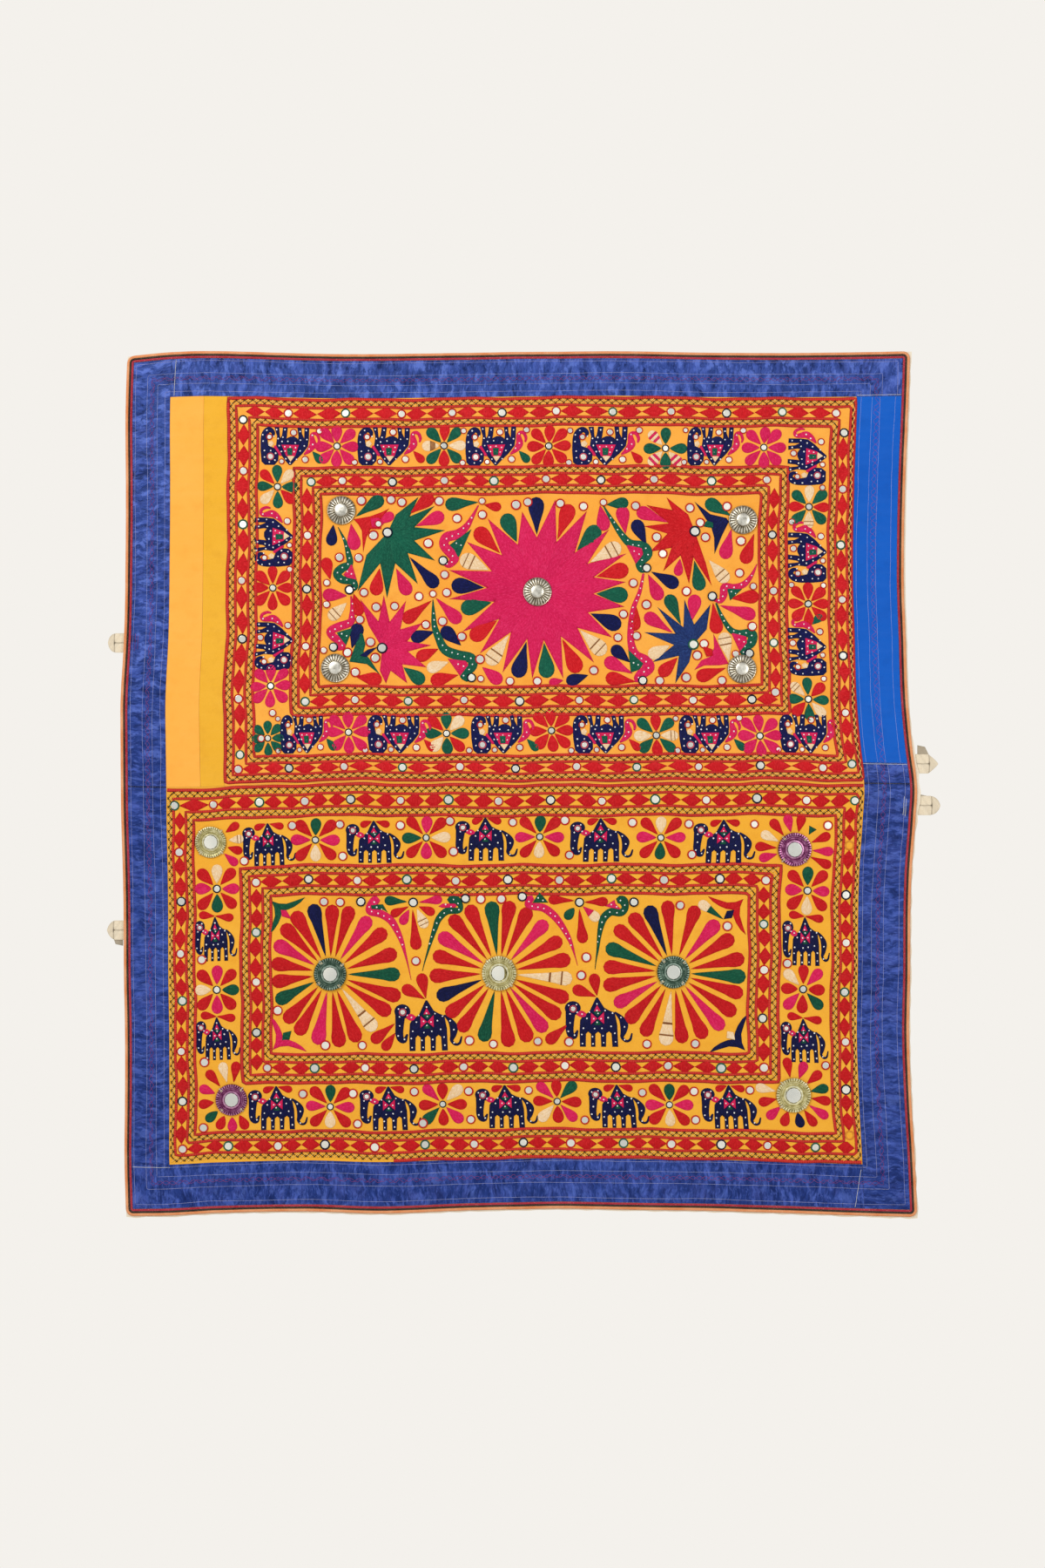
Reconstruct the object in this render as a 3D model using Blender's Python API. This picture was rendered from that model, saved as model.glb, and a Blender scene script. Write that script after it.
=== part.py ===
"""Embroidered wall hanging: two embroidered cotton panels in a satin border, on a cotton lining.

Metres. X runs to the right, Z up, and the front faces -Y. The origin is the middle of the top edge.
Every cloth piece is laid out on a straight pattern, and hang() then carries pattern points to the
place where the cloth hangs: edges that wander in and out, pressed folds and slow waves.
"""
import math

import bmesh
import bpy
from mathutils import Vector

# The cloth's pattern: columns from left to right, rows from the top down
CLOTH_LEFT = -0.7230
CLOTH_RIGHT = 0.7220
CLOTH_TOP = 0.0
CLOTH_BOTTOM = -1.5770
BINDING_WIDTH = 0.0054
BLACK_PIPING_WIDTH = 0.0034
RED_PIPING_WIDTH = 0.0042
EDGE_WIDTH = BINDING_WIDTH + BLACK_PIPING_WIDTH + RED_PIPING_WIDTH
SATIN_LEFT_INNER = -0.6410
GOLD_STRIP_LEFT = -0.5790
UPPER_PANEL_LEFT = -0.5350
SATIN_RIGHT_INNER = 0.6260
SATIN_TOP_INNER = -0.0820
COBALT_STRIP_END = -0.7550
MIDDLE_SEAM = -0.7930
SATIN_BOTTOM_INNER = -1.4840
CORNER_RADIUS = EDGE_WIDTH + 0.0002

# How far the lining shows past the binding, negative where it lies behind it
LINING_PAST_RIGHT = 0.0040
LINING_PAST_BOTTOM = 0.0030
LINING_BEHIND_EDGE = -0.0005

# Layers
LINING_THICKNESS = 0.0010
PANEL_THICKNESS = 0.0020
SATIN_THICKNESS = 0.0016
STRIP_THICKNESS = 0.0014
PIPING_THICKNESS = 0.0028
LAYER_GAP = 0.0004
SEAM_GAP = 0.0004
FRONT_LAYER = LINING_THICKNESS + LAYER_GAP

# Longest side of a cloth cell, and the pressed folds: place, depth and half width
CELL = 0.085
FOLD_HALF_WIDTH = 0.085
UPRIGHT_FOLDS = (
    # x, how far the fold stands back towards the wall
    (-0.351, 0.0026),
    (-0.007, -0.0030),
    (0.345, 0.0024),
)
LEVEL_FOLDS = (
    # z, how far the fold stands back towards the wall
    (-0.392, -0.0022),
    (MIDDLE_SEAM, 0.0024),
    (-1.136, -0.0024),
)

# How the hanging's edges wander from the pattern
SIDE_SWAY = (
    # z, left edge to the right, right edge to the right
    (0.000, 0.006, -0.001),
    (-0.060, 0.004, -0.003),
    (-0.128, 0.003, -0.006),
    (-0.240, 0.004, -0.011),
    (-0.408, 0.003, -0.014),
    (-0.520, 0.000, -0.010),
    (-0.632, -0.006, -0.006),
    (-0.720, -0.006, 0.002),
    (-0.797, -0.006, 0.012),
    (-0.856, -0.005, 0.009),
    (-0.968, -0.002, 0.001),
    (-1.136, 0.000, -0.002),
    (-1.248, 0.002, -0.004),
    (-1.360, 0.002, 0.000),
    (-1.472, 0.001, 0.007),
    (-1.577, 0.004, 0.012),
)
LEVEL_SWAY = (
    # x, top edge up, middle seam up, bottom edge up
    (-0.723, -0.007, -0.003, -0.008),
    (-0.640, 0.001, -0.005, -0.007),
    (-0.560, 0.003, -0.004, -0.003),
    (-0.400, -0.001, 0.003, 0.000),
    (-0.260, -0.003, 0.005, -0.003),
    (-0.110, -0.001, 0.003, 0.002),
    (0.050, 0.002, 0.003, 0.005),
    (0.170, 0.003, 0.004, 0.004),
    (0.320, 0.000, 0.005, 0.002),
    (0.460, -0.001, 0.006, -0.002),
    (0.600, 0.001, 0.003, -0.007),
    (0.722, 0.003, 0.001, -0.010),
)

# Hanging tabs: tape folded into a loop, sewn on behind the edge
TAPE_WIDTH = 0.0178
TAPE_THICKNESS = 0.0012
TAPE_SLIT = 0.0006
TAB_UNDER_EDGE = 0.022
TABS = (
    # name, side, middle height, leg length past the edge, tip length, back leg up (+) or down (-)
    ("tab_left_upper", -1, -0.533, 0.0185, 0.0135, 0.0000),
    ("tab_left_lower", -1, -1.061, 0.0200, 0.0135, -0.0110),
    ("tab_right_upper", 1, -0.758, 0.0270, 0.0160, 0.0120),
    ("tab_right_lower", 1, -0.832, 0.0250, 0.0165, 0.0030),
)

# Metal ornaments sewn to the panels
ORNAMENT_SIDES = 24
ORNAMENT_CLEARANCE = 0.0006
SILVER_DOME_RADIUS = 0.0264
FOIL_DISC_RADIUS = 0.0300
DOME_PROFILE = (
    # share of the radius, height
    (1.00, 0.0000),
    (1.00, 0.0012),
    (0.86, 0.0036),
    (0.62, 0.0064),
    (0.46, 0.0070),
    (0.44, 0.0084),
    (0.30, 0.0094),
    (0.00, 0.0096),
)
DISC_PROFILE = (
    # share of the radius, height
    (1.00, 0.0000),
    (1.00, 0.0012),
    (0.95, 0.0024),
    (0.84, 0.0026),
    (0.58, 0.0018),
    (0.54, 0.0030),
    (0.44, 0.0030),
    (0.42, 0.0022),
    (0.00, 0.0022),
)
ORNAMENTS = (
    # name, x, z, radius, profile, colour
    ("dome_centre", 0.042, -0.442, SILVER_DOME_RADIUS, DOME_PROFILE, "silver"),
    ("dome_top_left", -0.323, -0.290, SILVER_DOME_RADIUS, DOME_PROFILE, "silver"),
    ("dome_bottom_left", -0.330, -0.582, SILVER_DOME_RADIUS, DOME_PROFILE, "silver"),
    ("dome_top_right", 0.423, -0.309, SILVER_DOME_RADIUS, DOME_PROFILE, "silver"),
    ("dome_bottom_right", 0.419, -0.585, SILVER_DOME_RADIUS, DOME_PROFILE, "silver"),
    ("disc_corner_top_left", -0.561, -0.895, 0.0290, DISC_PROFILE, "gold"),
    ("disc_corner_top_right", 0.505, -0.916, 0.0310, DISC_PROFILE, "purple"),
    ("disc_corner_bottom_left", -0.527, -1.369, 0.0290, DISC_PROFILE, "purple"),
    ("disc_corner_bottom_right", 0.506, -1.362, 0.0320, DISC_PROFILE, "gold"),
    ("disc_wheel_left", -0.344, -1.143, FOIL_DISC_RADIUS, DISC_PROFILE, "green"),
    ("disc_wheel_middle", -0.033, -1.142, 0.0320, DISC_PROFILE, "gold"),
    ("disc_wheel_right", 0.287, -1.141, FOIL_DISC_RADIUS, DISC_PROFILE, "green"),
)

# Colour, roughness and metallic value of each material
FINISHES = {
    "lining": ((0.84, 0.76, 0.62), 0.95, 0.0),
    "upper_ground": ((0.95, 0.42, 0.04), 0.85, 0.0),
    "lower_ground": ((0.86, 0.40, 0.03), 0.85, 0.0),
    "satin": ((0.055, 0.085, 0.30), 0.40, 0.0),
    "orange_cotton": ((0.95, 0.45, 0.07), 0.90, 0.0),
    "gold_cotton": ((0.87, 0.44, 0.04), 0.90, 0.0),
    "cobalt_cotton": ((0.006, 0.109, 0.565), 0.85, 0.0),
    "red_piping": ((0.48, 0.02, 0.04), 0.80, 0.0),
    "black_piping": ((0.02, 0.018, 0.012), 0.85, 0.0),
    "orange_binding": ((0.85, 0.27, 0.08), 0.85, 0.0),
    "cotton_tape": ((0.83, 0.72, 0.52), 0.90, 0.0),
    "silver": ((0.62, 0.60, 0.55), 0.30, 1.0),
    "gold": ((0.72, 0.60, 0.22), 0.30, 1.0),
    "green": ((0.07, 0.16, 0.08), 0.30, 1.0),
    "purple": ((0.24, 0.04, 0.20), 0.30, 1.0),
}


def material(finish):
    """The Principled material of that name, made the first time it is asked for."""
    made = bpy.data.materials.get(finish)
    if made:
        return made
    colour, roughness, metallic = FINISHES[finish]
    made = bpy.data.materials.new(finish)
    made.use_nodes = True
    shader = made.node_tree.nodes["Principled BSDF"]
    shader.inputs["Base Color"].default_value = (*colour, 1.0)
    shader.inputs["Roughness"].default_value = roughness
    shader.inputs["Metallic"].default_value = metallic
    made.diffuse_color = (*colour, 1.0)
    return made


def smooth_value(table, at, column):
    """A smooth curve through one column of a table whose first column rises or falls steadily."""
    rows = sorted(table)
    at = min(max(at, rows[0][0]), rows[-1][0])
    upper = next(i for i in range(1, len(rows)) if at <= rows[i][0])
    lower = upper - 1

    def slope(i):
        before, after = rows[max(i - 1, 0)], rows[min(i + 1, len(rows) - 1)]
        return (after[column] - before[column]) / (after[0] - before[0])

    span = rows[upper][0] - rows[lower][0]
    t = (at - rows[lower][0]) / span
    start, end = rows[lower][column], rows[upper][column]
    return (
        (2 * t**3 - 3 * t**2 + 1) * start
        + (t**3 - 2 * t**2 + t) * span * slope(lower)
        + (3 * t**2 - 2 * t**3) * end
        + (t**3 - t**2) * span * slope(upper)
    )


def fold_height(folds, at):
    """How far pressed folds that run across this direction stand back here."""
    return sum(depth * max(0.0, 1.0 - abs(at - place) / FOLD_HALF_WIDTH) for place, depth in folds)


def relief(x, z):
    """How far the cloth stands back towards the wall at a pattern point."""
    turn = 2.0 * math.pi
    waves = 0.0022 * math.sin(turn * (x / 0.61 + 0.15)) * math.cos(turn * z / 0.83)
    waves += 0.0014 * math.sin(turn * (x / 0.47 - z / 1.30))
    waves += 0.0012 * math.sin(turn * (z / 0.52 + 0.20))
    return waves + fold_height(UPRIGHT_FOLDS, x) + fold_height(LEVEL_FOLDS, z)


def hang(x, z, forward):
    """Where a pattern point lies on the hanging cloth, this far forward of the lining's back."""
    across = (x - CLOTH_LEFT) / (CLOTH_RIGHT - CLOTH_LEFT)
    sway = (1.0 - across) * smooth_value(SIDE_SWAY, z, 1) + across * smooth_value(SIDE_SWAY, z, 2)
    if z > MIDDLE_SEAM:
        down = (CLOTH_TOP - z) / (CLOTH_TOP - MIDDLE_SEAM)
        first = 1
    else:
        down = (MIDDLE_SEAM - z) / (MIDDLE_SEAM - CLOTH_BOTTOM)
        first = 2
    rise = (1.0 - down) * smooth_value(LEVEL_SWAY, x, first)
    rise += down * smooth_value(LEVEL_SWAY, x, first + 1)
    return Vector((x + sway, relief(x, z) - forward, z + rise))


def pattern_lines(breaks):
    """The breaks in rising order, with evenly spaced lines added so that no cell is longer than CELL."""
    breaks = sorted(breaks)
    lines = [breaks[0]]
    for start, end in zip(breaks, breaks[1:]):
        count = max(1, math.ceil((end - start) / CELL))
        lines += [start + (end - start) * step / count for step in range(1, count + 1)]
    return lines


def add_object(name, mesh, finish):
    """Put a finished mesh in the scene under the node's name."""
    mesh.materials.append(material(finish))
    made = bpy.data.objects.new(name, mesh)
    bpy.context.collection.objects.link(made)
    return made


def closed_mesh(name, points, faces):
    """A mesh from points and triangles, with its normals turned outwards."""
    mesh = bpy.data.meshes.new(name)
    mesh.from_pydata(points, [], faces)
    shape = bmesh.new()
    shape.from_mesh(mesh)
    bmesh.ops.recalc_face_normals(shape, faces=shape.faces)
    shape.to_mesh(mesh)
    shape.free()
    return mesh


def cloth_sheet(name, finish, span_x, span_z, forward, thickness, corner_cut=0.0):
    """One cut piece of cloth: a rectangle of the pattern, laid on the hanging's shape."""
    (left, right), (bottom, top) = span_x, span_z
    xs = [left] + [x for x in X_LINES if left + SEAM_GAP < x < right - SEAM_GAP] + [right]
    zs = [bottom] + [z for z in Z_LINES if bottom + SEAM_GAP < z < top - SEAM_GAP] + [top]

    def pattern_point(column, row):
        """Corner points move inwards along both sides where the piece's corners are cut off."""
        x, z = xs[column], zs[row]
        if corner_cut and column in (0, len(xs) - 1) and row in (0, len(zs) - 1):
            x += corner_cut if column == 0 else -corner_cut
            z += corner_cut if row == 0 else -corner_cut
        return x, z

    points = []
    for depth in (forward, forward + thickness):
        for row in range(len(zs)):
            points += [hang(*pattern_point(column, row), depth) for column in range(len(xs))]
    layer = len(xs) * len(zs)

    def at(column, row, front):
        return row * len(xs) + column + (layer if front else 0)

    faces = []
    for front in (False, True):
        for row in range(len(zs) - 1):
            for column in range(len(xs) - 1):
                a = at(column, row, front)
                b = at(column + 1, row, front)
                c = at(column + 1, row + 1, front)
                d = at(column, row + 1, front)
                faces += [(a, b, c), (a, c, d)]
    rim = [(column, 0) for column in range(len(xs))]
    rim += [(len(xs) - 1, row) for row in range(1, len(zs))]
    rim += [(column, len(zs) - 1) for column in range(len(xs) - 2, -1, -1)]
    rim += [(0, row) for row in range(len(zs) - 2, 0, -1)]
    for here, after in zip(rim, rim[1:] + rim[:1]):
        a, b = at(*here, False), at(*after, False)
        c, d = at(*after, True), at(*here, True)
        faces += [(a, b, c), (a, c, d)]
    return add_object(name, closed_mesh(name, points, faces), finish)


def edge_ring(name, finish, outer, inner, forward, thickness):
    """A strip that runs right round the cloth, between two distances in from its edge."""
    corners = (
        # corner's x and z, direction to the arc's middle
        (CLOTH_LEFT, CLOTH_BOTTOM, 1, 1),
        (CLOTH_RIGHT, CLOTH_BOTTOM, -1, 1),
        (CLOTH_RIGHT, CLOTH_TOP, -1, -1),
        (CLOTH_LEFT, CLOTH_TOP, 1, -1),
    )
    inner_x = [x for x in X_LINES if CLOTH_LEFT + CORNER_RADIUS < x < CLOTH_RIGHT - CORNER_RADIUS]
    inner_z = [z for z in Z_LINES if CLOTH_BOTTOM + CORNER_RADIUS < z < CLOTH_TOP - CORNER_RADIUS]
    stations = []
    for number, (corner_x, corner_z, to_x, to_z) in enumerate(corners):
        middle_x, middle_z = corner_x + to_x * CORNER_RADIUS, corner_z + to_z * CORNER_RADIUS
        for step in range(5):
            turn = math.pi * (1.0 + number / 2.0 + step / 8.0)
            reach_out, reach_in = CORNER_RADIUS - outer, CORNER_RADIUS - inner
            stations.append(tuple(
                (middle_x + reach * math.cos(turn), middle_z + reach * math.sin(turn))
                for reach in (reach_out, reach_in)
            ))
        if number == 0:
            stations += [((x, CLOTH_BOTTOM + outer), (x, CLOTH_BOTTOM + inner)) for x in inner_x]
        elif number == 1:
            stations += [((CLOTH_RIGHT - outer, z), (CLOTH_RIGHT - inner, z)) for z in inner_z]
        elif number == 2:
            stations += [((x, CLOTH_TOP - outer), (x, CLOTH_TOP - inner)) for x in reversed(inner_x)]
        else:
            stations += [((CLOTH_LEFT + outer, z), (CLOTH_LEFT + inner, z)) for z in reversed(inner_z)]
    points = []
    for outside, inside in stations:
        points += [hang(*outside, forward), hang(*inside, forward)]
        points += [hang(*inside, forward + thickness), hang(*outside, forward + thickness)]
    faces = []
    for number in range(len(stations)):
        here, after = 4 * number, 4 * ((number + 1) % len(stations))
        for side in range(4):
            a, b = here + side, here + (side + 1) % 4
            c, d = after + (side + 1) % 4, after + side
            faces += [(a, b, c), (a, c, d)]
    return add_object(name, closed_mesh(name, points, faces), finish)


def slab(outline, back, front):
    """A flat plate with the outline (x, z points), from y = back to y = front."""
    shape = bmesh.new()
    base = shape.faces.new([shape.verts.new((x, back, z)) for x, z in outline])
    moved = bmesh.ops.extrude_face_region(shape, geom=[base])
    raised = [item for item in moved["geom"] if isinstance(item, bmesh.types.BMVert)]
    bmesh.ops.translate(shape, verts=raised, vec=(0.0, front - back, 0.0))
    bmesh.ops.recalc_face_normals(shape, faces=shape.faces)
    mesh = bpy.data.meshes.new("slab")
    shape.to_mesh(mesh)
    shape.free()
    return mesh


def hanging_tab(name, side, middle, leg, tip, back_leg):
    """A loop of tape laid flat: two legs in front, and the tape folded to a point behind them."""
    edge_x = CLOTH_LEFT if side < 0 else CLOTH_RIGHT + LINING_PAST_RIGHT
    root = hang(edge_x, middle, 0.0)
    back_of_lining = max(
        relief(edge_x - side * TAB_UNDER_EDGE * share, middle + step * TAPE_WIDTH)
        for share in (0.0, 0.5, 1.0) for step in (-1, 0, 1)
    )
    front_y = back_of_lining + LAYER_GAP
    legs_back = front_y + TAPE_THICKNESS
    tip_front = legs_back - 0.3 * TAPE_THICKNESS
    tip_back = legs_back + TAPE_THICKNESS
    start, crease, point = -TAB_UNDER_EDGE, leg, leg + tip
    taper = 0.0012
    narrowing = 0.0006

    def placed(outline):
        return [(root.x + side * along, root.z + up) for along, up in outline]

    half_slit = TAPE_SLIT / 2.0
    upper = (
        (start, half_slit),
        (crease, half_slit),
        (crease - taper, TAPE_WIDTH),
        (start, TAPE_WIDTH),
    )
    lower = tuple((along, -up) for along, up in upper)
    overlap = 0.004
    blunt = 0.0016
    fold_half = (
        (point, blunt),
        (crease - taper, TAPE_WIDTH - narrowing),
        (crease - overlap, TAPE_WIDTH - narrowing),
    )
    fold = fold_half + tuple((along, -up) for along, up in reversed(fold_half))
    layers = [(upper, legs_back, front_y), (lower, legs_back, front_y), (fold, tip_back, tip_front)]
    if back_leg:
        way = math.copysign(1.0, back_leg)
        reach = way * (TAPE_WIDTH + abs(back_leg))
        tucked = way * (TAPE_WIDTH - 0.004)
        peep = ((0.002, reach), (0.010, reach), (crease + 0.002, tucked), (0.002, tucked))
        layers.append((peep, tip_back - 0.0002, tip_front))
    slabs = []
    for outline, back, front in layers:
        slabs.append(add_object(name + "_layer", slab(placed(outline), back, front), "cotton_tape"))
    tab = slabs[0]
    for layer in slabs[1:]:
        layer.hide_render = True
        layer.display_type = "WIRE"
        union = tab.modifiers.new("layer", "BOOLEAN")
        union.operation = "UNION"
        union.solver = "EXACT"
        union.object = layer
    tab.name = name
    return tab


def ornament(name, x, z, radius, profile, finish):
    """A turned metal piece that sits square on the cloth, its back just clear of the panel."""
    reach = 0.01
    panel_front = FRONT_LAYER + PANEL_THICKNESS
    turns = [2.0 * math.pi * number / ORNAMENT_SIDES for number in range(ORNAMENT_SIDES)]
    here = hang(x, z, panel_front)
    right = (hang(x + reach, z, 0.0) - hang(x - reach, z, 0.0)).normalized()
    up = hang(x, z + reach, 0.0) - hang(x, z - reach, 0.0)
    forward = right.cross(up).normalized()
    up = forward.cross(right)
    rim = [hang(x + radius * math.cos(turn), z + radius * math.sin(turn), panel_front) for turn in turns]
    highest = max(0.0, max((there - here).dot(forward) for there in rim))
    seat = here + forward * (highest + ORNAMENT_CLEARANCE)
    shape = bmesh.new()
    rings = []
    for share, height in profile[:-1]:
        across = share * radius
        rings.append([
            shape.verts.new(
                seat + right * across * math.cos(turn) + up * across * math.sin(turn) + forward * height
            )
            for turn in turns
        ])
    crown = shape.verts.new(seat + forward * profile[-1][1])
    shape.faces.new(rings[0])
    for low, high in zip(rings, rings[1:]):
        for number in range(ORNAMENT_SIDES):
            after = (number + 1) % ORNAMENT_SIDES
            shape.faces.new((low[number], low[after], high[after], high[number]))
    for number in range(ORNAMENT_SIDES):
        shape.faces.new((rings[-1][number], rings[-1][(number + 1) % ORNAMENT_SIDES], crown))
    bmesh.ops.recalc_face_normals(shape, faces=shape.faces)
    mesh = bpy.data.meshes.new(name)
    shape.to_mesh(mesh)
    shape.free()
    made = add_object(name, mesh, finish)
    mesh.shade_smooth()
    mesh.set_sharp_from_angle(angle=math.radians(35.0))
    return made


for old in list(bpy.data.objects):
    bpy.data.objects.remove(old, do_unlink=True)

SATIN_LEFT_OUTER = CLOTH_LEFT + EDGE_WIDTH
SATIN_RIGHT_OUTER = CLOTH_RIGHT - EDGE_WIDTH
SATIN_TOP_OUTER = CLOTH_TOP - EDGE_WIDTH
SATIN_BOTTOM_OUTER = CLOTH_BOTTOM + EDGE_WIDTH

X_LINES = pattern_lines(
    [CLOTH_LEFT, SATIN_LEFT_OUTER, SATIN_LEFT_INNER, GOLD_STRIP_LEFT, UPPER_PANEL_LEFT]
    + [place for place, depth in UPRIGHT_FOLDS]
    + [SATIN_RIGHT_INNER, SATIN_RIGHT_OUTER, CLOTH_RIGHT]
)
Z_LINES = pattern_lines(
    [CLOTH_TOP, SATIN_TOP_OUTER, SATIN_TOP_INNER, COBALT_STRIP_END]
    + [place for place, depth in LEVEL_FOLDS]
    + [SATIN_BOTTOM_INNER, SATIN_BOTTOM_OUTER, CLOTH_BOTTOM]
)

cloth_sheet(
    "lining", "lining",
    (CLOTH_LEFT - LINING_BEHIND_EDGE, CLOTH_RIGHT + LINING_PAST_RIGHT),
    (CLOTH_BOTTOM - LINING_PAST_BOTTOM, CLOTH_TOP + LINING_BEHIND_EDGE),
    0.0, LINING_THICKNESS, corner_cut=0.0042,
)

FRONT_PIECES = (
    # name, finish, thickness, left, right, bottom, top
    ("upper_panel", "upper_ground", PANEL_THICKNESS,
     UPPER_PANEL_LEFT, SATIN_RIGHT_INNER, MIDDLE_SEAM, SATIN_TOP_INNER),
    ("lower_panel", "lower_ground", PANEL_THICKNESS,
     SATIN_LEFT_INNER, SATIN_RIGHT_INNER, SATIN_BOTTOM_INNER, MIDDLE_SEAM),
    ("orange_strip", "orange_cotton", STRIP_THICKNESS,
     SATIN_LEFT_INNER, GOLD_STRIP_LEFT, MIDDLE_SEAM, SATIN_TOP_INNER),
    ("gold_strip", "gold_cotton", STRIP_THICKNESS,
     GOLD_STRIP_LEFT, UPPER_PANEL_LEFT, MIDDLE_SEAM, SATIN_TOP_INNER),
    ("cobalt_strip", "cobalt_cotton", STRIP_THICKNESS,
     SATIN_RIGHT_INNER, SATIN_RIGHT_OUTER, COBALT_STRIP_END, SATIN_TOP_INNER),
    ("satin_top", "satin", SATIN_THICKNESS,
     SATIN_LEFT_INNER, SATIN_RIGHT_OUTER, SATIN_TOP_INNER, SATIN_TOP_OUTER),
    ("satin_left_upper", "satin", SATIN_THICKNESS,
     SATIN_LEFT_OUTER, SATIN_LEFT_INNER, MIDDLE_SEAM, SATIN_TOP_OUTER),
    ("satin_left_lower", "satin", SATIN_THICKNESS,
     SATIN_LEFT_OUTER, SATIN_LEFT_INNER, SATIN_BOTTOM_INNER, MIDDLE_SEAM),
    ("satin_right_upper", "satin", SATIN_THICKNESS,
     SATIN_RIGHT_INNER, SATIN_RIGHT_OUTER, MIDDLE_SEAM, COBALT_STRIP_END),
    ("satin_right_lower", "satin", SATIN_THICKNESS,
     SATIN_RIGHT_INNER, SATIN_RIGHT_OUTER, SATIN_BOTTOM_OUTER, MIDDLE_SEAM),
    ("satin_bottom", "satin", SATIN_THICKNESS,
     SATIN_LEFT_OUTER, SATIN_RIGHT_INNER, SATIN_BOTTOM_OUTER, SATIN_BOTTOM_INNER),
)
for name, finish, thickness, left, right, bottom, top in FRONT_PIECES:
    half_gap = SEAM_GAP / 2.0
    cloth_sheet(
        name, finish,
        (left + half_gap, right - half_gap), (bottom + half_gap, top - half_gap),
        FRONT_LAYER, thickness,
    )

EDGE_STRIPS = (
    # name, finish, width
    ("orange_binding", "orange_binding", BINDING_WIDTH),
    ("black_piping", "black_piping", BLACK_PIPING_WIDTH),
    ("red_piping", "red_piping", RED_PIPING_WIDTH),
)
reached = 0.0
for name, finish, width in EDGE_STRIPS:
    gap = SEAM_GAP / 2.0 if reached else 0.0
    edge_ring(name, finish, reached + gap, reached + width - SEAM_GAP / 2.0, FRONT_LAYER, PIPING_THICKNESS)
    reached += width

for row in TABS:
    hanging_tab(*row)

for row in ORNAMENTS:
    ornament(*row)
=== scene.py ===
import math

import bmesh
import bpy
import numpy as np
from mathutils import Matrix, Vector, geometry


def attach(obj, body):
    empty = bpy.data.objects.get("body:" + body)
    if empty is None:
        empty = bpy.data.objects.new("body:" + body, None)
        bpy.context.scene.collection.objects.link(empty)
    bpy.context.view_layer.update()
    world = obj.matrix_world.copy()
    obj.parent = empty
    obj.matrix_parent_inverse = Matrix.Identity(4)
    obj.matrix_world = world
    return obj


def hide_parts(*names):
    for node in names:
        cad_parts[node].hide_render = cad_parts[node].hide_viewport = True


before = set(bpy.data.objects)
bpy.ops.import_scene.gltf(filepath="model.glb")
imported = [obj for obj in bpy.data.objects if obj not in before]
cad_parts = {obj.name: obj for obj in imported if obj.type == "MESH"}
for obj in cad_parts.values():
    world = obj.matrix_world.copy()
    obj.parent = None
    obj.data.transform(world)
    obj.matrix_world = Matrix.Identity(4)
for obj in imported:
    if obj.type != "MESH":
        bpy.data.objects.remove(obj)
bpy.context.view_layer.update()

# ---------------------------------------------------------------------------------------------
# Lining: one sheet of cream cotton behind everything, seen past the binding at the right and the
# bottom, where its raw edge wanders a little. Every layer is laid out on the same straight pattern, and
# hang() carries pattern points to where the cloth hangs.
# ---------------------------------------------------------------------------------------------
CLOTH_LEFT, CLOTH_RIGHT = -0.7230, 0.7220
CLOTH_TOP, CLOTH_BOTTOM = 0.0, -1.5770
SATIN_LEFT_INNER, SATIN_RIGHT_INNER = -0.6410, 0.6260
SATIN_TOP_INNER, SATIN_BOTTOM_INNER = -0.0820, -1.4840
MIDDLE_SEAM = -0.7930
LINING_THICKNESS = 0.0010
LAYER_GAP = 0.0004
FRONT_LAYER = LINING_THICKNESS + LAYER_GAP
FOLD_HALF_WIDTH = 0.085
FOLD_SOFTNESS = 0.003
UPRIGHT_FOLDS = ((-0.351, 0.0026), (-0.007, -0.0030), (0.345, 0.0024))
LEVEL_FOLDS = ((-0.392, -0.0022), (MIDDLE_SEAM, 0.0024), (-1.136, -0.0024))
SIDE_SWAY = (
    # z, left edge to the right, right edge to the right
    (0.000, 0.006, -0.001),
    (-0.060, 0.004, -0.003),
    (-0.128, 0.003, -0.006),
    (-0.240, 0.004, -0.011),
    (-0.408, 0.003, -0.014),
    (-0.520, 0.000, -0.010),
    (-0.632, -0.006, -0.006),
    (-0.720, -0.006, 0.002),
    (-0.797, -0.006, 0.012),
    (-0.856, -0.005, 0.009),
    (-0.968, -0.002, 0.001),
    (-1.136, 0.000, -0.002),
    (-1.248, 0.002, -0.004),
    (-1.360, 0.002, 0.000),
    (-1.472, 0.001, 0.007),
    (-1.577, 0.004, 0.012),
)
LEVEL_SWAY = (
    # x, top edge up, middle seam up, bottom edge up
    (-0.723, -0.007, -0.003, -0.008),
    (-0.640, 0.001, -0.005, -0.007),
    (-0.560, 0.003, -0.004, -0.003),
    (-0.400, -0.001, 0.003, 0.000),
    (-0.260, -0.003, 0.005, -0.003),
    (-0.110, -0.001, 0.003, 0.002),
    (0.050, 0.002, 0.003, 0.005),
    (0.170, 0.003, 0.004, 0.004),
    (0.320, 0.000, 0.005, 0.002),
    (0.460, -0.001, 0.006, -0.002),
    (0.600, 0.001, 0.003, -0.007),
    (0.722, 0.003, 0.001, -0.010),
)


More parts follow.
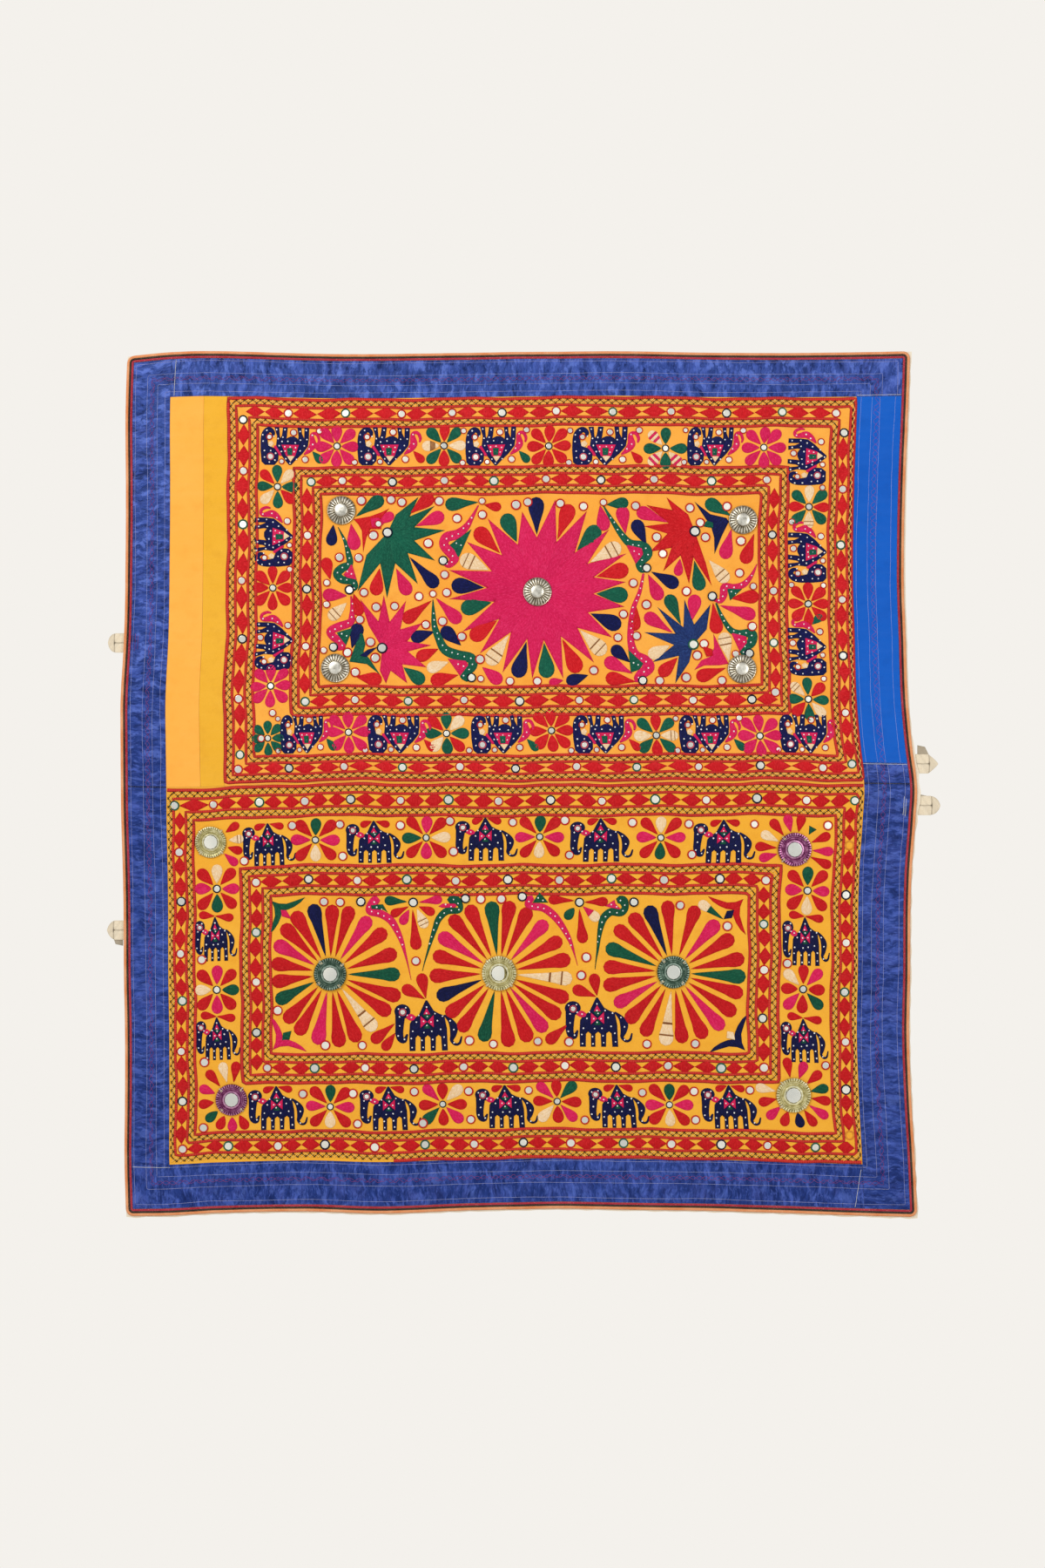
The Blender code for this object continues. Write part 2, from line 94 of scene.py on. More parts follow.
def smooth_values(table, at, column):
    """A smooth curve through one column of a table, read at every value of an array."""
    rows = np.array(sorted(table))
    places, values = rows[:, 0], rows[:, column]
    before = np.maximum(np.arange(len(rows)) - 1, 0)
    after = np.minimum(np.arange(len(rows)) + 1, len(rows) - 1)
    slopes = (values[after] - values[before]) / (places[after] - places[before])
    at = np.clip(at, places[0], places[-1])
    upper = np.clip(np.searchsorted(places, at), 1, len(rows) - 1)
    lower = upper - 1
    span = places[upper] - places[lower]
    t = (at - places[lower]) / span
    return (
        (2 * t**3 - 3 * t**2 + 1) * values[lower]
        + (t**3 - 2 * t**2 + t) * span * slopes[lower]
        + (3 * t**2 - 2 * t**3) * values[upper]
        + (t**3 - t**2) * span * slopes[upper]
    )


def fold_height(folds, at):
    """How far pressed folds stand back here, with their creases slightly rounded."""
    total = 0.0
    for place, depth in folds:
        away = np.sqrt((at - place) ** 2 + FOLD_SOFTNESS**2)
        total = total + depth * np.maximum(0.0, 1.0 - away / FOLD_HALF_WIDTH)
    return total


def relief(x, z):
    """How far the cloth stands back towards the wall: slow waves, pressed folds, small wrinkles."""
    turn = 2.0 * math.pi
    waves = 0.0022 * np.sin(turn * (x / 0.61 + 0.15)) * np.cos(turn * z / 0.83)
    waves = waves + 0.0014 * np.sin(turn * (x / 0.47 - z / 1.30))
    waves = waves + 0.0012 * np.sin(turn * (z / 0.52 + 0.20))
    wrinkles = 0.00020 * np.sin(turn * (x / 0.059 + z / 0.27) + 2.0 * np.sin(turn * z / 0.17))
    wrinkles = wrinkles + 0.00016 * np.sin(turn * (z / 0.048 - x / 0.23) + 1.7 * np.sin(turn * x / 0.13))
    return waves + wrinkles + fold_height(UPRIGHT_FOLDS, x) + fold_height(LEVEL_FOLDS, z)


def hang(x, z, forward):
    """Where pattern points lie on the hanging cloth, this far forward of the lining's back."""
    x, z, forward = np.broadcast_arrays(
        np.asarray(x, float), np.asarray(z, float), np.asarray(forward, float)
    )
    across = (x - CLOTH_LEFT) / (CLOTH_RIGHT - CLOTH_LEFT)
    sway = (1.0 - across) * smooth_values(SIDE_SWAY, z, 1) + across * smooth_values(SIDE_SWAY, z, 2)
    top, seam, bottom = (smooth_values(LEVEL_SWAY, x, column) for column in (1, 2, 3))
    down = (CLOTH_TOP - z) / (CLOTH_TOP - MIDDLE_SEAM)
    further_down = (MIDDLE_SEAM - z) / (MIDDLE_SEAM - CLOTH_BOTTOM)
    rise = np.where(
        z > MIDDLE_SEAM,
        (1.0 - down) * top + down * seam,
        (1.0 - further_down) * seam + further_down * bottom,
    )
    return np.stack((x + sway, relief(x, z) - forward, z + rise), axis=-1)


def add_piece(name, points, faces, uvs=None, tones=None, sharp=40.0):
    """A mesh object at the origin. uvs and tones hold one value for each point."""
    mesh = bpy.data.meshes.new(name)
    mesh.from_pydata([tuple(point) for point in np.asarray(points)], [], faces)
    mesh.shade_smooth()
    mesh.set_sharp_from_angle(angle=math.radians(sharp))
    corners = np.empty(len(mesh.loops), dtype=np.int32)
    mesh.loops.foreach_get("vertex_index", corners)
    if uvs is not None:
        layer = mesh.uv_layers.new(name="Pattern")
        layer.data.foreach_set("uv", np.asarray(uvs, dtype=np.float32)[corners].ravel())
    if tones is not None:
        tone = mesh.attributes.new("tone", "FLOAT", "POINT")
        tone.data.foreach_set("value", np.asarray(tones, dtype=np.float32))
    piece = bpy.data.objects.new(name, mesh)
    bpy.context.collection.objects.link(piece)
    return piece


def grid_lines(start, end, cell):
    """Even steps from start to end, none longer than cell."""
    return np.linspace(start, end, max(2, math.ceil(abs(end - start) / cell) + 1))


def closed_grid(number):
    """Faces of a front grid from its point numbers, of the same grid behind it, and of the walls."""
    a, b, c, d = (corners.ravel() for corners in (
        number[:-1, :-1], number[:-1, 1:], number[1:, 1:], number[1:, :-1],
    ))
    faces = np.concatenate((np.stack((a, b, c, d), 1), np.stack((d, c, b, a), 1) + number.size))
    rim = np.concatenate((number[0, :], number[1:, -1], number[-1, -2::-1], number[-2:0:-1, 0]))
    after = np.roll(rim, -1)
    walls = np.stack((after, rim, rim + number.size, after + number.size), 1)
    return np.concatenate((faces, walls)).tolist()


def cloth_piece(name, xs, zs, forward, front_of):
    """One closed sheet over a grid of pattern lines. front_of gives the front's height at x, z."""
    across, up = np.meshgrid(xs, zs)
    front = hang(across, up, forward + front_of(across, up)).reshape(-1, 3)
    back = hang(across, up, forward).reshape(-1, 3)
    faces = closed_grid(np.arange(across.size).reshape(across.shape))
    uvs = np.stack((across.ravel(), up.ravel()), 1)
    return add_piece(name, np.concatenate((front, back)), faces, uvs=np.concatenate((uvs, uvs)))


def set_inputs(tree, node, inputs):
    """Link a node's inputs to sockets, or set them to values."""
    for socket, value in inputs.items():
        if isinstance(value, bpy.types.NodeSocket):
            tree.links.new(value, node.inputs[socket])
        else:
            node.inputs[socket].default_value = value


def add_node(tree, kind, inputs=None, **settings):
    """A node with its settings and its inputs."""
    made = tree.nodes.new(kind)
    for key, value in settings.items():
        setattr(made, key, value)
    set_inputs(tree, made, inputs or {})
    return made


def mixed(tree, amount, first, second):
    """The socket of two colours mixed by an amount; each is a socket or its red, green and blue."""
    first, second = (
        side if isinstance(side, bpy.types.NodeSocket) else (*side, 1.0) for side in (first, second)
    )
    return add_node(tree, "ShaderNodeMix", {0: amount, 6: first, 7: second}, data_type="RGBA").outputs[2]


def spread(tree, value, low, high, to_low=0.0, to_high=1.0):
    """The socket of a value stretched from one range to another and kept within it."""
    stretch = add_node(tree, "ShaderNodeMapRange", {
        "Value": value, "From Min": low, "From Max": high, "To Min": to_low, "To Max": to_high,
    })
    return stretch.outputs["Result"]


def noise(tree, where, scale, detail=3.0, roughness=0.5, stretch=(1.0, 1.0, 1.0)):
    """The socket of a noise, stretched along its axes."""
    mapping = add_node(tree, "ShaderNodeMapping", {"Vector": where, "Scale": stretch})
    made = add_node(tree, "ShaderNodeTexNoise", {
        "Vector": mapping.outputs["Vector"], "Scale": scale, "Detail": detail, "Roughness": roughness,
    })
    return made.outputs["Fac"]


def threads(tree, where, pitch, direction, wander=1.0):
    """The socket of evenly spaced rounded threads, 0 between them and 1 on top."""
    made = add_node(tree, "ShaderNodeTexWave", {
        "Vector": where, "Scale": math.pi / (10.0 * pitch), "Distortion": wander, "Detail": 2.0,
        "Detail Scale": 0.3,
    }, wave_type="BANDS", bands_direction=direction, wave_profile="SIN")
    return made.outputs["Fac"]


def calculated(tree, operation, *values):
    """The socket of a calculation on one or two values."""
    return add_node(tree, "ShaderNodeMath", dict(enumerate(values)), operation=operation).outputs[0]


def on_cloth(tree):
    """The socket of a point's place on the straight pattern."""
    return add_node(tree, "ShaderNodeUVMap", uv_map="Pattern").outputs["UV"]


def point_value(tree, attribute):
    """The socket of a value that the piece's points carry."""
    return add_node(tree, "ShaderNodeAttribute", attribute_name=attribute).outputs["Fac"]


def bumps(tree, *layers):
    """The socket of bumps laid one over another, each with its strength, distance and height."""
    normal = {}
    for strength, distance, height in layers:
        bump = {"Strength": strength, "Distance": distance, "Height": height, **normal}
        normal = {"Normal": add_node(tree, "ShaderNodeBump", bump).outputs["Normal"]}
    return normal["Normal"]


def layered(tree, base, *layers):
    """The socket of a colour with others over it, each with where spread() shows it and its own."""
    for *shown, colour in layers:
        base = mixed(tree, spread(tree, *shown), base, colour)
    return base


def new_material(name):
    """A material with its node tree and its shader."""
    material = bpy.data.materials.new(name)
    material.use_nodes = True
    return material, material.node_tree, material.node_tree.nodes["Principled BSDF"]


def woven_cotton(name, colour, pale, deep, pitch=0.0009, mottle=0.5, sheen=0.15, shaded=False):
    """Plain-weave cotton: two sets of threads, slubs along them, and washed lighter and darker areas.
    A shaded piece carries painted shade: its colour is darkened towards dark brown as far as its attribute
    'tone' says."""
    material, tree, shader = new_material(name)
    where = on_cloth(tree)
    warp = threads(tree, where, pitch, "X")
    weft = threads(tree, where, pitch * 1.07, "Y")
    weave = calculated(tree, "MULTIPLY", warp, weft)
    slub = noise(tree, where, 90.0, 2.0, 0.6, (0.16, 1.0, 1.0))
    washed = noise(tree, where, 5.0, 4.0, 0.6)
    blotches = noise(tree, where, 34.0, 3.0, 0.6)
    base = mixed(tree, spread(tree, washed, 0.35, 0.68, 0.0, mottle), colour, pale)
    base = layered(
        tree, base, (blotches, 0.50, 0.80, 0.0, mottle, deep), (slub, 0.55, 0.75, 0.0, 0.35 * mottle, pale),
    )
    grain = noise(tree, where, 480.0, 3.0, 0.7)
    base = layered(
        tree, base, (grain, 0.34, 0.48, 0.6 * mottle, 0.0, deep), (weave, 0.0, 0.5, 0.30, 0.0, deep),
    )
    # Painted shade: where the attribute 'tone' is low, the colour is darkened towards dark brown.
    if shaded:
        tone = point_value(tree, "tone")
        base = mixed(tree, spread(tree, tone, 0.0, 1.0, 1.0, 0.0), base, (0.085, 0.060, 0.035))
    set_inputs(tree, shader, {
        "Base Color": base, "Roughness": spread(tree, slub, 0.3, 0.7, 0.95, 0.80), "Sheen Weight": sheen,
        "Sheen Roughness": 0.5, "Specular IOR Level": 0.25,
        "Normal": bumps(tree, (0.5, 0.0003, weave), (0.4, 0.0006, slub)),
    })
    return material


def finish_piece(piece, material, slot, *nodes):
    """Give a piece its material, let it stand for CAD nodes, and ride it. slot is not used."""
    piece.data.materials.clear()
    piece.data.materials.append(material)
    if nodes:
        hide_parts(*nodes)
    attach(piece, "root")


LINING_CELL = 0.018
LINING_UNDER_TRIM = 0.0005
LINING_PAST_RIGHT = 0.0040
LINING_PAST_BOTTOM = 0.0030
RAW_EDGE_WANDER = 0.0009
lining_xs = grid_lines(CLOTH_LEFT + LINING_UNDER_TRIM, CLOTH_RIGHT + LINING_PAST_RIGHT, LINING_CELL)
lining_zs = grid_lines(CLOTH_BOTTOM - LINING_PAST_BOTTOM, CLOTH_TOP - LINING_UNDER_TRIM, LINING_CELL)
lining = cloth_piece("lining_cloth", lining_xs, lining_zs, 0.0, lambda x, z: LINING_THICKNESS)
# The raw right and bottom edges wander a little, and the right one stands out by the middle seam
for vertex in lining.data.vertices:
    point = vertex.co
    past_right = max(0.0, point.x - 0.705) / 0.02
    past_bottom = max(0.0, -1.560 - point.z) / 0.02
    point.x += RAW_EDGE_WANDER * past_right * math.sin(point.z * 210.0 + math.sin(point.z * 77.0))
    point.x += past_right * (0.0026 * math.exp(-(((point.z + 0.80) / 0.07) ** 2)) - 0.0014)
    point.z += RAW_EDGE_WANDER * past_bottom * math.sin(point.x * 190.0 + math.sin(point.x * 83.0))
lining_cotton = woven_cotton(
    "lining cotton", (0.80, 0.70, 0.54), (0.88, 0.80, 0.66), (0.62, 0.50, 0.34), pitch=0.0011, mottle=0.45
)
finish_piece(lining, lining_cotton, "lining", "lining")

# ---------------------------------------------------------------------------------------------
# Ground cloths: two panels of yellow-orange cotton, worked on their own before they were joined
# along the middle seam, and washed paler and deeper in places.
# ---------------------------------------------------------------------------------------------
PANEL_THICKNESS = 0.0016
HALF_SEAM = 0.0002
UPPER_PANEL_LEFT = -0.5350
PANEL_CELL = 0.010
# name, slot, node, left, right, bottom, top, colour, pale, deep
GROUND_CLOTHS = (
    ("upper_cloth", "upper_ground", "upper_panel", UPPER_PANEL_LEFT, SATIN_RIGHT_INNER, MIDDLE_SEAM,
     SATIN_TOP_INNER, (0.90, 0.375, 0.038), (0.97, 0.50, 0.09), (0.78, 0.25, 0.020)),
    ("lower_cloth", "lower_ground", "lower_panel", SATIN_LEFT_INNER, SATIN_RIGHT_INNER, SATIN_BOTTOM_INNER,
     MIDDLE_SEAM, (0.87, 0.410, 0.026), (0.93, 0.50, 0.05), (0.72, 0.27, 0.015)),
)
for name, slot, node, left, right, bottom, top, colour, pale, deep in GROUND_CLOTHS:
    cloth = cloth_piece(
        name,
        grid_lines(left + HALF_SEAM, right - HALF_SEAM, PANEL_CELL),
        grid_lines(bottom + HALF_SEAM, top - HALF_SEAM, PANEL_CELL),
        FRONT_LAYER, lambda x, z: PANEL_THICKNESS,
    )
    finish_piece(cloth, woven_cotton(slot.replace("_", " ") + " cotton", colour, pale, deep), slot, node)

# ---------------------------------------------------------------------------------------------
# Filler strips: an orange and a gold cotton strip make up the width left of the upper panel, and
# a cobalt cotton strip takes the place of the satin on its right. Plain, pressed and washed.
# ---------------------------------------------------------------------------------------------
STRIP_THICKNESS = 0.0014
GOLD_STRIP_LEFT = -0.5790
COBALT_STRIP_END = -0.7550
SATIN_RIGHT_OUTER = 0.7090
STRIP_CELL = 0.006
# name, slot, node, left, right, bottom, colour, pale, deep
FILLER_STRIPS = (
    ("orange_filler", "orange_cotton", "orange_strip", SATIN_LEFT_INNER, GOLD_STRIP_LEFT, MIDDLE_SEAM,
     (0.95, 0.430, 0.060), (0.99, 0.50, 0.10), (0.86, 0.33, 0.035)),
    ("gold_filler", "gold_cotton", "gold_strip", GOLD_STRIP_LEFT, UPPER_PANEL_LEFT, MIDDLE_SEAM,
     (0.84, 0.420, 0.024), (0.90, 0.49, 0.05), (0.68, 0.30, 0.015)),
    ("cobalt_filler", "cobalt_cotton", "cobalt_strip", SATIN_RIGHT_INNER, SATIN_RIGHT_OUTER,
     COBALT_STRIP_END, (0.002, 0.100, 0.510), (0.006, 0.135, 0.61), (0.001, 0.070, 0.38)),
)


def strip_front(x, z):
    """Soft pulls that slant across a strip where its long seams were eased in."""
    pulls = np.sin(2.0 * math.pi * (z / 0.019 + x / 0.06) + 2.2 * np.sin(z * 41.0))
    return STRIP_THICKNESS + 0.00030 * pulls * (0.5 + 0.5 * np.sin(z * 23.0 + x * 60.0))


for name, slot, node, left, right, bottom, colour, pale, deep in FILLER_STRIPS:
    strip = cloth_piece(
        name,
        grid_lines(left + HALF_SEAM, right - HALF_SEAM, STRIP_CELL),
        grid_lines(bottom + HALF_SEAM, SATIN_TOP_INNER - HALF_SEAM, STRIP_CELL),
        FRONT_LAYER, strip_front,
    )
    cotton = woven_cotton(slot.replace("_", " "), colour, pale, deep, pitch=0.0008, mottle=0.45, sheen=0.03)
    finish_piece(strip, cotton, slot, node)

# ---------------------------------------------------------------------------------------------
# Satin border: six strips of blue satin, quilted in rows that run right round. The quilting
# gathers the thin cloth into fine puckers across each strip.
# ---------------------------------------------------------------------------------------------
SATIN_THICKNESS = 0.0016
SATIN_CELL_ALONG = 0.0030
SATIN_CELL_ACROSS = 0.0064
EDGE_WIDTH = 0.0130
SATIN_LEFT_OUTER = CLOTH_LEFT + EDGE_WIDTH
SATIN_TOP_OUTER = CLOTH_TOP - EDGE_WIDTH
SATIN_BOTTOM_OUTER = CLOTH_BOTTOM + EDGE_WIDTH
# Distance in from the cloth's edge of each quilting row, and of the crossing waves
QUILTING_ROWS = (0.0175, 0.0400, 0.0580, 0.0725)
QUILTING_WAVE = 0.0490
# the rows lie this much further in along the right and the bottom
RIGHT_AND_BOTTOM = 1.22
PUCKER_SEED = 7


def value_noise(at, wavelength, seed):
    """Smooth noise along one direction, between -1 and 1."""
    values = np.random.default_rng(seed).uniform(-1.0, 1.0, 4096)
    at = np.asarray(at) / wavelength + 1024.0
    cell = np.floor(at).astype(int)
    t = at - cell
    t = t * t * (3.0 - 2.0 * t)
    return (1.0 - t) * values[cell % 4096] + t * values[(cell + 1) % 4096]


def from_edge(x, z):
    """How far in from the nearest edge a point is, as the quilting counts it, and how far along."""
    sides = np.minimum(x - CLOTH_LEFT, (CLOTH_RIGHT - x) / RIGHT_AND_BOTTOM)
    ends = np.minimum(CLOTH_TOP - z, (z - CLOTH_BOTTOM) / RIGHT_AND_BOTTOM)
    return np.minimum(sides, ends), np.where(sides < ends, z, x)


def satin_front(x, z):
    """The satin's front: puckers across the strip, and a trough along each quilting row."""
    inwards, along = from_edge(x, z)
    drift = 0.004 * np.sin(inwards * 95.0 + value_noise(along, 0.05, 3) * 3.0)
    drift = drift + 0.003 * value_noise(inwards + 0.37 * along, 0.018, 4)
    puckers = 0.45 * value_noise(along + 1.5 * drift, 0.0075, PUCKER_SEED)
    puckers = puckers + 0.70 * value_noise(along + 2.2 * drift, 0.0150, PUCKER_SEED + 1)
    puckers = puckers + 0.45 * value_noise(along + 0.5 * drift, 0.041, PUCKER_SEED + 2)
    strength = 0.62 + 0.38 * value_noise(along, 0.11, PUCKER_SEED + 3)
    height = SATIN_THICKNESS + 0.00050 * puckers * strength
    for row in QUILTING_ROWS + (QUILTING_WAVE,):
        height = height - 0.00040 * np.exp(-(((inwards - row) / 0.0016) ** 2))
    return height


def satin_cloth(name, stretch):
    """Blue satin: its gloss breaks into light and dark streaks across the strip where it puckers, painted
    into its colour as painted sheen and painted shade.
    """
    material, tree, shader = new_material(name)
    where = on_cloth(tree)
    bends = add_node(tree, "ShaderNodeTexNoise", {"Vector": where, "Scale": 26.0, "Detail": 2.0})
    bends = add_node(
        tree, "ShaderNodeVectorMath", {0: bends.outputs["Color"], 1: (0.5, 0.5, 0.5)}, operation="SUBTRACT"
    )
    bends = add_node(tree, "ShaderNodeVectorMath", {0: bends.outputs[0], "Scale": 0.020}, operation="SCALE")
    bent = add_node(tree, "ShaderNodeVectorMath", {0: where, 1: bends.outputs[0]}, operation="ADD").outputs[0]
    fine_puckers = noise(tree, bent, 280.0, 3.0, 0.65, stretch)
    puckers = noise(tree, bent, 95.0, 3.0, 0.6, stretch)
    cloudy = noise(tree, where, 5.0, 4.0, 0.6)
    sheen_patches = noise(tree, bent, 34.0, 4.0, 0.65, tuple(0.5 + 0.5 * amount for amount in stretch))
    height = add_node(tree, "ShaderNodeSeparateXYZ", {"Vector": where}).outputs["Y"]
    from_seam = calculated(tree, "SUBTRACT", height, MIDDLE_SEAM)
    from_seam = calculated(tree, "ABSOLUTE", from_seam)
    base = mixed(tree, spread(tree, cloudy, 0.36, 0.64), (0.012, 0.030, 0.165), (0.026, 0.054, 0.250))
    # Painted sheen and painted shade: the patches, the puckers and the fine puckers each lighten and darken
    # the blue, and the colour is a little brighter towards the top.
    base = layered(
        tree, base, (sheen_patches, 0.50, 0.72, 0.0, 0.7, (0.052, 0.072, 0.290)),
        (sheen_patches, 0.30, 0.46, 0.7, 0.0, (0.006, 0.014, 0.085)),
        (puckers, 0.52, 0.70, 0.0, 0.70, (0.075, 0.125, 0.480)),
        (puckers, 0.32, 0.46, 0.80, 0.0, (0.006, 0.014, 0.090)),
        (fine_puckers, 0.54, 0.70, 0.0, 0.65, (0.085, 0.135, 0.480)),
        (fine_puckers, 0.32, 0.46, 0.75, 0.0, (0.006, 0.014, 0.090)),
        (height, -0.90, -0.02, 0.0, 0.10, (0.080, 0.140, 0.440)),
    )
    crumples = noise(tree, bent, 62.0, 5.0, 0.68, tuple(0.35 + 0.65 * amount for amount in stretch))
    sharp = spread(tree, height, -0.95, -0.55, 0.45, 1.0)
    # Painted sheen and painted shade on the crumples, strongest towards the top.
    for low, high, at_low, at_high, shade in (
        (0.36, 0.445, 0.9, 0.0, (0.004, 0.010, 0.070)), (0.53, 0.62, 0.0, 0.8, (0.100, 0.160, 0.520)),
    ):
        amount = calculated(tree, "MULTIPLY", spread(tree, crumples, low, high, at_low, at_high), sharp)
        base = mixed(tree, amount, base, shade)
    base = mixed(tree, spread(tree, from_seam, 0.0006, 0.0022, 0.9, 0.0), base, (0.003, 0.005, 0.030))
    set_inputs(tree, shader, {
        "Base Color": base, "Roughness": spread(tree, fine_puckers, 0.3, 0.7, 0.44, 0.30),
        "Specular IOR Level": 0.26, "Specular Tint": (0.35, 0.50, 1.0, 1.0),
        "Normal": bumps(tree, (0.8, 0.0014, puckers), (0.7, 0.0007, fine_puckers), (0.8, 0.0020, crumples)),
    })
    return material


# node, left, right, bottom, top, whether its length runs up and down
SATIN_STRIPS = (
    ("satin_top", SATIN_LEFT_INNER, SATIN_RIGHT_OUTER, SATIN_TOP_INNER, SATIN_TOP_OUTER, False),
    ("satin_left_upper", SATIN_LEFT_OUTER, SATIN_LEFT_INNER, MIDDLE_SEAM, SATIN_TOP_OUTER, True),
    ("satin_left_lower", SATIN_LEFT_OUTER, SATIN_LEFT_INNER, SATIN_BOTTOM_INNER, MIDDLE_SEAM, True),
    ("satin_right_upper", SATIN_RIGHT_INNER, SATIN_RIGHT_OUTER, MIDDLE_SEAM, COBALT_STRIP_END, True),
    ("satin_right_lower", SATIN_RIGHT_INNER, SATIN_RIGHT_OUTER, SATIN_BOTTOM_OUTER, MIDDLE_SEAM, True),
    ("satin_bottom", SATIN_LEFT_OUTER, SATIN_RIGHT_INNER, SATIN_BOTTOM_OUTER, SATIN_BOTTOM_INNER, False),
)
satins = {
    True: satin_cloth("blue satin puckered sideways", (0.24, 1.0, 1.0)),
    False: satin_cloth("blue satin puckered upright", (1.0, 0.24, 1.0)),
}
for node, left, right, bottom, top, upright in SATIN_STRIPS:
    cell_x, cell_z = (
        (SATIN_CELL_ACROSS, SATIN_CELL_ALONG) if upright else (SATIN_CELL_ALONG, SATIN_CELL_ACROSS)
    )
    strip = cloth_piece(
        node + "_strip",
        grid_lines(left + HALF_SEAM, right - HALF_SEAM, cell_x),
        grid_lines(bottom + HALF_SEAM, top - HALF_SEAM, cell_z),
        FRONT_LAYER, satin_front,
    )
    finish_piece(strip, satins[upright], "satin", node)

# ---------------------------------------------------------------------------------------------
# Edge trim: three strips sewn right round. From the outside in, an orange bias binding folded over
# the edge, a black piping, and a red piping flecked with pale stitches.
# ---------------------------------------------------------------------------------------------
TRIM_THICKNESS = 0.0028
TRIM_STEP = 0.007
TRIM_SIDES = 8
CORNER_RADIUS = EDGE_WIDTH + 0.0002


def edge_path(inset):
    """Pattern points right round the cloth at this distance in from its edge."""
    radius = CORNER_RADIUS - inset
    corners = (
        # corner's x and z, direction to the arc's middle
        (CLOTH_LEFT, CLOTH_BOTTOM, 1, 1),
        (CLOTH_RIGHT, CLOTH_BOTTOM, -1, 1),
        (CLOTH_RIGHT, CLOTH_TOP, -1, -1),
        (CLOTH_LEFT, CLOTH_TOP, 1, -1),
    )
    points = []
    for number, (corner_x, corner_z, to_x, to_z) in enumerate(corners):
        middle = (corner_x + to_x * CORNER_RADIUS, corner_z + to_z * CORNER_RADIUS)
        turns = math.pi * (1.0 + number / 2.0 + np.linspace(0.0, 0.5, 7))
        points.append(np.stack((middle[0] + radius * np.cos(turns), middle[1] + radius * np.sin(turns)), 1))
        after = corners[(number + 1) % 4]
        start = points[-1][-1]
        turn = math.pi * (1.0 + (number + 1) / 2.0)
        end = np.array((
            after[0] + after[2] * CORNER_RADIUS + radius * math.cos(turn),
            after[1] + after[3] * CORNER_RADIUS + radius * math.sin(turn),
        ))
        count = math.ceil(np.linalg.norm(end - start) / TRIM_STEP)
        points.append(start + (end - start) * np.linspace(0.0, 1.0, count + 1)[1:-1, None])
    return np.concatenate(points)


def trim_strip(name, outer, inner, ripple):
    """A closed strip with a rounded back and front, between two distances in from the edge."""
    outside, inside = edge_path(outer), edge_path(inner)
    steps = np.linalg.norm(np.diff(outside, axis=0), axis=1)
    lengths = np.concatenate(([0.0], np.cumsum(steps)))
    points, uvs = [], []
    for side in range(TRIM_SIDES):
        turn = 2.0 * math.pi * side / TRIM_SIDES
        share = 0.5 - 0.5 * math.copysign(abs(math.cos(turn)) ** 0.8, math.cos(turn))
        rise = 0.5 - 0.5 * math.copysign(abs(math.sin(turn)) ** 0.7, math.sin(turn))
        place = outside * (1.0 - share) + inside * share
        height = FRONT_LAYER + 0.00005 + (TRIM_THICKNESS - 0.0001) * rise
        height = height + ripple * rise * value_noise(lengths + 0.3 * share, 0.011, int(outer * 1e4))
        points.append(hang(place[:, 0], place[:, 1], height))
        uvs.append(np.stack((lengths, np.full(len(lengths), side * 0.0012)), 1))
    count = len(lengths)
    points = np.stack(points, 1).reshape(-1, 3)
    uvs = np.stack(uvs, 1).reshape(-1, 2)
    faces = []
    for station in range(count):
        here, after = station * TRIM_SIDES, ((station + 1) % count) * TRIM_SIDES
        for side in range(TRIM_SIDES):
            beside = (side + 1) % TRIM_SIDES
            faces.append((here + side, here + beside, after + beside, after + side))
    return add_piece(name, points, faces, uvs=uvs, sharp=180.0)


def in_space(tree):
    """The socket of a point's place in the scene."""
    return add_node(tree, "ShaderNodeTexCoord").outputs["Object"]


def trim_cotton(name, colour, pale, deep, fleck, fleck_share):
    """Twilled cotton strip with ribs across it, worn paler in patches, and flecks of sewing thread."""
    material, tree, shader = new_material(name)
    where = on_cloth(tree)
    place = in_space(tree)
    ribs = threads(tree, where, 0.0014, "X", 0.8)
    worn = noise(tree, place, 26.0, 4.0, 0.6)
    specks = add_node(tree, "ShaderNodeTexVoronoi", {"Vector": where, "Scale": 330.0}).outputs["Distance"]
    base = mixed(tree, spread(tree, worn, 0.35, 0.68), colour, pale)
    base = layered(
        tree, base, (ribs, 0.0, 0.6, 0.65, 0.0, deep), (specks, 0.18, 0.26, fleck_share, 0.0, fleck),
    )
    set_inputs(tree, shader, {
        "Base Color": base, "Roughness": spread(tree, worn, 0.3, 0.7, 0.90, 0.75), "Sheen Weight": 0.15,
        "Specular IOR Level": 0.25, "Normal": bumps(tree, (0.6, 0.0004, ribs)),
    })
    return material


# node, slot, outer, inner, ripple, colour, pale, deep, fleck, share of the fleck's colour
EDGE_TRIMS = (
    ("orange_binding", "orange_binding", 0.0000, 0.0052, 0.00030,
     (0.76, 0.255, 0.085), (0.87, 0.42, 0.20), (0.50, 0.13, 0.035), (0.90, 0.55, 0.32), 0.30),
    ("black_piping", "black_piping", 0.0055, 0.0083, 0.00015,
     (0.016, 0.013, 0.009), (0.060, 0.045, 0.025), (0.006, 0.005, 0.004), (0.22, 0.15, 0.07), 0.45),
    ("red_piping", "red_piping", 0.0086, 0.0126, 0.00015,
     (0.42, 0.014, 0.034), (0.54, 0.045, 0.075), (0.15, 0.006, 0.012), (0.70, 0.24, 0.22), 0.45),
)
for node, slot, outer, inner, ripple, colour, pale, deep, fleck, share in EDGE_TRIMS:
    strip = trim_strip(node + "_strip", outer, inner, ripple)
    finish_piece(strip, trim_cotton(slot.replace("_", " "), colour, pale, deep, fleck, share), slot, node)

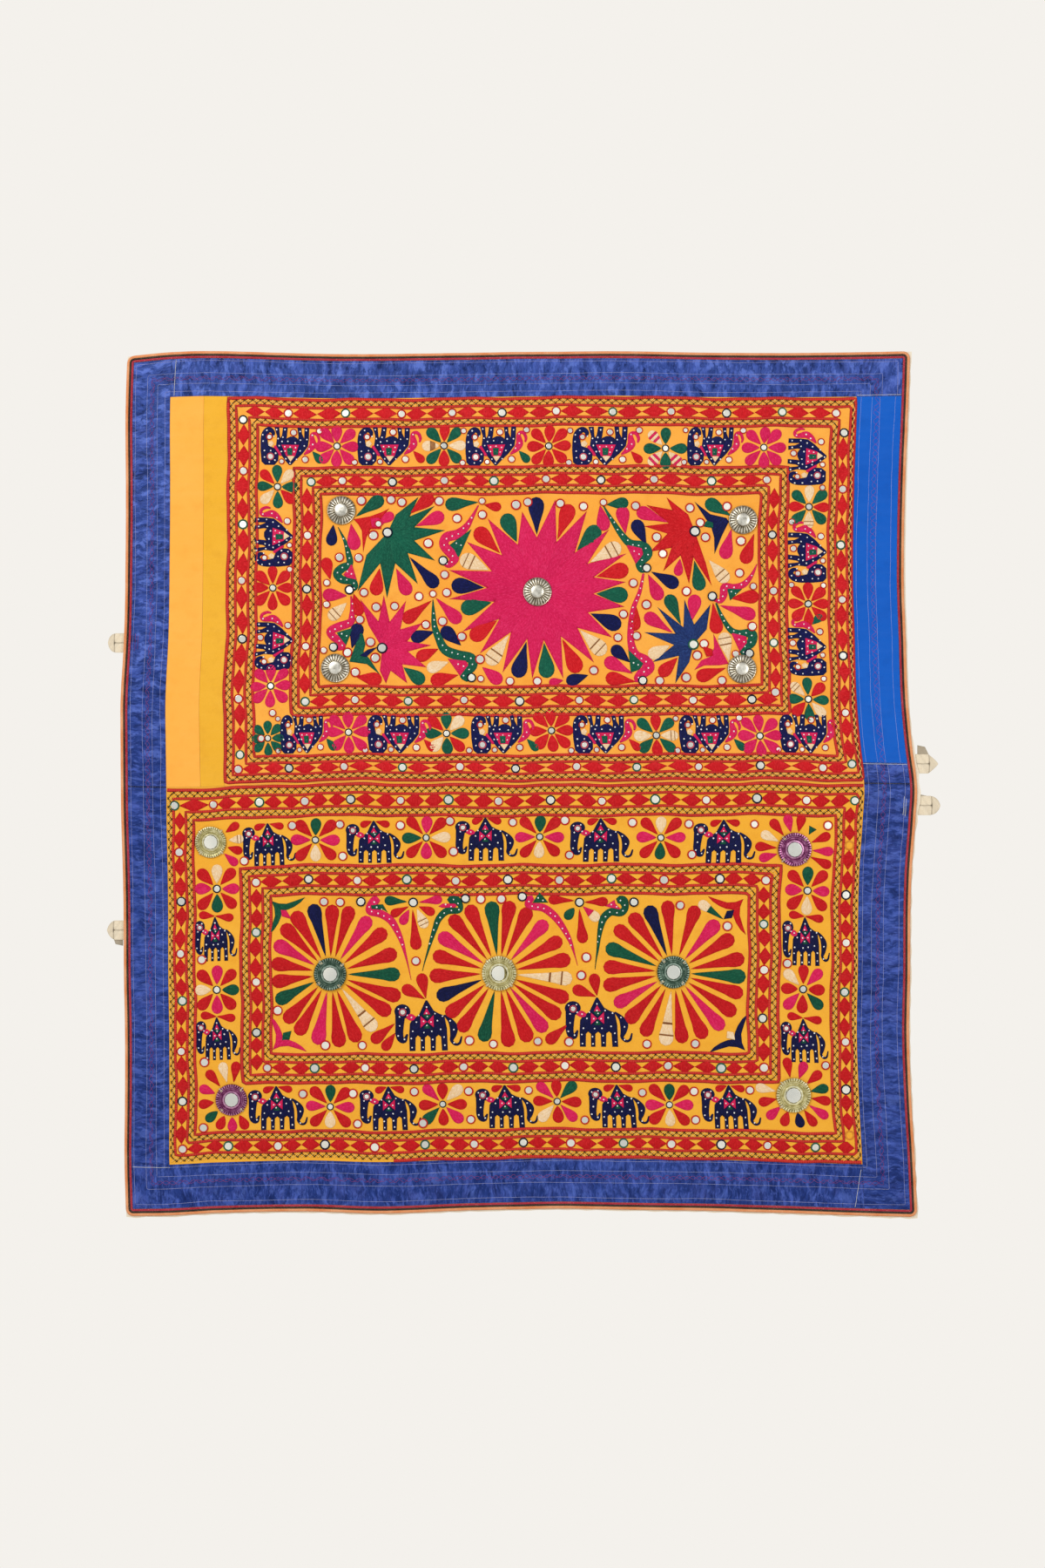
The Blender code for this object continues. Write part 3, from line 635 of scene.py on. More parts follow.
# ---------------------------------------------------------------------------------------------
# Band lines: each panel is framed by two bands, and each band has four rows of red chain stitch.
# The thread is thick, lies proud of the cloth, and shows pale where one chain link locks the next.
# ---------------------------------------------------------------------------------------------
PANEL_FRONT = FRONT_LAYER + PANEL_THICKNESS
CHAIN_SPACING = 0.0085
CHAIN_HEIGHT = 0.0013
CHAIN_SEAT = 0.35
CHAIN_LINK = 0.0032
RULED_STEP = 0.012
CHAIN_SIDES = 5
# panel, outer edge's left, right, top, bottom, inner edge's left, right, top, bottom
BANDS = (
    ("upper", -0.535, 0.632, -0.083, -0.790, -0.477, 0.580, -0.138, -0.740),
    ("upper", -0.4137, 0.507, -0.209, -0.671, -0.359, 0.452, -0.263, -0.613),
    ("lower", -0.6455, 0.632, -0.795, -1.484, -0.590, 0.576, -0.856, -1.427),
    ("lower", -0.509, 0.484, -0.942, -1.343, -0.450, 0.423, -1.000, -1.286),
)
# how far across the band, from its outer edge, and the row's width
BAND_LINES = ((0.050, 0.0068), (0.300, 0.0054), (0.700, 0.0054), (0.950, 0.0060))
# the band and row whose line the satin covers down both sides and, along the bottom, up to this x
COVERED_LINE = (2, 0)
COVERED_UP_TO = -0.231
# the panels' raw edges, inside which every row of stitching stays
PANEL_EDGES = {
    "upper": (UPPER_PANEL_LEFT, SATIN_RIGHT_INNER, SATIN_TOP_INNER, MIDDLE_SEAM),
    "lower": (SATIN_LEFT_INNER, SATIN_RIGHT_INNER, MIDDLE_SEAM, SATIN_BOTTOM_INNER),
}


def wander(x, z):
    """Where hand-worked rows run, a little off the ruled lines x and z."""
    stray_x = 0.0013 * np.sin(37.0 * z + 1.9 * np.sin(9.0 * x)) + 0.0005 * np.sin(83.0 * z + 12.0 * x)
    stray_z = 0.0013 * np.sin(33.0 * x + 1.7 * np.sin(11.0 * z)) + 0.0005 * np.sin(79.0 * x - 14.0 * z)
    return x + stray_x, z + stray_z


def strayed(points):
    """Ruled pattern points as hand-worked rows meet them."""
    return np.stack(wander(points[:, 0], points[:, 1]), 1)


def hang_points(points, forward):
    """Where an array of pattern points lies on the hanging cloth."""
    return hang(points[:, 0], points[:, 1], forward)


def band_corners(band, share):
    """A band's rectangle at this share of the way across it, from the top left, clockwise."""
    outer, inner = band[1:5], band[5:]
    left, right, top, bottom = ((1.0 - share) * edge + share * other for edge, other in zip(outer, inner))
    return np.array(((left, top), (right, top), (right, bottom), (left, bottom)))


def spaced(points, step, closed=True):
    """Points along a line or a loop, no further apart than step."""
    points = np.asarray(points, float)
    starts, ends = (points, np.roll(points, -1, 0)) if closed else (points[:-1], points[1:])
    found = []
    for start, end in zip(starts, ends):
        count = max(1, math.ceil(np.linalg.norm(end - start) / step))
        found.append(start + (end - start) * np.arange(count)[:, None] / count)
    if not closed:
        found.append(points[-1:])
    return np.concatenate(found)


def within_panel(panel, points, margin=0.0016):
    """Pattern points moved, where they stray past it, back inside their panel."""
    left, right, top, bottom = PANEL_EDGES[panel]
    return np.stack((
        np.clip(points[:, 0], left + margin, right - margin),
        np.clip(points[:, 1], bottom + margin, top - margin),
    ), 1)


def new_tree(name, sockets):
    """A geometry tree with the named inputs, the sockets that it is given, and its output node."""
    tree = bpy.data.node_groups.new(name, "GeometryNodeTree")
    tree.interface.new_socket("Geometry", in_out="INPUT", socket_type="NodeSocketGeometry")
    tree.interface.new_socket("Geometry", in_out="OUTPUT", socket_type="NodeSocketGeometry")
    for label, kind in sockets:
        tree.interface.new_socket(label, in_out="INPUT", socket_type="NodeSocket" + kind)
    inside = tree.nodes.new("NodeGroupInput")
    return tree, inside.outputs, tree.nodes.new("NodeGroupOutput")


def grown(name, base, tree, values):
    """A plain mesh piece: what the tree makes of a base mesh, with the tree's inputs set by name."""
    seed = bpy.data.objects.new(name, base)
    bpy.context.collection.objects.link(seed)
    modifier = seed.modifiers.new("growth", "NODES")
    modifier.node_group = tree
    for item in tree.interface.items_tree:
        if item.item_type == "SOCKET" and item.in_out == "INPUT" and item.name in values:
            modifier[item.identifier] = values[item.name]
    bpy.context.view_layer.update()
    evaluated = seed.evaluated_get(bpy.context.evaluated_depsgraph_get())
    mesh = bpy.data.meshes.new_from_object(evaluated)
    seed.modifiers.remove(modifier)
    seed.data = mesh
    mesh.name = name
    bpy.data.meshes.remove(base)
    return seed


def cord_tree():
    """Cord laid along edges: a flattened round cord with its length kept in the attribute 'run'."""
    tree, given, result = new_tree("cord along a path", (
        ("Width", "Float"), ("Height", "Float"), ("Sides", "Int"), ("Spacing", "Float"),
        ("Finish", "Material"),
    ))
    path = add_node(tree, "GeometryNodeMeshToCurve", {"Mesh": given["Geometry"]}).outputs[0]
    path = add_node(
        tree, "GeometryNodeResampleCurve", {"Curve": path, "Length": given["Spacing"]}, mode="LENGTH"
    )
    facing = add_node(tree, "GeometryNodeSetCurveNormal", {"Curve": path.outputs[0]}, mode="FREE")
    facing.inputs["Normal"].default_value = (0.0, -1.0, 0.0)
    length = add_node(tree, "GeometryNodeSplineParameter").outputs["Length"]
    kept = add_node(tree, "GeometryNodeStoreNamedAttribute", {
        "Geometry": facing.outputs[0], "Name": "run", "Value": length,
    }, data_type="FLOAT", domain="POINT")
    ring = add_node(tree, "GeometryNodeCurvePrimitiveCircle", {"Resolution": given["Sides"], "Radius": 0.5})
    size = add_node(tree, "ShaderNodeCombineXYZ", {"X": given["Height"], "Y": given["Width"], "Z": 1.0})
    ring = add_node(tree, "GeometryNodeTransform", {"Geometry": ring.outputs[0], "Scale": size.outputs[0]})
    cord = add_node(tree, "GeometryNodeCurveToMesh", {
        "Curve": kept.outputs[0], "Profile Curve": ring.outputs[0], "Fill Caps": True,
    })
    whole = add_node(tree, "GeometryNodeRealizeInstances", {"Geometry": cord.outputs[0]})
    smooth = add_node(
        tree, "GeometryNodeSetShadeSmooth", {"Geometry": whole.outputs[0], "Shade Smooth": True}
    )
    done = add_node(
        tree, "GeometryNodeSetMaterial", {"Geometry": smooth.outputs[0], "Material": given["Finish"]}
    )
    tree.links.new(done.outputs[0], result.inputs[0])
    return tree


CORD = cord_tree()


def sewn_cord(name, paths, width, height, spacing, sides, material):
    """Cords along world points. Each path is an array of points and whether it is closed."""
    points, edges = [], []
    for path, closed in paths:
        first = len(points)
        points += [tuple(point) for point in path]
        edges += [(first + i, first + i + 1) for i in range(len(path) - 1)]
        if closed:
            edges.append((first + len(path) - 1, first))
    base = bpy.data.meshes.new(name + " path")
    base.from_pydata(points, edges, [])
    return grown(name, base, CORD, {
        "Width": width, "Height": height, "Spacing": spacing, "Sides": sides, "Finish": material,
    })


def chain_thread(name, colour, pale, deep):
    """Thick chain-stitched thread: each link shades to dark at its ends, with a pale lock between."""
    material, tree, shader = new_material(name)
    run = point_value(tree, "run")
    place = in_space(tree)
    turns = calculated(tree, "MULTIPLY", run, 2.0 * math.pi / CHAIN_LINK)
    links = calculated(tree, "SINE", turns)
    faded = noise(tree, place, 18.0, 4.0, 0.6)
    grain = noise(tree, place, 700.0, 2.0, 0.6)
    base = mixed(tree, spread(tree, faded, 0.35, 0.68), colour, deep)
    base = layered(
        tree, base, (links, 0.55, 1.0, 0.0, 0.55, pale), (links, -1.0, -0.5, 0.5, 0.0, deep),
    )
    set_inputs(tree, shader, {
        "Base Color": base, "Roughness": spread(tree, grain, 0.3, 0.7, 0.80, 0.62), "Sheen Weight": 0.03,
        "Specular IOR Level": 0.3, "Normal": bumps(tree, (0.7, 0.0005, links), (0.4, 0.0002, grain)),
    })
    return material


red_chain = chain_thread("red chain stitch", (0.62, 0.016, 0.011), (0.74, 0.10, 0.05), (0.46, 0.010, 0.008))
for number, band in enumerate(BANDS):
    for row, (share, width) in enumerate(BAND_LINES):
        corners = band_corners(band, share)
        runs = [(spaced(corners, RULED_STEP), True)]
        if (number, row) == COVERED_LINE:
            shown = (corners[:2], np.array(((COVERED_UP_TO, corners[2][1]), corners[2])))
            runs = [(spaced(ends, RULED_STEP, closed=False), False) for ends in shown]
        paths = []
        for ruled, closed in runs:
            sewn = within_panel(band[0], strayed(ruled))
            paths.append((hang_points(sewn, PANEL_FRONT + CHAIN_SEAT * CHAIN_HEIGHT), closed))
        piece = sewn_cord(
            f"band_line_{band[0]}_{number}_{row}", paths, width, CHAIN_HEIGHT, CHAIN_SPACING,
            CHAIN_SIDES, red_chain,
        )
        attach(piece, "root")

# ---------------------------------------------------------------------------------------------
# Herringbone rows: black thread worked back and forth between each pair of red lines, so that it
# crosses itself near both, under a second row in the ground's own yellow.
# ---------------------------------------------------------------------------------------------
HERRINGBONE_PITCH = 0.0148
HERRINGBONE_OVERLAP = 0.0050
BLACK_THREAD_WIDTH = 0.0015
STRAND_SEED = 11
# how far across the band, and half the row's width as a share of the band's
HERRINGBONE_ROWS = ((0.172, 0.088), (0.828, 0.082))


def copies_tree():
    """Copies of one object on points, turned and stretched by the points' own attributes."""
    tree, given, result = new_tree("copies on points", (("Copy", "Object"), ("Finish", "Material")))
    copy = add_node(tree, "GeometryNodeObjectInfo", {"Object": given["Copy"]}).outputs["Geometry"]
    turn = add_node(tree, "GeometryNodeInputNamedAttribute", {"Name": "turn"}, data_type="FLOAT_VECTOR")
    stretch = add_node(tree, "GeometryNodeInputNamedAttribute", {"Name": "stretch"}, data_type="FLOAT_VECTOR")
    placed = add_node(tree, "GeometryNodeInstanceOnPoints", {
        "Points": given["Geometry"], "Instance": copy, "Rotation": turn.outputs["Attribute"],
        "Scale": stretch.outputs["Attribute"],
    })
    whole = add_node(tree, "GeometryNodeRealizeInstances", {"Geometry": placed.outputs[0]})
    done = add_node(
        tree, "GeometryNodeSetMaterial", {"Geometry": whole.outputs[0], "Material": given["Finish"]}
    )
    tree.links.new(done.outputs[0], result.inputs[0])
    return tree


COPIES = copies_tree()


def euler_turns(rights, forwards):
    """Euler turns that carry X to each right direction and Z to each forward direction."""
    rights = rights / np.linalg.norm(rights, axis=1, keepdims=True)
    ups = np.cross(forwards, rights)
    ups /= np.linalg.norm(ups, axis=1, keepdims=True)
    forwards = np.cross(rights, ups)
    pitch = np.arcsin(np.clip(-rights[:, 2], -1.0, 1.0))
    return np.stack((
        np.arctan2(ups[:, 2], forwards[:, 2]), pitch, np.arctan2(rights[:, 1], rights[:, 0]),
    ), 1)


def copied(name, copy, places, turns, stretches, material):
    """One piece made of copies at world places, each with its own turn and stretch."""
    base = bpy.data.meshes.new(name + " places")
    base.from_pydata([tuple(place) for place in places], [], [])
    for label, values in (("turn", turns), ("stretch", stretches)):
        attribute = base.attributes.new(label, "FLOAT_VECTOR", "POINT")
        attribute.data.foreach_set("vector", np.asarray(values, dtype=np.float32).ravel())
    piece = grown(name, base, COPIES, {"Copy": copy, "Finish": material})
    for label in ("turn", "stretch"):
        if label in piece.data.attributes:
            piece.data.attributes.remove(piece.data.attributes[label])
    return piece


def made_to_copy(name, shape, smooth=True):
    """A closed shape as an object outside the scene, to be copied into pieces."""
    bmesh.ops.recalc_face_normals(shape, faces=shape.faces)
    mesh = bpy.data.meshes.new(name)
    shape.to_mesh(mesh)
    shape.free()
    if smooth:
        mesh.shade_smooth()
    return bpy.data.objects.new(name, mesh)


def stitch_shape():
    """One straight stitch, a unit long: a thread that arches a little and dips into the cloth."""
    stations = ((-0.5, 0.45, -0.55), (-0.34, 1.0, 0.40), (0.34, 1.0, 0.40), (0.5, 0.45, -0.55))
    shape = bmesh.new()
    rings = []
    for along, radius, height in stations:
        rings.append([
            shape.verts.new((along, 0.58 * radius * math.cos(turn), height + 0.5 * radius * math.sin(turn)))
            for turn in (math.radians(angle) for angle in (-30.0, 90.0, 210.0))
        ])
    shape.faces.new(rings[0])
    shape.faces.new(rings[-1])
    for first, second in zip(rings, rings[1:]):
        for side in range(3):
            shape.faces.new((first[side], second[side], second[(side + 1) % 3], first[(side + 1) % 3]))
    return made_to_copy("stitch", shape)


def plain_thread(name, colour, pale, deep):
    """Twisted sewing thread: fine slanting ply, faded here and there."""
    material, tree, shader = new_material(name)
    place = in_space(tree)
    ply = threads(tree, place, 0.0005, "DIAGONAL", 0.5)
    faded = noise(tree, place, 40.0, 3.0, 0.6)
    base = mixed(tree, spread(tree, faded, 0.35, 0.68), colour, pale)
    base = mixed(tree, spread(tree, ply, 0.0, 0.7, 0.5, 0.0), base, deep)
    set_inputs(tree, shader, {
        "Base Color": base, "Roughness": 0.7, "Specular IOR Level": 0.25,
        "Normal": bumps(tree, (0.5, 0.0002, ply)),
    })
    return material


STITCH = stitch_shape()


def straight_stitches(name, starts, ends, width, lift, material):
    """Stitches between world points, each lying on the cloth with its middle a little proud."""
    starts, ends = np.asarray(starts), np.asarray(ends)
    along = ends - starts
    lengths = np.linalg.norm(along, axis=1)
    forwards = np.tile((0.0, -1.0, 0.0), (len(starts), 1))
    places = (starts + ends) / 2.0 + forwards * lift
    stretches = np.stack((lengths, np.full(len(lengths), width), np.full(len(lengths), 0.8 * width)), 1)
    return copied(name, STITCH, places, euler_turns(along, forwards), stretches, material)


def herringbone(band, share, half, pitch, phase, jitter):
    """Both ends of every stitch of one row, in pattern points, right round a band."""
    strand = np.random.default_rng(STRAND_SEED + int(1000 * share + 100000 * phase))
    starts, ends = [], []
    outer, inner = band_corners(band, share - half), band_corners(band, share + half)
    for side in range(4):
        after = (side + 1) % 4
        start, end = (outer[side] + inner[side]) / 2.0, (outer[after] + inner[after]) / 2.0
        across = (outer[side] + outer[after] - inner[side] - inner[after]) / 4.0
        length = np.linalg.norm(end - start)
        count = int(length / pitch)
        for step in range(count):
            for way in (0, 1):
                low = (step + 0.5 * way + phase) / count - 0.5 * HERRINGBONE_OVERLAP / length
                high = (step + 0.5 * way + 0.5 + phase) / count + 0.5 * HERRINGBONE_OVERLAP / length
                if high > 1.0 + HERRINGBONE_OVERLAP / length:
                    continue
                shift = strand.uniform(-jitter, jitter, 4)
                here = start + (end - start) * low + across * (2 * way - 1)
                there = start + (end - start) * high - across * (2 * way - 1)
                starts.append(here + shift[:2])
                ends.append(there + shift[2:])
    return np.array(starts), np.array(ends)


black_thread = plain_thread(
    "black thread", (0.010, 0.006, 0.006), (0.085, 0.045, 0.020), (0.004, 0.003, 0.003)
)
yellow_thread = plain_thread("yellow thread", (1.00, 0.62, 0.12), (1.00, 0.74, 0.24), (0.95, 0.50, 0.07))
# thread, record slot, material, width, start within the pitch, wander of each end, height over the
# cloth
HERRINGBONE_THREADS = (
    ("yellow", "cream_thread", yellow_thread, 0.0012, 0.50, 0.0008, 0.0010),
    ("black", "black_thread", black_thread, BLACK_THREAD_WIDTH, 0.0, 0.0006, 0.0006),
)
for thread, slot, material, width, phase, jitter, lift in HERRINGBONE_THREADS:
    for panel in ("upper", "lower"):
        starts, ends = [], []
        for band in (band for band in BANDS if band[0] == panel):
            for share, half in HERRINGBONE_ROWS:
                here, there = herringbone(band, share, half, HERRINGBONE_PITCH, phase, jitter)
                for found, points in ((starts, here), (ends, there)):
                    found.append(hang_points(within_panel(panel, strayed(points)), PANEL_FRONT))
        piece = straight_stitches(
            f"herringbone_{thread}_{panel}", np.concatenate(starts), np.concatenate(ends), width, lift,
            material
        )
        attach(piece, "root")

# ---------------------------------------------------------------------------------------------
# Diamonds: pairs of red diamonds, tip to tip, between the mirrors of each band. Like every filled
# shape on the panels they are worked solid in floss, which lies a millimetre proud of the cloth.
# ---------------------------------------------------------------------------------------------
FLOSS_HEIGHT = 0.0010
FLOSS_EDGE = 0.0004
FLOSS_SINK = 0.0002
EDGE_INSET = 0.0009
FLOSS_CELL = 0.0045
DIAMOND_LENGTH = 0.039
DIAMOND_STEP, DIAMOND_CELL = 0.005, 0.008
DIAMOND_SHIFT = 0.0020
LEAST_DIAMOND_ROW = 0.012
MIRROR_CLEARANCE = 0.0080
BAND_GLASS = {"upper": 0.0064, "lower": 0.0069}
RING_WIDTH = 0.0024
HAND_SEED = 23
# For each side of each band: pattern places of its mirrors along it in millimetres, the colour of
# each mirror's ring (r red, n navy, g green, o an empty ring), and where its diamonds start and end
BAND_SIDES = (
    # band, side, places, rings, start, end
    (0, "top", (-422, -318, -214, -121, -29, 73, 178, 284, 385, 489, 589), "rgrrnrgrngr", -500, 604),
    (0, "left", (-125, -220, -317, -418, -525, -636, -738), "nrgrnrg", -133, -745),
    (0, "right", (-148, -254, -357, -456, -560, -664, -758), "nrgrnrg", -128, -768),
    (0, "bottom", (-508, -416, -318, -212, -107, -5, 107, 216, 328, 439, 552), "rnrgrnrgrnr", -508, 598),
    (1, "top", (-379, -322, -230, -133, -40, 57, 158, 257, 364, 465), "grnrgrnrgr", -379, 472),
    (1, "left", (-337, -437, -542), "rnr", -247, -628),
    (1, "right", (-335, -439, -536, -629), "nrgr", -250, -629),
    (1, "bottom", (-385, -293, -195, -93, 8, 119, 219, 326, 435), "grgrnrgrn", -385, 484),
    (2, "top", (-627, -556, -473, -391, -306, -214, -127, -38, 55, 149, 246, 339, 432, 522, 609),
     "grgrnrgrnrgrnrg", -627, 612),
    (2, "left", (-912, -1003, -1097, -1183, -1277, -1368), "rnrgrn", -838, -1446),
    (2, "right", (-907, -996, -1084, -1173, -1262, -1348, -1432), "onrgrno", -838, -1446),
    (2, "bottom", (-615, -531, -441, -357, -267, -174, -84, 7, 95, 191, 278, 368, 453, 541),
     "rgrnrgrnrgrnrg", -615, 612),
    (3, "top", (-479, -384, -294, -202, -113, -19, 76, 173, 269, 370, 455), "rnrgrnrgrnr", -479, 455),
    (3, "left", (-1063, -1155, -1248), "grn", -983, -1318),
    (3, "right", (-1052, -1137, -1225), "grn", -983, -1303),
    (3, "bottom", (-460, -375, -282, -191, -100, -9, 87, 181, 276, 373, 453), "rgrnrgrnrgr", -466, 453),
)
BAND_MIDDLE = 0.505
DIAMOND_HALF_HEIGHT = 0.186


def metres(millimetres):
    """Millimetres, one or many, in metres."""
    return np.asarray(millimetres, float) / 1000.0


def inside(points, outline):
    """Whether each point is inside a closed outline, which may cross itself."""
    x, z = points[:, 0:1], points[:, 1:2]
    start, end = outline, np.roll(outline, -1, 0)
    crosses = (start[:, 1] > z) != (end[:, 1] > z)
    rise = np.where(end[:, 1] == start[:, 1], 1e-12, end[:, 1] - start[:, 1])
    at = start[:, 0] + (z - start[:, 1]) / rise * (end[:, 0] - start[:, 0])
    return (np.where(crosses & (x < at), np.sign(rise), 0.0)).sum(1) != 0.0


def distances(points, starts, ends):
    """Each point's distance to the nearest of some segments."""
    along = ends - starts
    length = np.maximum((along**2).sum(1), 1e-14)
    share = ((points[:, None, :] - starts[None]) * along[None]).sum(2) / length
    nearest = starts[None] + np.clip(share, 0.0, 1.0)[..., None] * along[None]
    return np.sqrt(((points[:, None, :] - nearest) ** 2).sum(2)).min(1)


def triangulated(points, edges, outlines):
    """Counter-clockwise triangles inside any of the outlines, and the points that they use."""
    found, _, faces, _, _, _ = geometry.delaunay_2d_cdt([Vector(p) for p in points], edges, [], 0, 1e-6)
    found = np.array([tuple(point) for point in found])
    faces = np.array([face for face in faces if len(face) == 3])
    middles = found[faces].mean(1)
    kept = np.zeros(len(faces), bool)
    for outline in outlines:
        kept |= inside(middles, outline)
    faces = faces[kept]
    a, b, c = found[faces[:, 0]], found[faces[:, 1]], found[faces[:, 2]]
    turned = np.cross(b - a, c - a) < 0.0
    faces[turned] = faces[turned][:, ::-1]
    return found, faces


def boundary(faces):
    """The directed edges that only one of the triangles uses."""
    edges = {(int(f[i]), int(f[(i + 1) % 3])) for f in faces for i in range(3)}
    return [edge for edge in edges if (edge[1], edge[0]) not in edges]


def cut_patch(outlines, step=0.0025, cell=FLOSS_CELL, joined=()):
    """The mesh plan of a filled shape, the union of its outlines, with each point's depth inside it.
    joined holds the sides of a single outline where the next shape carries on without an edge."""
    loops, edges, first = [], [], 0
    for outline in outlines:
        loop = spaced(outline, step)
        loops.append(loop)
        edges += [(first + i, first + (i + 1) % len(loop)) for i in range(len(loop))]
        first += len(loop)
    rim = np.concatenate(loops)
    if len(loops) > 1:
        found, faces = triangulated(rim, edges, loops)
        border = np.array(boundary(faces))
        starts, ends = found[border[:, 0]], found[border[:, 1]]
    else:
        starts, ends = rim, np.roll(rim, -1, 0)
        if np.cross(starts, ends).sum() < 0.0:
            starts, ends = ends, starts
    rim_starts, rim_ends = starts, ends
    if joined:
        corners = np.asarray(outlines[0])
        shared = [(corners[side], corners[(side + 1) % len(corners)]) for side in joined]
        middles = (starts + ends) / 2.0
        outer = np.array([
            min(distances(middle[None], a[None], b[None])[0] for a, b in shared) > 1e-6 for middle in middles
        ])
        starts, ends = starts[outer], ends[outer]
    along = ends - starts
    normals = np.stack((-along[:, 1], along[:, 0]), 1)
    normals /= np.maximum(np.linalg.norm(normals, axis=1, keepdims=True), 1e-9)
    inset = (starts + ends) / 2.0 + normals * EDGE_INSET
    low, high = rim.min(0), rim.max(0)
    columns = np.arange(low[0] + 0.4 * cell, high[0], cell)
    rows = np.arange(low[1] + 0.4 * cell, high[1], 0.87 * cell)
    filling = np.array([
        (x + (0.5 * cell if row % 2 else 0.0), z) for row, z in enumerate(rows) for x in columns
    ]).reshape(-1, 2)
    extra = []
    for candidates, nearest in ((inset, 0.9 * EDGE_INSET), (filling, EDGE_INSET + 0.4 * cell)):
        if len(candidates):
            within = np.zeros(len(candidates), bool)
            for loop in loops:
                within |= inside(candidates, loop)
            candidates = candidates[within]
        if len(candidates):
            candidates = candidates[distances(candidates, rim_starts, rim_ends) >= nearest]
        extra.append(candidates)
    found, faces = triangulated(np.concatenate([rim] + extra), edges, loops)
    depth = distances(found, starts, ends)
    border = boundary(faces)
    used = sorted({point for edge in border for point in edge})
    number = {point: index for index, point in enumerate(used)}
    under, under_faces = triangulated(
        found[used], [(number[a], number[b]) for a, b in border], loops
    )
    if len(under) == len(used):
        under_faces = np.array(used)[under_faces]
    else:
        used, under_faces = list(range(len(found))), faces
    return {
        "points": found, "faces": faces, "depth": depth, "border": border, "used": used, "under": under_faces,
    }


def widened(outline, by=0.0009):
    """An outline moved outwards all round, as thick floss spreads past the line it was drawn on."""
    outline = np.asarray(outline, float)
    if np.cross(outline, np.roll(outline, -1, 0)).sum() < 0.0:
        outline = outline[::-1]
    along = np.roll(outline, -1, 0) - np.roll(outline, 1, 0)
    along /= np.maximum(np.linalg.norm(along, axis=1, keepdims=True), 1e-9)
    return outline + by * np.stack((along[:, 1], -along[:, 0]), 1)


def moved(points, at, turn, size):
    """Points scaled, turned by degrees and moved."""
    points = np.asarray(points, float) * size
    angle = math.radians(turn)
    x = points[:, 0] * math.cos(angle) - points[:, 1] * math.sin(angle)
    z = points[:, 0] * math.sin(angle) + points[:, 1] * math.cos(angle)
    return np.stack((x, z), 1) + np.asarray(at, float)


# Cut and placed patches for each panel and colour of floss, and where small mirrors and dots go
work = {}
mirror_places = []
dots = []


def lay_patch(panel, colour, cut, grain=0.0, lift=0.0, tone=0.5, placing=None, height=FLOSS_HEIGHT):
    """Add a filled shape to a panel's work in one colour. grain is the stitches' direction in degrees."""
    if (panel, colour) not in work:
        work[panel, colour] = {"points": [], "faces": [], "uvs": [], "tones": [], "rims": [], "count": 0}
    made = work[panel, colour]
    flat = moved(cut["points"], **placing) if placing else cut["points"]
    flat = within_panel(panel, flat, 0.0004)
    share = np.clip(cut["depth"] / EDGE_INSET, 0.0, 1.0)
    top = FLOSS_EDGE + (height - FLOSS_EDGE) * np.sqrt(1.0 - (1.0 - share) ** 2)
    used = np.array(cut["used"])
    front = hang_points(flat, PANEL_FRONT + lift + top)
    back = hang_points(flat[used], PANEL_FRONT + (lift if lift else -FLOSS_SINK))
    first, below = made["count"], made["count"] + len(flat)
    number = {int(point): below + index for index, point in enumerate(used)}
    made["faces"] += (cut["faces"] + first).tolist()
    made["faces"] += [[number[int(point)] for point in face[::-1]] for face in cut["under"]]
    made["faces"] += [[first + b, first + a, number[a], number[b]] for a, b in cut["border"]]
    turn = math.radians(grain)
    uvs = np.stack((
        flat[:, 0] * math.cos(turn) + flat[:, 1] * math.sin(turn),
        flat[:, 1] * math.cos(turn) - flat[:, 0] * math.sin(turn),
    ), 1)
    made["points"] += [front, back]
    made["uvs"] += [uvs, uvs[used]]
    made["tones"] += [np.full(len(flat) + len(used), tone)]
    made["rims"] += [1.0 - share, np.ones(len(used))]
    made["count"] = below + len(used)


def side_point(band, side, along, share):
    """The pattern point this far along one side of a band, in metres, at a share of its width."""
    corners = band_corners(BANDS[band], share)
    if side in ("top", "bottom"):
        return along, corners[0 if side == "top" else 2][1]
    return corners[0 if side == "left" else 1][0], along


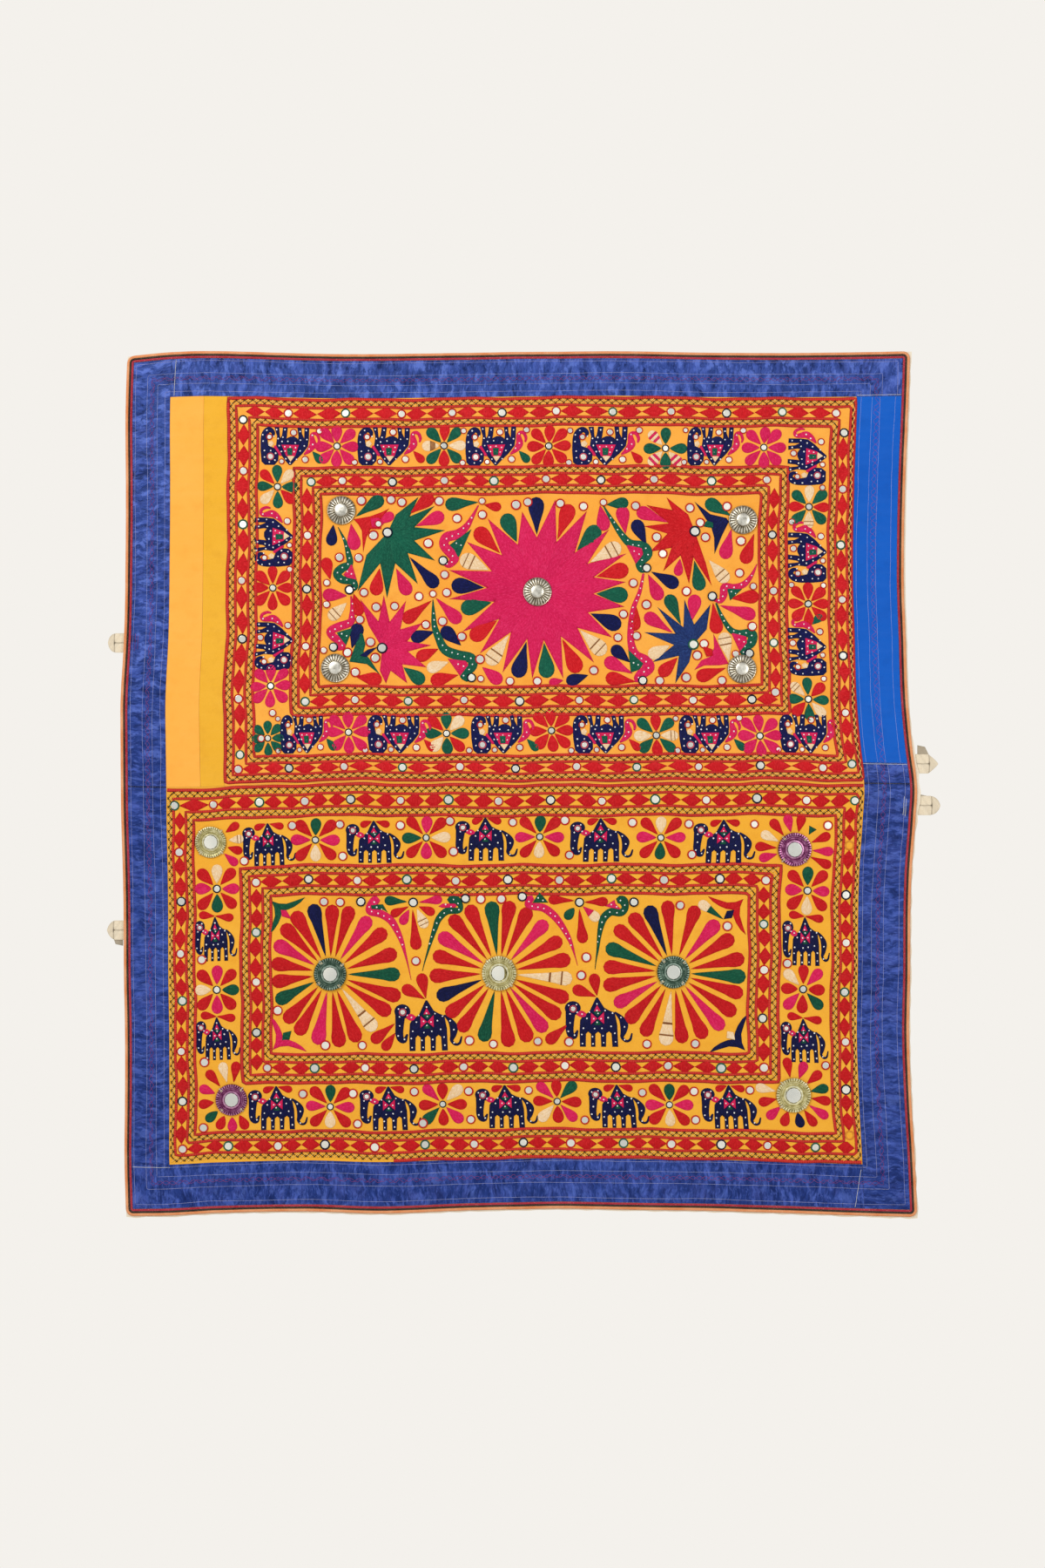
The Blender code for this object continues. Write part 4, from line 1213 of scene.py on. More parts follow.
hand = np.random.default_rng(HAND_SEED)
for band, side, places, rings, start, end in BAND_SIDES:
    level = side in ("top", "bottom")
    panel = BANDS[band][0]
    for place, ring in zip(places, rings):
        x, z = wander(*side_point(band, side, metres(place), BAND_MIDDLE))
        glass = BAND_GLASS[panel] * hand.uniform(0.92, 1.06)
        mirror_places.append((panel, x, z, glass, glass + RING_WIDTH, ring, 0.0))
    stops = metres((start, *places, end))
    for number in range(len(stops) - 1):
        way = math.copysign(1.0, end - start)
        low = stops[number] + way * (MIRROR_CLEARANCE if number > 0 or places[0] == start else 0.0)
        high = stops[number + 1] - way * (MIRROR_CLEARANCE if number < len(stops) - 2 else 0.0)
        if (high - low) * way < LEAST_DIAMOND_ROW:
            continue
        count = max(1, round(abs(high - low) / DIAMOND_LENGTH))
        for step in range(count):
            first = low + (high - low) * step / count
            last = low + (high - low) * (step + 1) / count
            middle = (first + last) / 2.0 + hand.uniform(-DIAMOND_SHIFT, DIAMOND_SHIFT)
            flat = (last - first) * hand.uniform(0.05, 0.14)
            halves = DIAMOND_HALF_HEIGHT + hand.uniform(-0.012, 0.012, 2)
            tips = BAND_MIDDLE + hand.uniform(-0.015, 0.015, 2)
            corners = np.array([
                side_point(band, side, first, tips[0]),
                side_point(band, side, middle - flat, BAND_MIDDLE - halves[0]),
                side_point(band, side, middle + flat, BAND_MIDDLE - halves[0]),
                side_point(band, side, last, tips[1]),
                side_point(band, side, middle + flat, BAND_MIDDLE + halves[1]),
                side_point(band, side, middle - flat, BAND_MIDDLE + halves[1]),
            ])
            outline = strayed(spaced(corners, DIAMOND_STEP))
            lay_patch(
                BANDS[band][0], "red", cut_patch([outline], DIAMOND_STEP, DIAMOND_CELL),
                grain=90.0 if level else 0.0,
                tone=hand.uniform(0.3, 0.7),
            )

# ---------------------------------------------------------------------------------------------
# Flowers: eight petals round a small mirror, between the elephants of both friezes, and more
# petals round the four corner discs of the lower panel. Each petal is one drop of floss; some are
# barred with a second colour, and a few were drawn and never worked.
# ---------------------------------------------------------------------------------------------
PETAL_JITTER = 0.0007
PETAL_STEP = 0.0034
# what a petal's letter stands for: its colours, each from and to a share of its length
PETAL_COLOURS = {
    "r": (("red", 0.0, 1.0),), "p": (("pink", 0.0, 1.0),), "g": (("green", 0.0, 1.0),),
    "n": (("navy", 0.0, 1.0),), "k": (("cream", 0.0, 1.0),), ".": (),
    "b": (("cream", 0.0, 0.58), ("brown", 0.58, 0.615), ("cream", 0.615, 0.80), ("brown", 0.80, 0.825),
          ("cream", 0.825, 1.0)),
    "o": (("cream", 0.0, 0.24), ("brown", 0.24, 0.54), ("cream", 0.54, 1.0)),
    "s": (("cream", 0.0, 0.36), ("pink", 0.36, 0.50), ("cream", 0.50, 0.66), ("pink", 0.66, 0.80),
          ("cream", 0.80, 1.0)),
    "m": (("pink", 0.0, 0.52), ("cream", 0.52, 1.0)), "w": (("green", 0.0, 0.60), ("cream", 0.60, 1.0)),
}
# panel, petal's reach upright, sideways and slanting, its radius, its tip, and the hub's glass
FLOWER_SIZES = {
    "upper": ("upper", 0.0380, 0.0400, 0.0430, 0.0092, 0.0085, 0.0050),
    "side": ("upper", 0.0395, 0.0370, 0.0415, 0.0088, 0.0085, 0.0050),
    "small": ("upper", 0.0310, 0.0300, 0.0330, 0.0072, 0.0085, 0.0045),
    "row": ("lower", 0.0385, 0.0440, 0.0485, 0.0092, 0.0090, 0.0048),
    "column": ("lower", 0.0435, 0.0400, 0.0480, 0.0095, 0.0105, 0.0056),
}
FLOWERS = (
    # size, x, z in millimetres, petals clockwise from the top
    ("upper", -332, -171, "pppppppp"), ("upper", -134, -171, "rgkgrgog"), ("upper", 60, -174, "rrrrrrrr"),
    ("upper", 276, -178, "g.gsgsgs"), ("upper", 458, -175, "pppppppp"), ("side", -442, -247, "gkgrgkgr"),
    ("side", -449, -433, "rrrrrrrr"), ("side", -448, -613, "pppppppp"), ("small", -454, -709, "gggggggg"),
    ("upper", -306, -701, "pppppppp"), ("upper", -127, -702, "gkgrgkgr"), ("upper", 65, -697, "rrrrrrrr"),
    ("upper", 256, -707, "rgbgrgkg"), ("upper", 445, -709, "pppppppp"), ("side", 545, -285, "kgrgbgrg"),
    ("side", 544, -464, "rrrrrrrr"), ("side", 539, -640, "grgkgrgb"), ("row", -370, -898, "grprkrpr"),
    ("row", -168, -894, "prkrprgr"), ("row", 39, -892, "grprkrpr"), ("row", 260, -895, "krprgrpr"),
    ("row", -346, -1385, "grprkrpr"), ("row", -139, -1381, "rkrprgrp"), ("row", 71, -1379, "rgrprkrp"),
    ("row", 277, -1384, "grprkrpr"), ("column", -551, -981, "krprgrpr"),
    ("column", -552, -1166, "prgrprkr"), ("column", 532, -990, "grprkrpr"),
    ("column", 526, -1169, "rprgrprk"),
)
# disc's centre and petal radius in millimetres, then each petal's letter, angle and reach
DISC_PETALS = (
    (-561, -895, 7.6, (("r", 32, 53), ("b", 4, 53), ("r", -19, 53), ("p", -42, 57))),
    (505, -916, 8.4, (
        ("k", 155, 61), ("r", 131, 62), ("p", 106, 57), ("r", 81, 56), ("r", 24, 61), ("p", -2, 63),
        ("r", -23, 66), ("r", 176, 64), ("p", -164, 58))),
    (-527, -1369, 8.6, (
        ("p", 157, 55), ("r", -173, 52), ("r", 129, 62), ("k", 104, 63), ("r", 82, 62), ("g", -141, 51),
        ("r", -114, 50), ("p", -88, 50), ("r", -63, 53))),
    (506, -1362, 8.6, (
        ("k", 169, 62), ("r", -166, 58), ("p", -139, 58), ("r", -111, 52), ("n", -79, 51), ("r", -55, 58),
        ("p", -32, 64), ("r", -8, 60), ("g", 14, 58), ("r", 40, 60), ("p", 69, 57), ("r", 99, 60))),
)
DISC_PETAL_TIP = 0.033
DISC_PETAL_FULLNESS = 0.94
HUB_RING_WIDTH = 0.0020


def drop(tip, centre, radius):
    """A petal's outline: a point at its tip, sides that swell, and a round end about its centre."""
    tip, centre = np.asarray(tip, float), np.asarray(centre, float)
    length = np.linalg.norm(centre - tip) + radius
    along = (centre - tip) / (length - radius)
    aside = np.array((-along[1], along[0]))
    widest = max(0.55, 1.0 - 1.12 * radius / length)
    shares = np.array((0.10, 0.25, 0.40, 0.55, 0.68, 0.80, 0.90, 0.97))
    wide = np.sqrt(np.sin(math.pi * shares ** (math.log(0.5) / math.log(widest))))
    wide = radius * np.maximum(wide, np.where(shares < widest, 0.90 * shares / widest, 0.0))
    middle = tip + along * length * shares[:, None]
    left, right = middle + aside * wide[:, None], middle - aside * wide[:, None]
    return np.concatenate(([tip], right, [tip + along * length], left[::-1]))


def polar(centre, angle, reach):
    """The point at this angle in degrees and this reach from a centre."""
    return centre + reach * np.array((math.cos(math.radians(angle)), math.sin(math.radians(angle))))


def kept_side(outline, at, way):
    """The part of an outline on the way side of a straight cut."""
    side = (outline - at) @ way
    found = []
    for number in range(len(outline)):
        after = (number + 1) % len(outline)
        if side[number] >= 0.0:
            found.append(outline[number])
        if (side[number] >= 0.0) != (side[after] >= 0.0):
            share = side[number] / (side[number] - side[after])
            found.append(outline[number] + (outline[after] - outline[number]) * share)
    return np.array(found)


def lay_drop(panel, letter, tip, centre, radius, cell=FLOSS_CELL):
    """One petal in one colour or in bars of several, its stitches running from tip to end."""
    tip, centre = np.asarray(tip, float), np.asarray(centre, float)
    axis = (centre - tip) / np.linalg.norm(centre - tip)
    length = np.linalg.norm(centre - tip) + radius
    whole = widened(drop(tip, centre, radius))
    grain = math.degrees(math.atan2(axis[1], axis[0]))
    colours = PETAL_COLOURS[letter]
    for colour, start, end in colours:
        outline = whole
        if start > 0.0:
            outline = kept_side(outline, tip + axis * length * start, axis)
        if end < 1.0:
            outline = kept_side(outline, tip + axis * length * end, -axis)
        lay_patch(
            panel, colour, cut_patch([outline], PETAL_STEP, cell),
            grain=grain + (90.0 if colour == "brown" else 0.0),
            tone=hand.uniform(0.3, 0.7),
        )


for size, x, z, petals in FLOWERS:
    panel, upright, level, slanting, radius, tip_reach, glass = FLOWER_SIZES[size]
    centre = metres((x, z))
    mirror_places.append((panel, centre[0], centre[1], glass, glass + HUB_RING_WIDTH, "n", 0.0))
    for number, letter in enumerate(petals):
        reach = (upright, slanting, level, slanting)[number % 4] + hand.uniform(-PETAL_JITTER, PETAL_JITTER)
        wide = radius * hand.uniform(0.93, 1.04)
        angle = 90.0 - 45.0 * number + hand.uniform(-2.5, 2.5)
        lay_drop(panel, letter, polar(centre, angle, tip_reach), polar(centre, angle, reach - wide), wide)
for x, z, radius, petals in DISC_PETALS:
    centre = metres((x, z))
    for letter, angle, reach in petals:
        lay_drop(
            "lower", letter, polar(centre, angle, DISC_PETAL_TIP), polar(centre, angle, metres(reach)),
            DISC_PETAL_FULLNESS * metres(radius),
        )
# The unfinished green petal by the top right disc: only a corner of it was worked
lay_patch(
    "lower", "green", cut_patch([np.array(((0.529, -0.889), (0.529, -0.872), (0.543, -0.879)))]), grain=60.0
)

# ---------------------------------------------------------------------------------------------
# Elephants: 16 upside down round the upper panel's frieze and 16 upright on the lower panel, two of
# them large. Body, trunk and head are one navy shape; the saddle cloth, the tail and the neck band
# are worked over or beside it, and white knots dot them all.
# ---------------------------------------------------------------------------------------------
OVER_LIFT = 0.0007
OVER_HEIGHT = 0.0007
OVER_SPREAD = 0.0004
ELLIPSE_SIDES = 16
MOTIF_STEP, MOTIF_CELL = 0.003, 0.0055
FRIEZE_MARGIN = 0.004


def stroke(path, smooth=4):
    """The outline of a tapering stroke through (x, z, width) points, with rounded ends."""
    path = np.asarray(path, float)
    before, after = 2.0 * path[:1] - path[1:2], 2.0 * path[-1:] - path[-2:-1]
    points = np.concatenate((before, path, after))
    line = []
    for number in range(len(path) - 1):
        a, b, c, d = points[number:number + 4]
        for t in np.arange(smooth) / smooth:
            line.append(0.5 * (
                2.0 * b + (c - a) * t
                + (2.0 * a - 5.0 * b + 4.0 * c - d) * t**2 + (3.0 * (b - c) + d - a) * t**3
            ))
    line = np.array(line + [path[-1]])
    along = np.gradient(line[:, :2], axis=0)
    along /= np.maximum(np.linalg.norm(along, axis=1, keepdims=True), 1e-9)
    half = np.maximum(line[:, 2:3], 0.0004) / 2.0
    aside = np.stack((-along[:, 1], along[:, 0]), 1) * half
    start, end = line[:1, :2] - 0.7 * along[:1] * half[:1], line[-1:, :2] + 0.7 * along[-1:] * half[-1:]
    return np.concatenate((line[:, :2] + aside, end, (line[:, :2] - aside)[::-1], start))


def ellipse(x, z, half_width, half_height):
    """An ellipse's outline."""
    turns = np.arange(ELLIPSE_SIDES) * 2.0 * math.pi / ELLIPSE_SIDES
    return np.stack((x + half_width * np.cos(turns), z + half_height * np.sin(turns)), 1)


# Shapes in millimetres about the elephant's middle: colour, how many layers over the navy body it
# lies, the direction of its stitches, and outlines that merge into one shape
INVERTED = (
    ("navy", 0, 75.0, (
        ((-47, -30), (-41, -35.5), (-22, -35.5), (-15, -28), (-14, -14), (-21, -6), (-31, -3), (-37, 5),
         (-49, 5), (-49, -10)),
        stroke(((-41.5, -8, 15), (-42.5, 4, 13), (-42.5, 14, 12), (-40, 23.5, 11), (-33.5, 29.5, 8.5),
                (-27, 27.5, 6.5), (-24, 22.5, 5), (-26.4, 17.7, 2.5))),
        ((-17.8, -1.8), (-16, 10.4), (-15.4, 17.7), (-20.9, 34.3), (-13.3, 34.3), (-11.7, 17.7), (-9.2, 12.9),
         (-5.6, 19), (-3.4, 34.3), (4.2, 34.3), (2.4, 17.7), (0.9, 11), (3.6, 12.9), (11, 16.3), (18.3, 16.3),
         (24.4, 12.9), (26.9, 11), (28.1, 17.7), (25.6, 34.3), (32, 34.3), (33, 22.6), (38.5, 12.9),
         (39.7, 22.6), (40, 34.3), (47.7, 34.3), (47.1, 12.9), (45.2, -0.6), (34.2, -14.1), (20.7, -26.3),
         (11.4, -35.7), (8.6, -35.7), (0, -26.3), (-8.6, -15.3)),
    )),
    ("pink", 1, 0.0, (((-7.2, 1.2), (27.7, 1.2), (19.8, -19.6), (2.4, -19.6)),)),
    ("green", 2, 0.0, (((4, -4.8), (14.9, -4.8), (14, -17.7), (5.4, -17.7)),)),
    ("cream", 1, 90.0, (((3.6, -19.4), (19.6, -19.4), (11, -29.8)),)),
    ("pink", 0, 55.0, (stroke(((-20.3, -2.1, 4.5), (-15, -9.5, 4.5), (-9.2, -17.6, 4))),)),
    ("pink", 0, 20.0, (
        stroke(((39.0, -16, 1), (49, -8.0, 8), (56, 2, 12), (54.8, 11.5, 9), (54, 20.0, 5.5),
                (59, 23.8, 4), (65, 21.2, 4), (68.6, 13, 3.5), (67.3, 6.7, 1.5))),
    )),
    ("cream", 0, 30.0, (((-33.0, 6.0), (-27.5, 8.5), (-23.5, 3.6), (-27.5, -2.0), (-34.0, -0.5)),)),
)
UPRIGHT = (
    ("navy", 0, 75.0, (
        ellipse(-39.0, 23.0, 11.2, 11.4),
        stroke(((-42.0, 17.6, 14), (-43.0, 2, 11.5), (-43.6, -12.5, 10.5), (-41.6, -22, 9),
                (-36.3, -24.5, 6.5),
                (-32.2, -14.5, 2))),
        ((-24, 10), (-14.9, 16.8), (-5.2, 40.6), (-3.4, 40.6), (5.8, 23.7), (12.7, 19.1), (21.1, 15.3),
         (24.7, -5.4), (25.7, -41.3), (18.1, -41.3), (17, -19.1), (13, -15.3), (8.9, -19.1), (8.1, -41.3),
         (2, -41.3), (1.5, -19.9), (-2.6, -15.8), (-6.9, -19.9), (-7.2, -41.3), (-12.6, -41.3),
         (-12.6, -19.9), (-16.8, -15.8), (-20.5, -19.9), (-21, -41.3), (-28.6, -41.3), (-28.9, -14.5),
         (-27.9, 3.1)),
    )),
    ("pink", 0, 0.0, (stroke(((-31.5, 15.5, 8), (-26, 13, 10), (-20.5, 10.5, 6))),)),
    ("pink", 1, 90.0, (((-4.1, 28.3), (-8.4, 18.1), (0.8, 18.1)),)),
    ("green", 1, 0.0, (((-10.3, 17.3), (3.8, 17.3), (-3.2, 10)),)),
    ("pink", 1, 0.0, (((-12.6, 15.3), (-12.6, -3.8), (-3.9, 5.8)), ((5.8, 16.8), (5.8, -3.1), (-2.7, 5.8)))),
    ("green", 1, 0.0, (((-8.4, -5.0), (2, -5.0), (-3.2, 4.2)),)),
    ("navy", 0, 80.0, (
        stroke(((21.9, 16, 2), (30.3, 6.9, 7), (34.9, -3.8, 11), (34.1, -16, 8), (31.8, -25.3, 4),
                (37.2, -31.7, 3.5), (43.3, -29.5, 3), (46.1, -19.1, 1.5))),
    )),
)
# x, z, glass and ring radius in millimetres, ring colour
INVERTED_MIRRORS = (
    (-32.0, 16.0, 4.2, 6.4, "r"), (-29.7, -20.8, 5.0, 7.4, "p"), (17.1, 24.6, 5.0, 7.2, "r"),
    (40.9, -25.7, 5.4, 7.4, "r"), (-7.0, -30.0, 4.0, 6.0, "r"), (-55.5, -31.0, 4.4, 6.4, "r"),
    (69.3, 28.3, 4.9, 7.0, "r"), (-54.5, 28.0, 4.2, 6.1, "r"),
)
# Tip and round end of the leaf that some have behind them
LEAF = np.array(((0.0560, -0.0110), (0.0700, -0.0255)))
LEAF_RADIUS = 0.0068
UPRIGHT_MIRRORS = ((-38.6, 21.9, 4.0, 6.6, "p"),)
INVERTED_DOTS = (
    (-37, 28), (-45, 20), (-45, 7), (-42, -10), (-29, -10), (-19, -15), (-20, -28), (-32, -32), (-42, -22),
    (-17, 30), (-14, 13), (0, 29), (-4, 15), (-7, 7), (-12, 0), (-7, -11), (2, -25), (9, -33), (23, -25),
    (30, -10), (39, 0), (44, 12), (44, 28), (30, 27), (31, 11), (21, 6), (5, 8), (-23, 17.5), (-0.4, -2.5),
    (10.3, -2.5), (21.4, -3.7), (-0.7, -11), (18.3, -12), (9.1, -12), (55, 20), (56, 3), (48, -6),
)
UPRIGHT_DOTS = (
    (-45, 27), (-34, 29), (-43, 14), (-32, 16), (-43, -1), (-45, -16), (-36, -22), (-15, 16), (-4, 30),
    (8, 19), (-19, 6), (12, 8), (19, 15), (-24, -10), (-8, -11), (3, -10), (16, -7), (-26, -21),
    (-11, -24), (4, -23), (21, -19), (-25, -36), (-10, -36), (5, -35), (22, -33), (30, 7), (35, -8),
    (35, -29), (-9, 6), (2, 6), (-4, 19), (-3, 14), (-4, 0), (-26, 13),
)
ELEPHANTS = (
    # kind, panel, x, z in millimetres, turn, width and height against the pattern's own, leaf
    (INVERTED, "upper", -428, -171, 0, 0.91, 0.98, "g"), (INVERTED, "upper", -245, -170, 0, 0.98, 1.0, "r"),
    (INVERTED, "upper", -47, -172, 0, 0.94, 1.0, "g"), (INVERTED, "upper", 155, -174, 0, 1.03, 1.0, "r"),
    (INVERTED, "upper", 359, -172, 0, 0.86, 1.0, "."), (INVERTED, "upper", -391, -702, 0, 0.80, 1.0, "g"),
    (INVERTED, "upper", -223, -703, 0, 0.97, 1.0, "r"), (INVERTED, "upper", -34, -702, 0, 0.96, 1.0, "g"),
    (INVERTED, "upper", 152, -703, 0, 0.96, 1.0, "r"), (INVERTED, "upper", 345, -704, 0, 0.94, 1.0, "g"),
    (INVERTED, "upper", 526, -703, 0, 0.89, 1.0, "."), (INVERTED, "upper", -449, -348, 90, 0.92, 1.0, "."),
    (INVERTED, "upper", -446, -539, 90, 0.90, 1.0, "."), (INVERTED, "upper", 538, -201, 90, 0.88, 1.0, "."),
    (INVERTED, "upper", 542, -378, 90, 0.94, 1.0, "."), (INVERTED, "upper", 538, -552, 90, 0.90, 1.0, "g"),
)
# the upright ones are placed by their howdah's peak: x, z in millimetres, width and height
PEAKS = (
    ("row", -457, -865, 1.00, 0.94), ("row", -264, -864, 1.10, 0.93), ("row", -61, -857, 1.18, 0.96),
    ("row", 149, -859, 1.20, 0.97), ("row", 373, -863, 1.18, 0.97), ("row", -445, -1347, 1.12, 0.97),
    ("row", -239, -1347, 1.16, 0.97), ("row", -25, -1348, 1.18, 0.96), ("row", 181, -1348, 1.14, 0.96),
    ("row", 387, -1347, 1.12, 0.97), ("column", -555, -1033, 0.80, 0.98),
    ("column", -553, -1217, 0.84, 0.95), ("column", 528, -1039, 0.90, 1.06),
    ("column", 527, -1223, 0.90, 0.96), ("field", -167, -1191, 1.28, 1.12),
    ("field", 147, -1188, 1.28, 1.10),
)
PEAK = metres((-4.3, 40.6))
# red drops on both sides of the peak: tip, centre and radius against it, in millimetres
PEAK_DROPS = {
    "row": (((-4, -1), (-18, -6.5), 5.6), ((4, -1), (23, -6.0), 5.8)),
    "column": (((-1, 2), (-22, 4.5), 6.6), ((1, 2), (27, -1.5), 6.8)),
    "field": (),
}


def cut_all(shapes, spreading):
    """Every shape of a motif cut once: colour, layers over the navy, stitch direction, mesh plan."""
    return [
        (colour, over, grain, cut_patch([
            widened(metres(outline), OVER_SPREAD if over else spreading) for outline in outlines
        ], MOTIF_STEP, MOTIF_CELL))
        for colour, over, grain, outlines in shapes
    ]


def in_frieze(x, z):
    """Whether a point of the upper panel is between its two bands."""
    left, right, top, bottom = BANDS[0][5:]
    inner_left, inner_right, inner_top, inner_bottom = BANDS[1][1:5]
    margin = FRIEZE_MARGIN
    within = left + margin < x < right - margin and bottom + margin < z < top - margin
    return within and not (
        inner_left - margin < x < inner_right + margin and inner_bottom - margin < z < inner_top + margin
    )


def lay_motif(panel, plans, mirrors, knots, placing):
    """Place a cut motif with its mirrors and its white knots."""
    for colour, over, grain, plan in plans:
        lay_patch(
            panel, colour, plan, grain=grain + placing["turn"], lift=OVER_LIFT * over,
            tone=hand.uniform(0.35, 0.65), placing=placing, height=OVER_HEIGHT if over else FLOSS_HEIGHT,
        )
    scale = min(placing["size"])
    for x, z, glass, ring, letter in mirrors:
        (at,) = moved([metres((x, z))], **placing)
        if panel == "upper" and not in_frieze(*at):
            continue
        glass, ring = (metres(size * (0.35 + 0.65 * min(scale, 1.1))) for size in (glass, ring))
        mirror_places.append(
            (panel, at[0], at[1], glass, ring, letter, FLOSS_HEIGHT if letter == "p" else 0.0)
        )
    for at in moved(metres(knots), **placing):
        dots.append((panel, at[0], at[1]))


plans = {"inverted": cut_all(INVERTED, 0.0011), "upright": cut_all(UPRIGHT, 0.0004)}
for shapes, panel, x, z, turn, wide, high, leaf in ELEPHANTS:
    placing = {"at": metres((x, z)), "turn": turn, "size": (wide, high)}
    lay_motif(panel, plans["inverted"], INVERTED_MIRRORS, INVERTED_DOTS, placing)
    lay_drop(panel, leaf, *moved(LEAF, **placing), LEAF_RADIUS)
for where, x, z, wide, high in PEAKS:
    peak = metres((x, z))
    placing = {"at": peak - PEAK * (wide, high), "turn": 0.0, "size": (wide, high)}
    lay_motif("lower", plans["upright"], UPRIGHT_MIRRORS, UPRIGHT_DOTS, placing)
    for tip, centre, radius in PEAK_DROPS[where]:
        lay_drop("lower", "r", peak + metres(tip), peak + metres(centre), metres(radius))

# ---------------------------------------------------------------------------------------------
# Upper field: a pink sun of 18 rays with a drop between each two, and in the corners fans of
# pointed rays about a small mirror. Each ray is worked from the middle to its tip.
# ---------------------------------------------------------------------------------------------
SUN = np.array((0.044, -0.442))
SUN_RAYS = (
    # ray's angle and reach in millimetres, then the notch after it clockwise: angle, reach, its
    # drop's letter, and how far out the drop's middle is
    (102, 151, 92, 100, "n", 158), (80, 172, 70, 97, "r", 154), (59, 172, 46.5, 98, "g", 147),
    (41, 173, 29, 104, "b", 158), (23, 177, 14, 106, "r", 156), (6, 163, -2.5, 102, "g", 150),
    (-10, 162, -23, 99, "n", 149), (-32, 160, -43, 98, "b", 152), (-52, 166, -63.5, 92, "r", 150),
    (-74, 166, -84, 89, "g", 143), (-94, 160, -104, 89, "n", 146), (-114, 162, -125, 90, "b", 146),
    (-134, 156, -146, 88, "r", 136), (-153, 159, -168, 84, "g", 131), (-176, 167, 175, 96, "n", 146),
    (166, 172, 156, 95, "b", 143), (145, 163, 135, 96, "r", 150), (125, 166, 114, 95, "g", 141),
)
SUN_DROP_RADIUS = 0.0140
RAY_STEP, RAY_CELL = 0.005, 0.0075
SUN_DROP_START = 0.006
SUN_DROP_SHIFT = 0.0015
FAN_GLASS, FAN_RING = 0.0072, 0.0100
# colour, hub's ring letter, and in millimetres the hub, where the fan's edges turn, tips and notches
FANS = (
    ("green", "n", (-237, -331), (-222, -298), (-276, -373),
     ((-180, -265), (-150, -282), (-130, -327), (-148, -383), (-180, -426), (-237, -452), (-292, -440)),
     ((-196, -301), (-187, -321), (-187, -346), (-199, -369), (-222, -388), (-250, -388))),
    ("pink", "n", (-245, -545), (-271, -503), (-248, -587),
     ((-287, -454), (-243, -447), (-202, -457), (-172, -498), (-154, -539), (-162, -580), (-197, -610),
      (-236, -611)),
     ((-253, -495), (-232, -496), (-212, -510), (-199, -532), (-197, -551), (-207, -575), (-228, -587))),
    ("red", "n", (334, -330), (355, -388), (321, -299),
     ((366, -430), (324, -427), (276, -404), (251, -369), (239, -322), (243, -283), (280, -268)),
     ((332, -378), (308, -375), (291, -361), (283, -335), (285, -316), (291, -291))),
    ("blue", "g", (330, -539), (355, -511), (322, -572),
     ((363, -465), (315, -456), (264, -470), (239, -517), (254, -572), (296, -611)),
     ((332, -502), (312, -507), (297, -519), (294, -540), (303, -560))),
)
# Three-armed shapes beside the four outer domes: colour, outline, colour of its tab, outline
CORNER_STARS = (
    ("red", ((-300, -307), (-270, -302), (-248, -294), (-235, -286), (-251, -306), (-249, -324), (-269, -324),
             (-277, -340), (-281, -367), (-284, -327), (-291, -315)),
     "pink", ((-269, -305), (-254, -303), (-243, -313), (-251, -322), (-266, -321))),
    ("green",
     ((-304, -570), (-284, -508), (-277, -538), (-280, -552), (-268, -566), (-248, -594), (-272, -574)),
     "navy", ((-286, -559), (-272, -548), (-254, -543), (-274, -562))),
    ("navy", ((392, -306), (362, -299), (333, -276), (355, -307), (364, -317), (371, -341), (371, -371),
              (384, -337), (396, -312)),
     "green", ((368, -314), (357, -310), (345, -320), (361, -323), (368, -324))),
    ("pink", ((394, -575), (381, -550), (367, -520), (369, -545), (362, -562), (345, -569), (332, -586),
              (350, -577), (378, -577)),
     "red", ((346, -541), (365, -548), (366, -560), (354, -562))),
)
# a field drop is this share of its length wide, from its middle line, plus a little, up to a limit
FIELD_DROP_SHARE = 0.30
FIELD_DROP_LEAST = 0.0012
FIELD_DROP_WIDEST = 0.0118
FIELD_DROPS = {
    # letter: the middles of its drops' round ends, and their tips, in millimetres
    "n": ((-341, -345, -338, -317), (-152, -422, -195, -377), (-181, -524, -150, -514),
          (-126, -515, -100, -539), (-292, -511, -301, -545), (227, -322, 244, -357), (293, -425, 254, -406),
          (188, -551, 212, -572), (106, -605, 135, -596)),
    "g": ((-256, -273, -296, -301), (-118, -279, -70, -276), (-176, -601, -204, -581), (364, -280, 400, -301),
          (343, -427, 334, -385), (289, -459, 307, -502), (199, -280, 170, -283)),
    "r": ((-163, -270, -196, -296), (-350, -388, -343, -417), (-257, -435, -251, -398),
          (-197, -488, -155, -457), (-290, -474, -299, -445), (-171, -559, -142, -546),
          (-142, -603, -104, -594), (-256, -603, -291, -598), (-35, -285, -57, -281), (180, -602, 223, -608),
          (430, -378, 444, -335), (441, -451, 401, -454), (373, -507, 368, -463), (221, -503, 225, -471),
          (276, -588, 300, -564), (347, -597, 389, -583)),
    "p": ((-144, -303, -184, -319), (-299, -351, -305, -315), (-202, -435, -220, -398),
          (-110, -488, -146, -452), (-345, -446, -312, -448), (-234, -301, -254, -315),
          (-33, -601, -59, -580),
          (71, -608, 89, -605), (177, -573, 217, -593), (164, -319, 157, -285), (237, -297, 284, -314),
          (199, -298, 205, -336), (392, -369, 402, -326), (304, -404, 307, -382), (265, -446, 248, -411),
          (434, -483, 381, -467), (251, -491, 291, -517), (334, -459, 328, -494)),
    "b": ((-336, -483, -312, -461), (388, -414, 361, -383), (388, -529, 396, -571)),
    "k": ((-151, -580, -122, -570), (257, -556, 286, -541)),
}


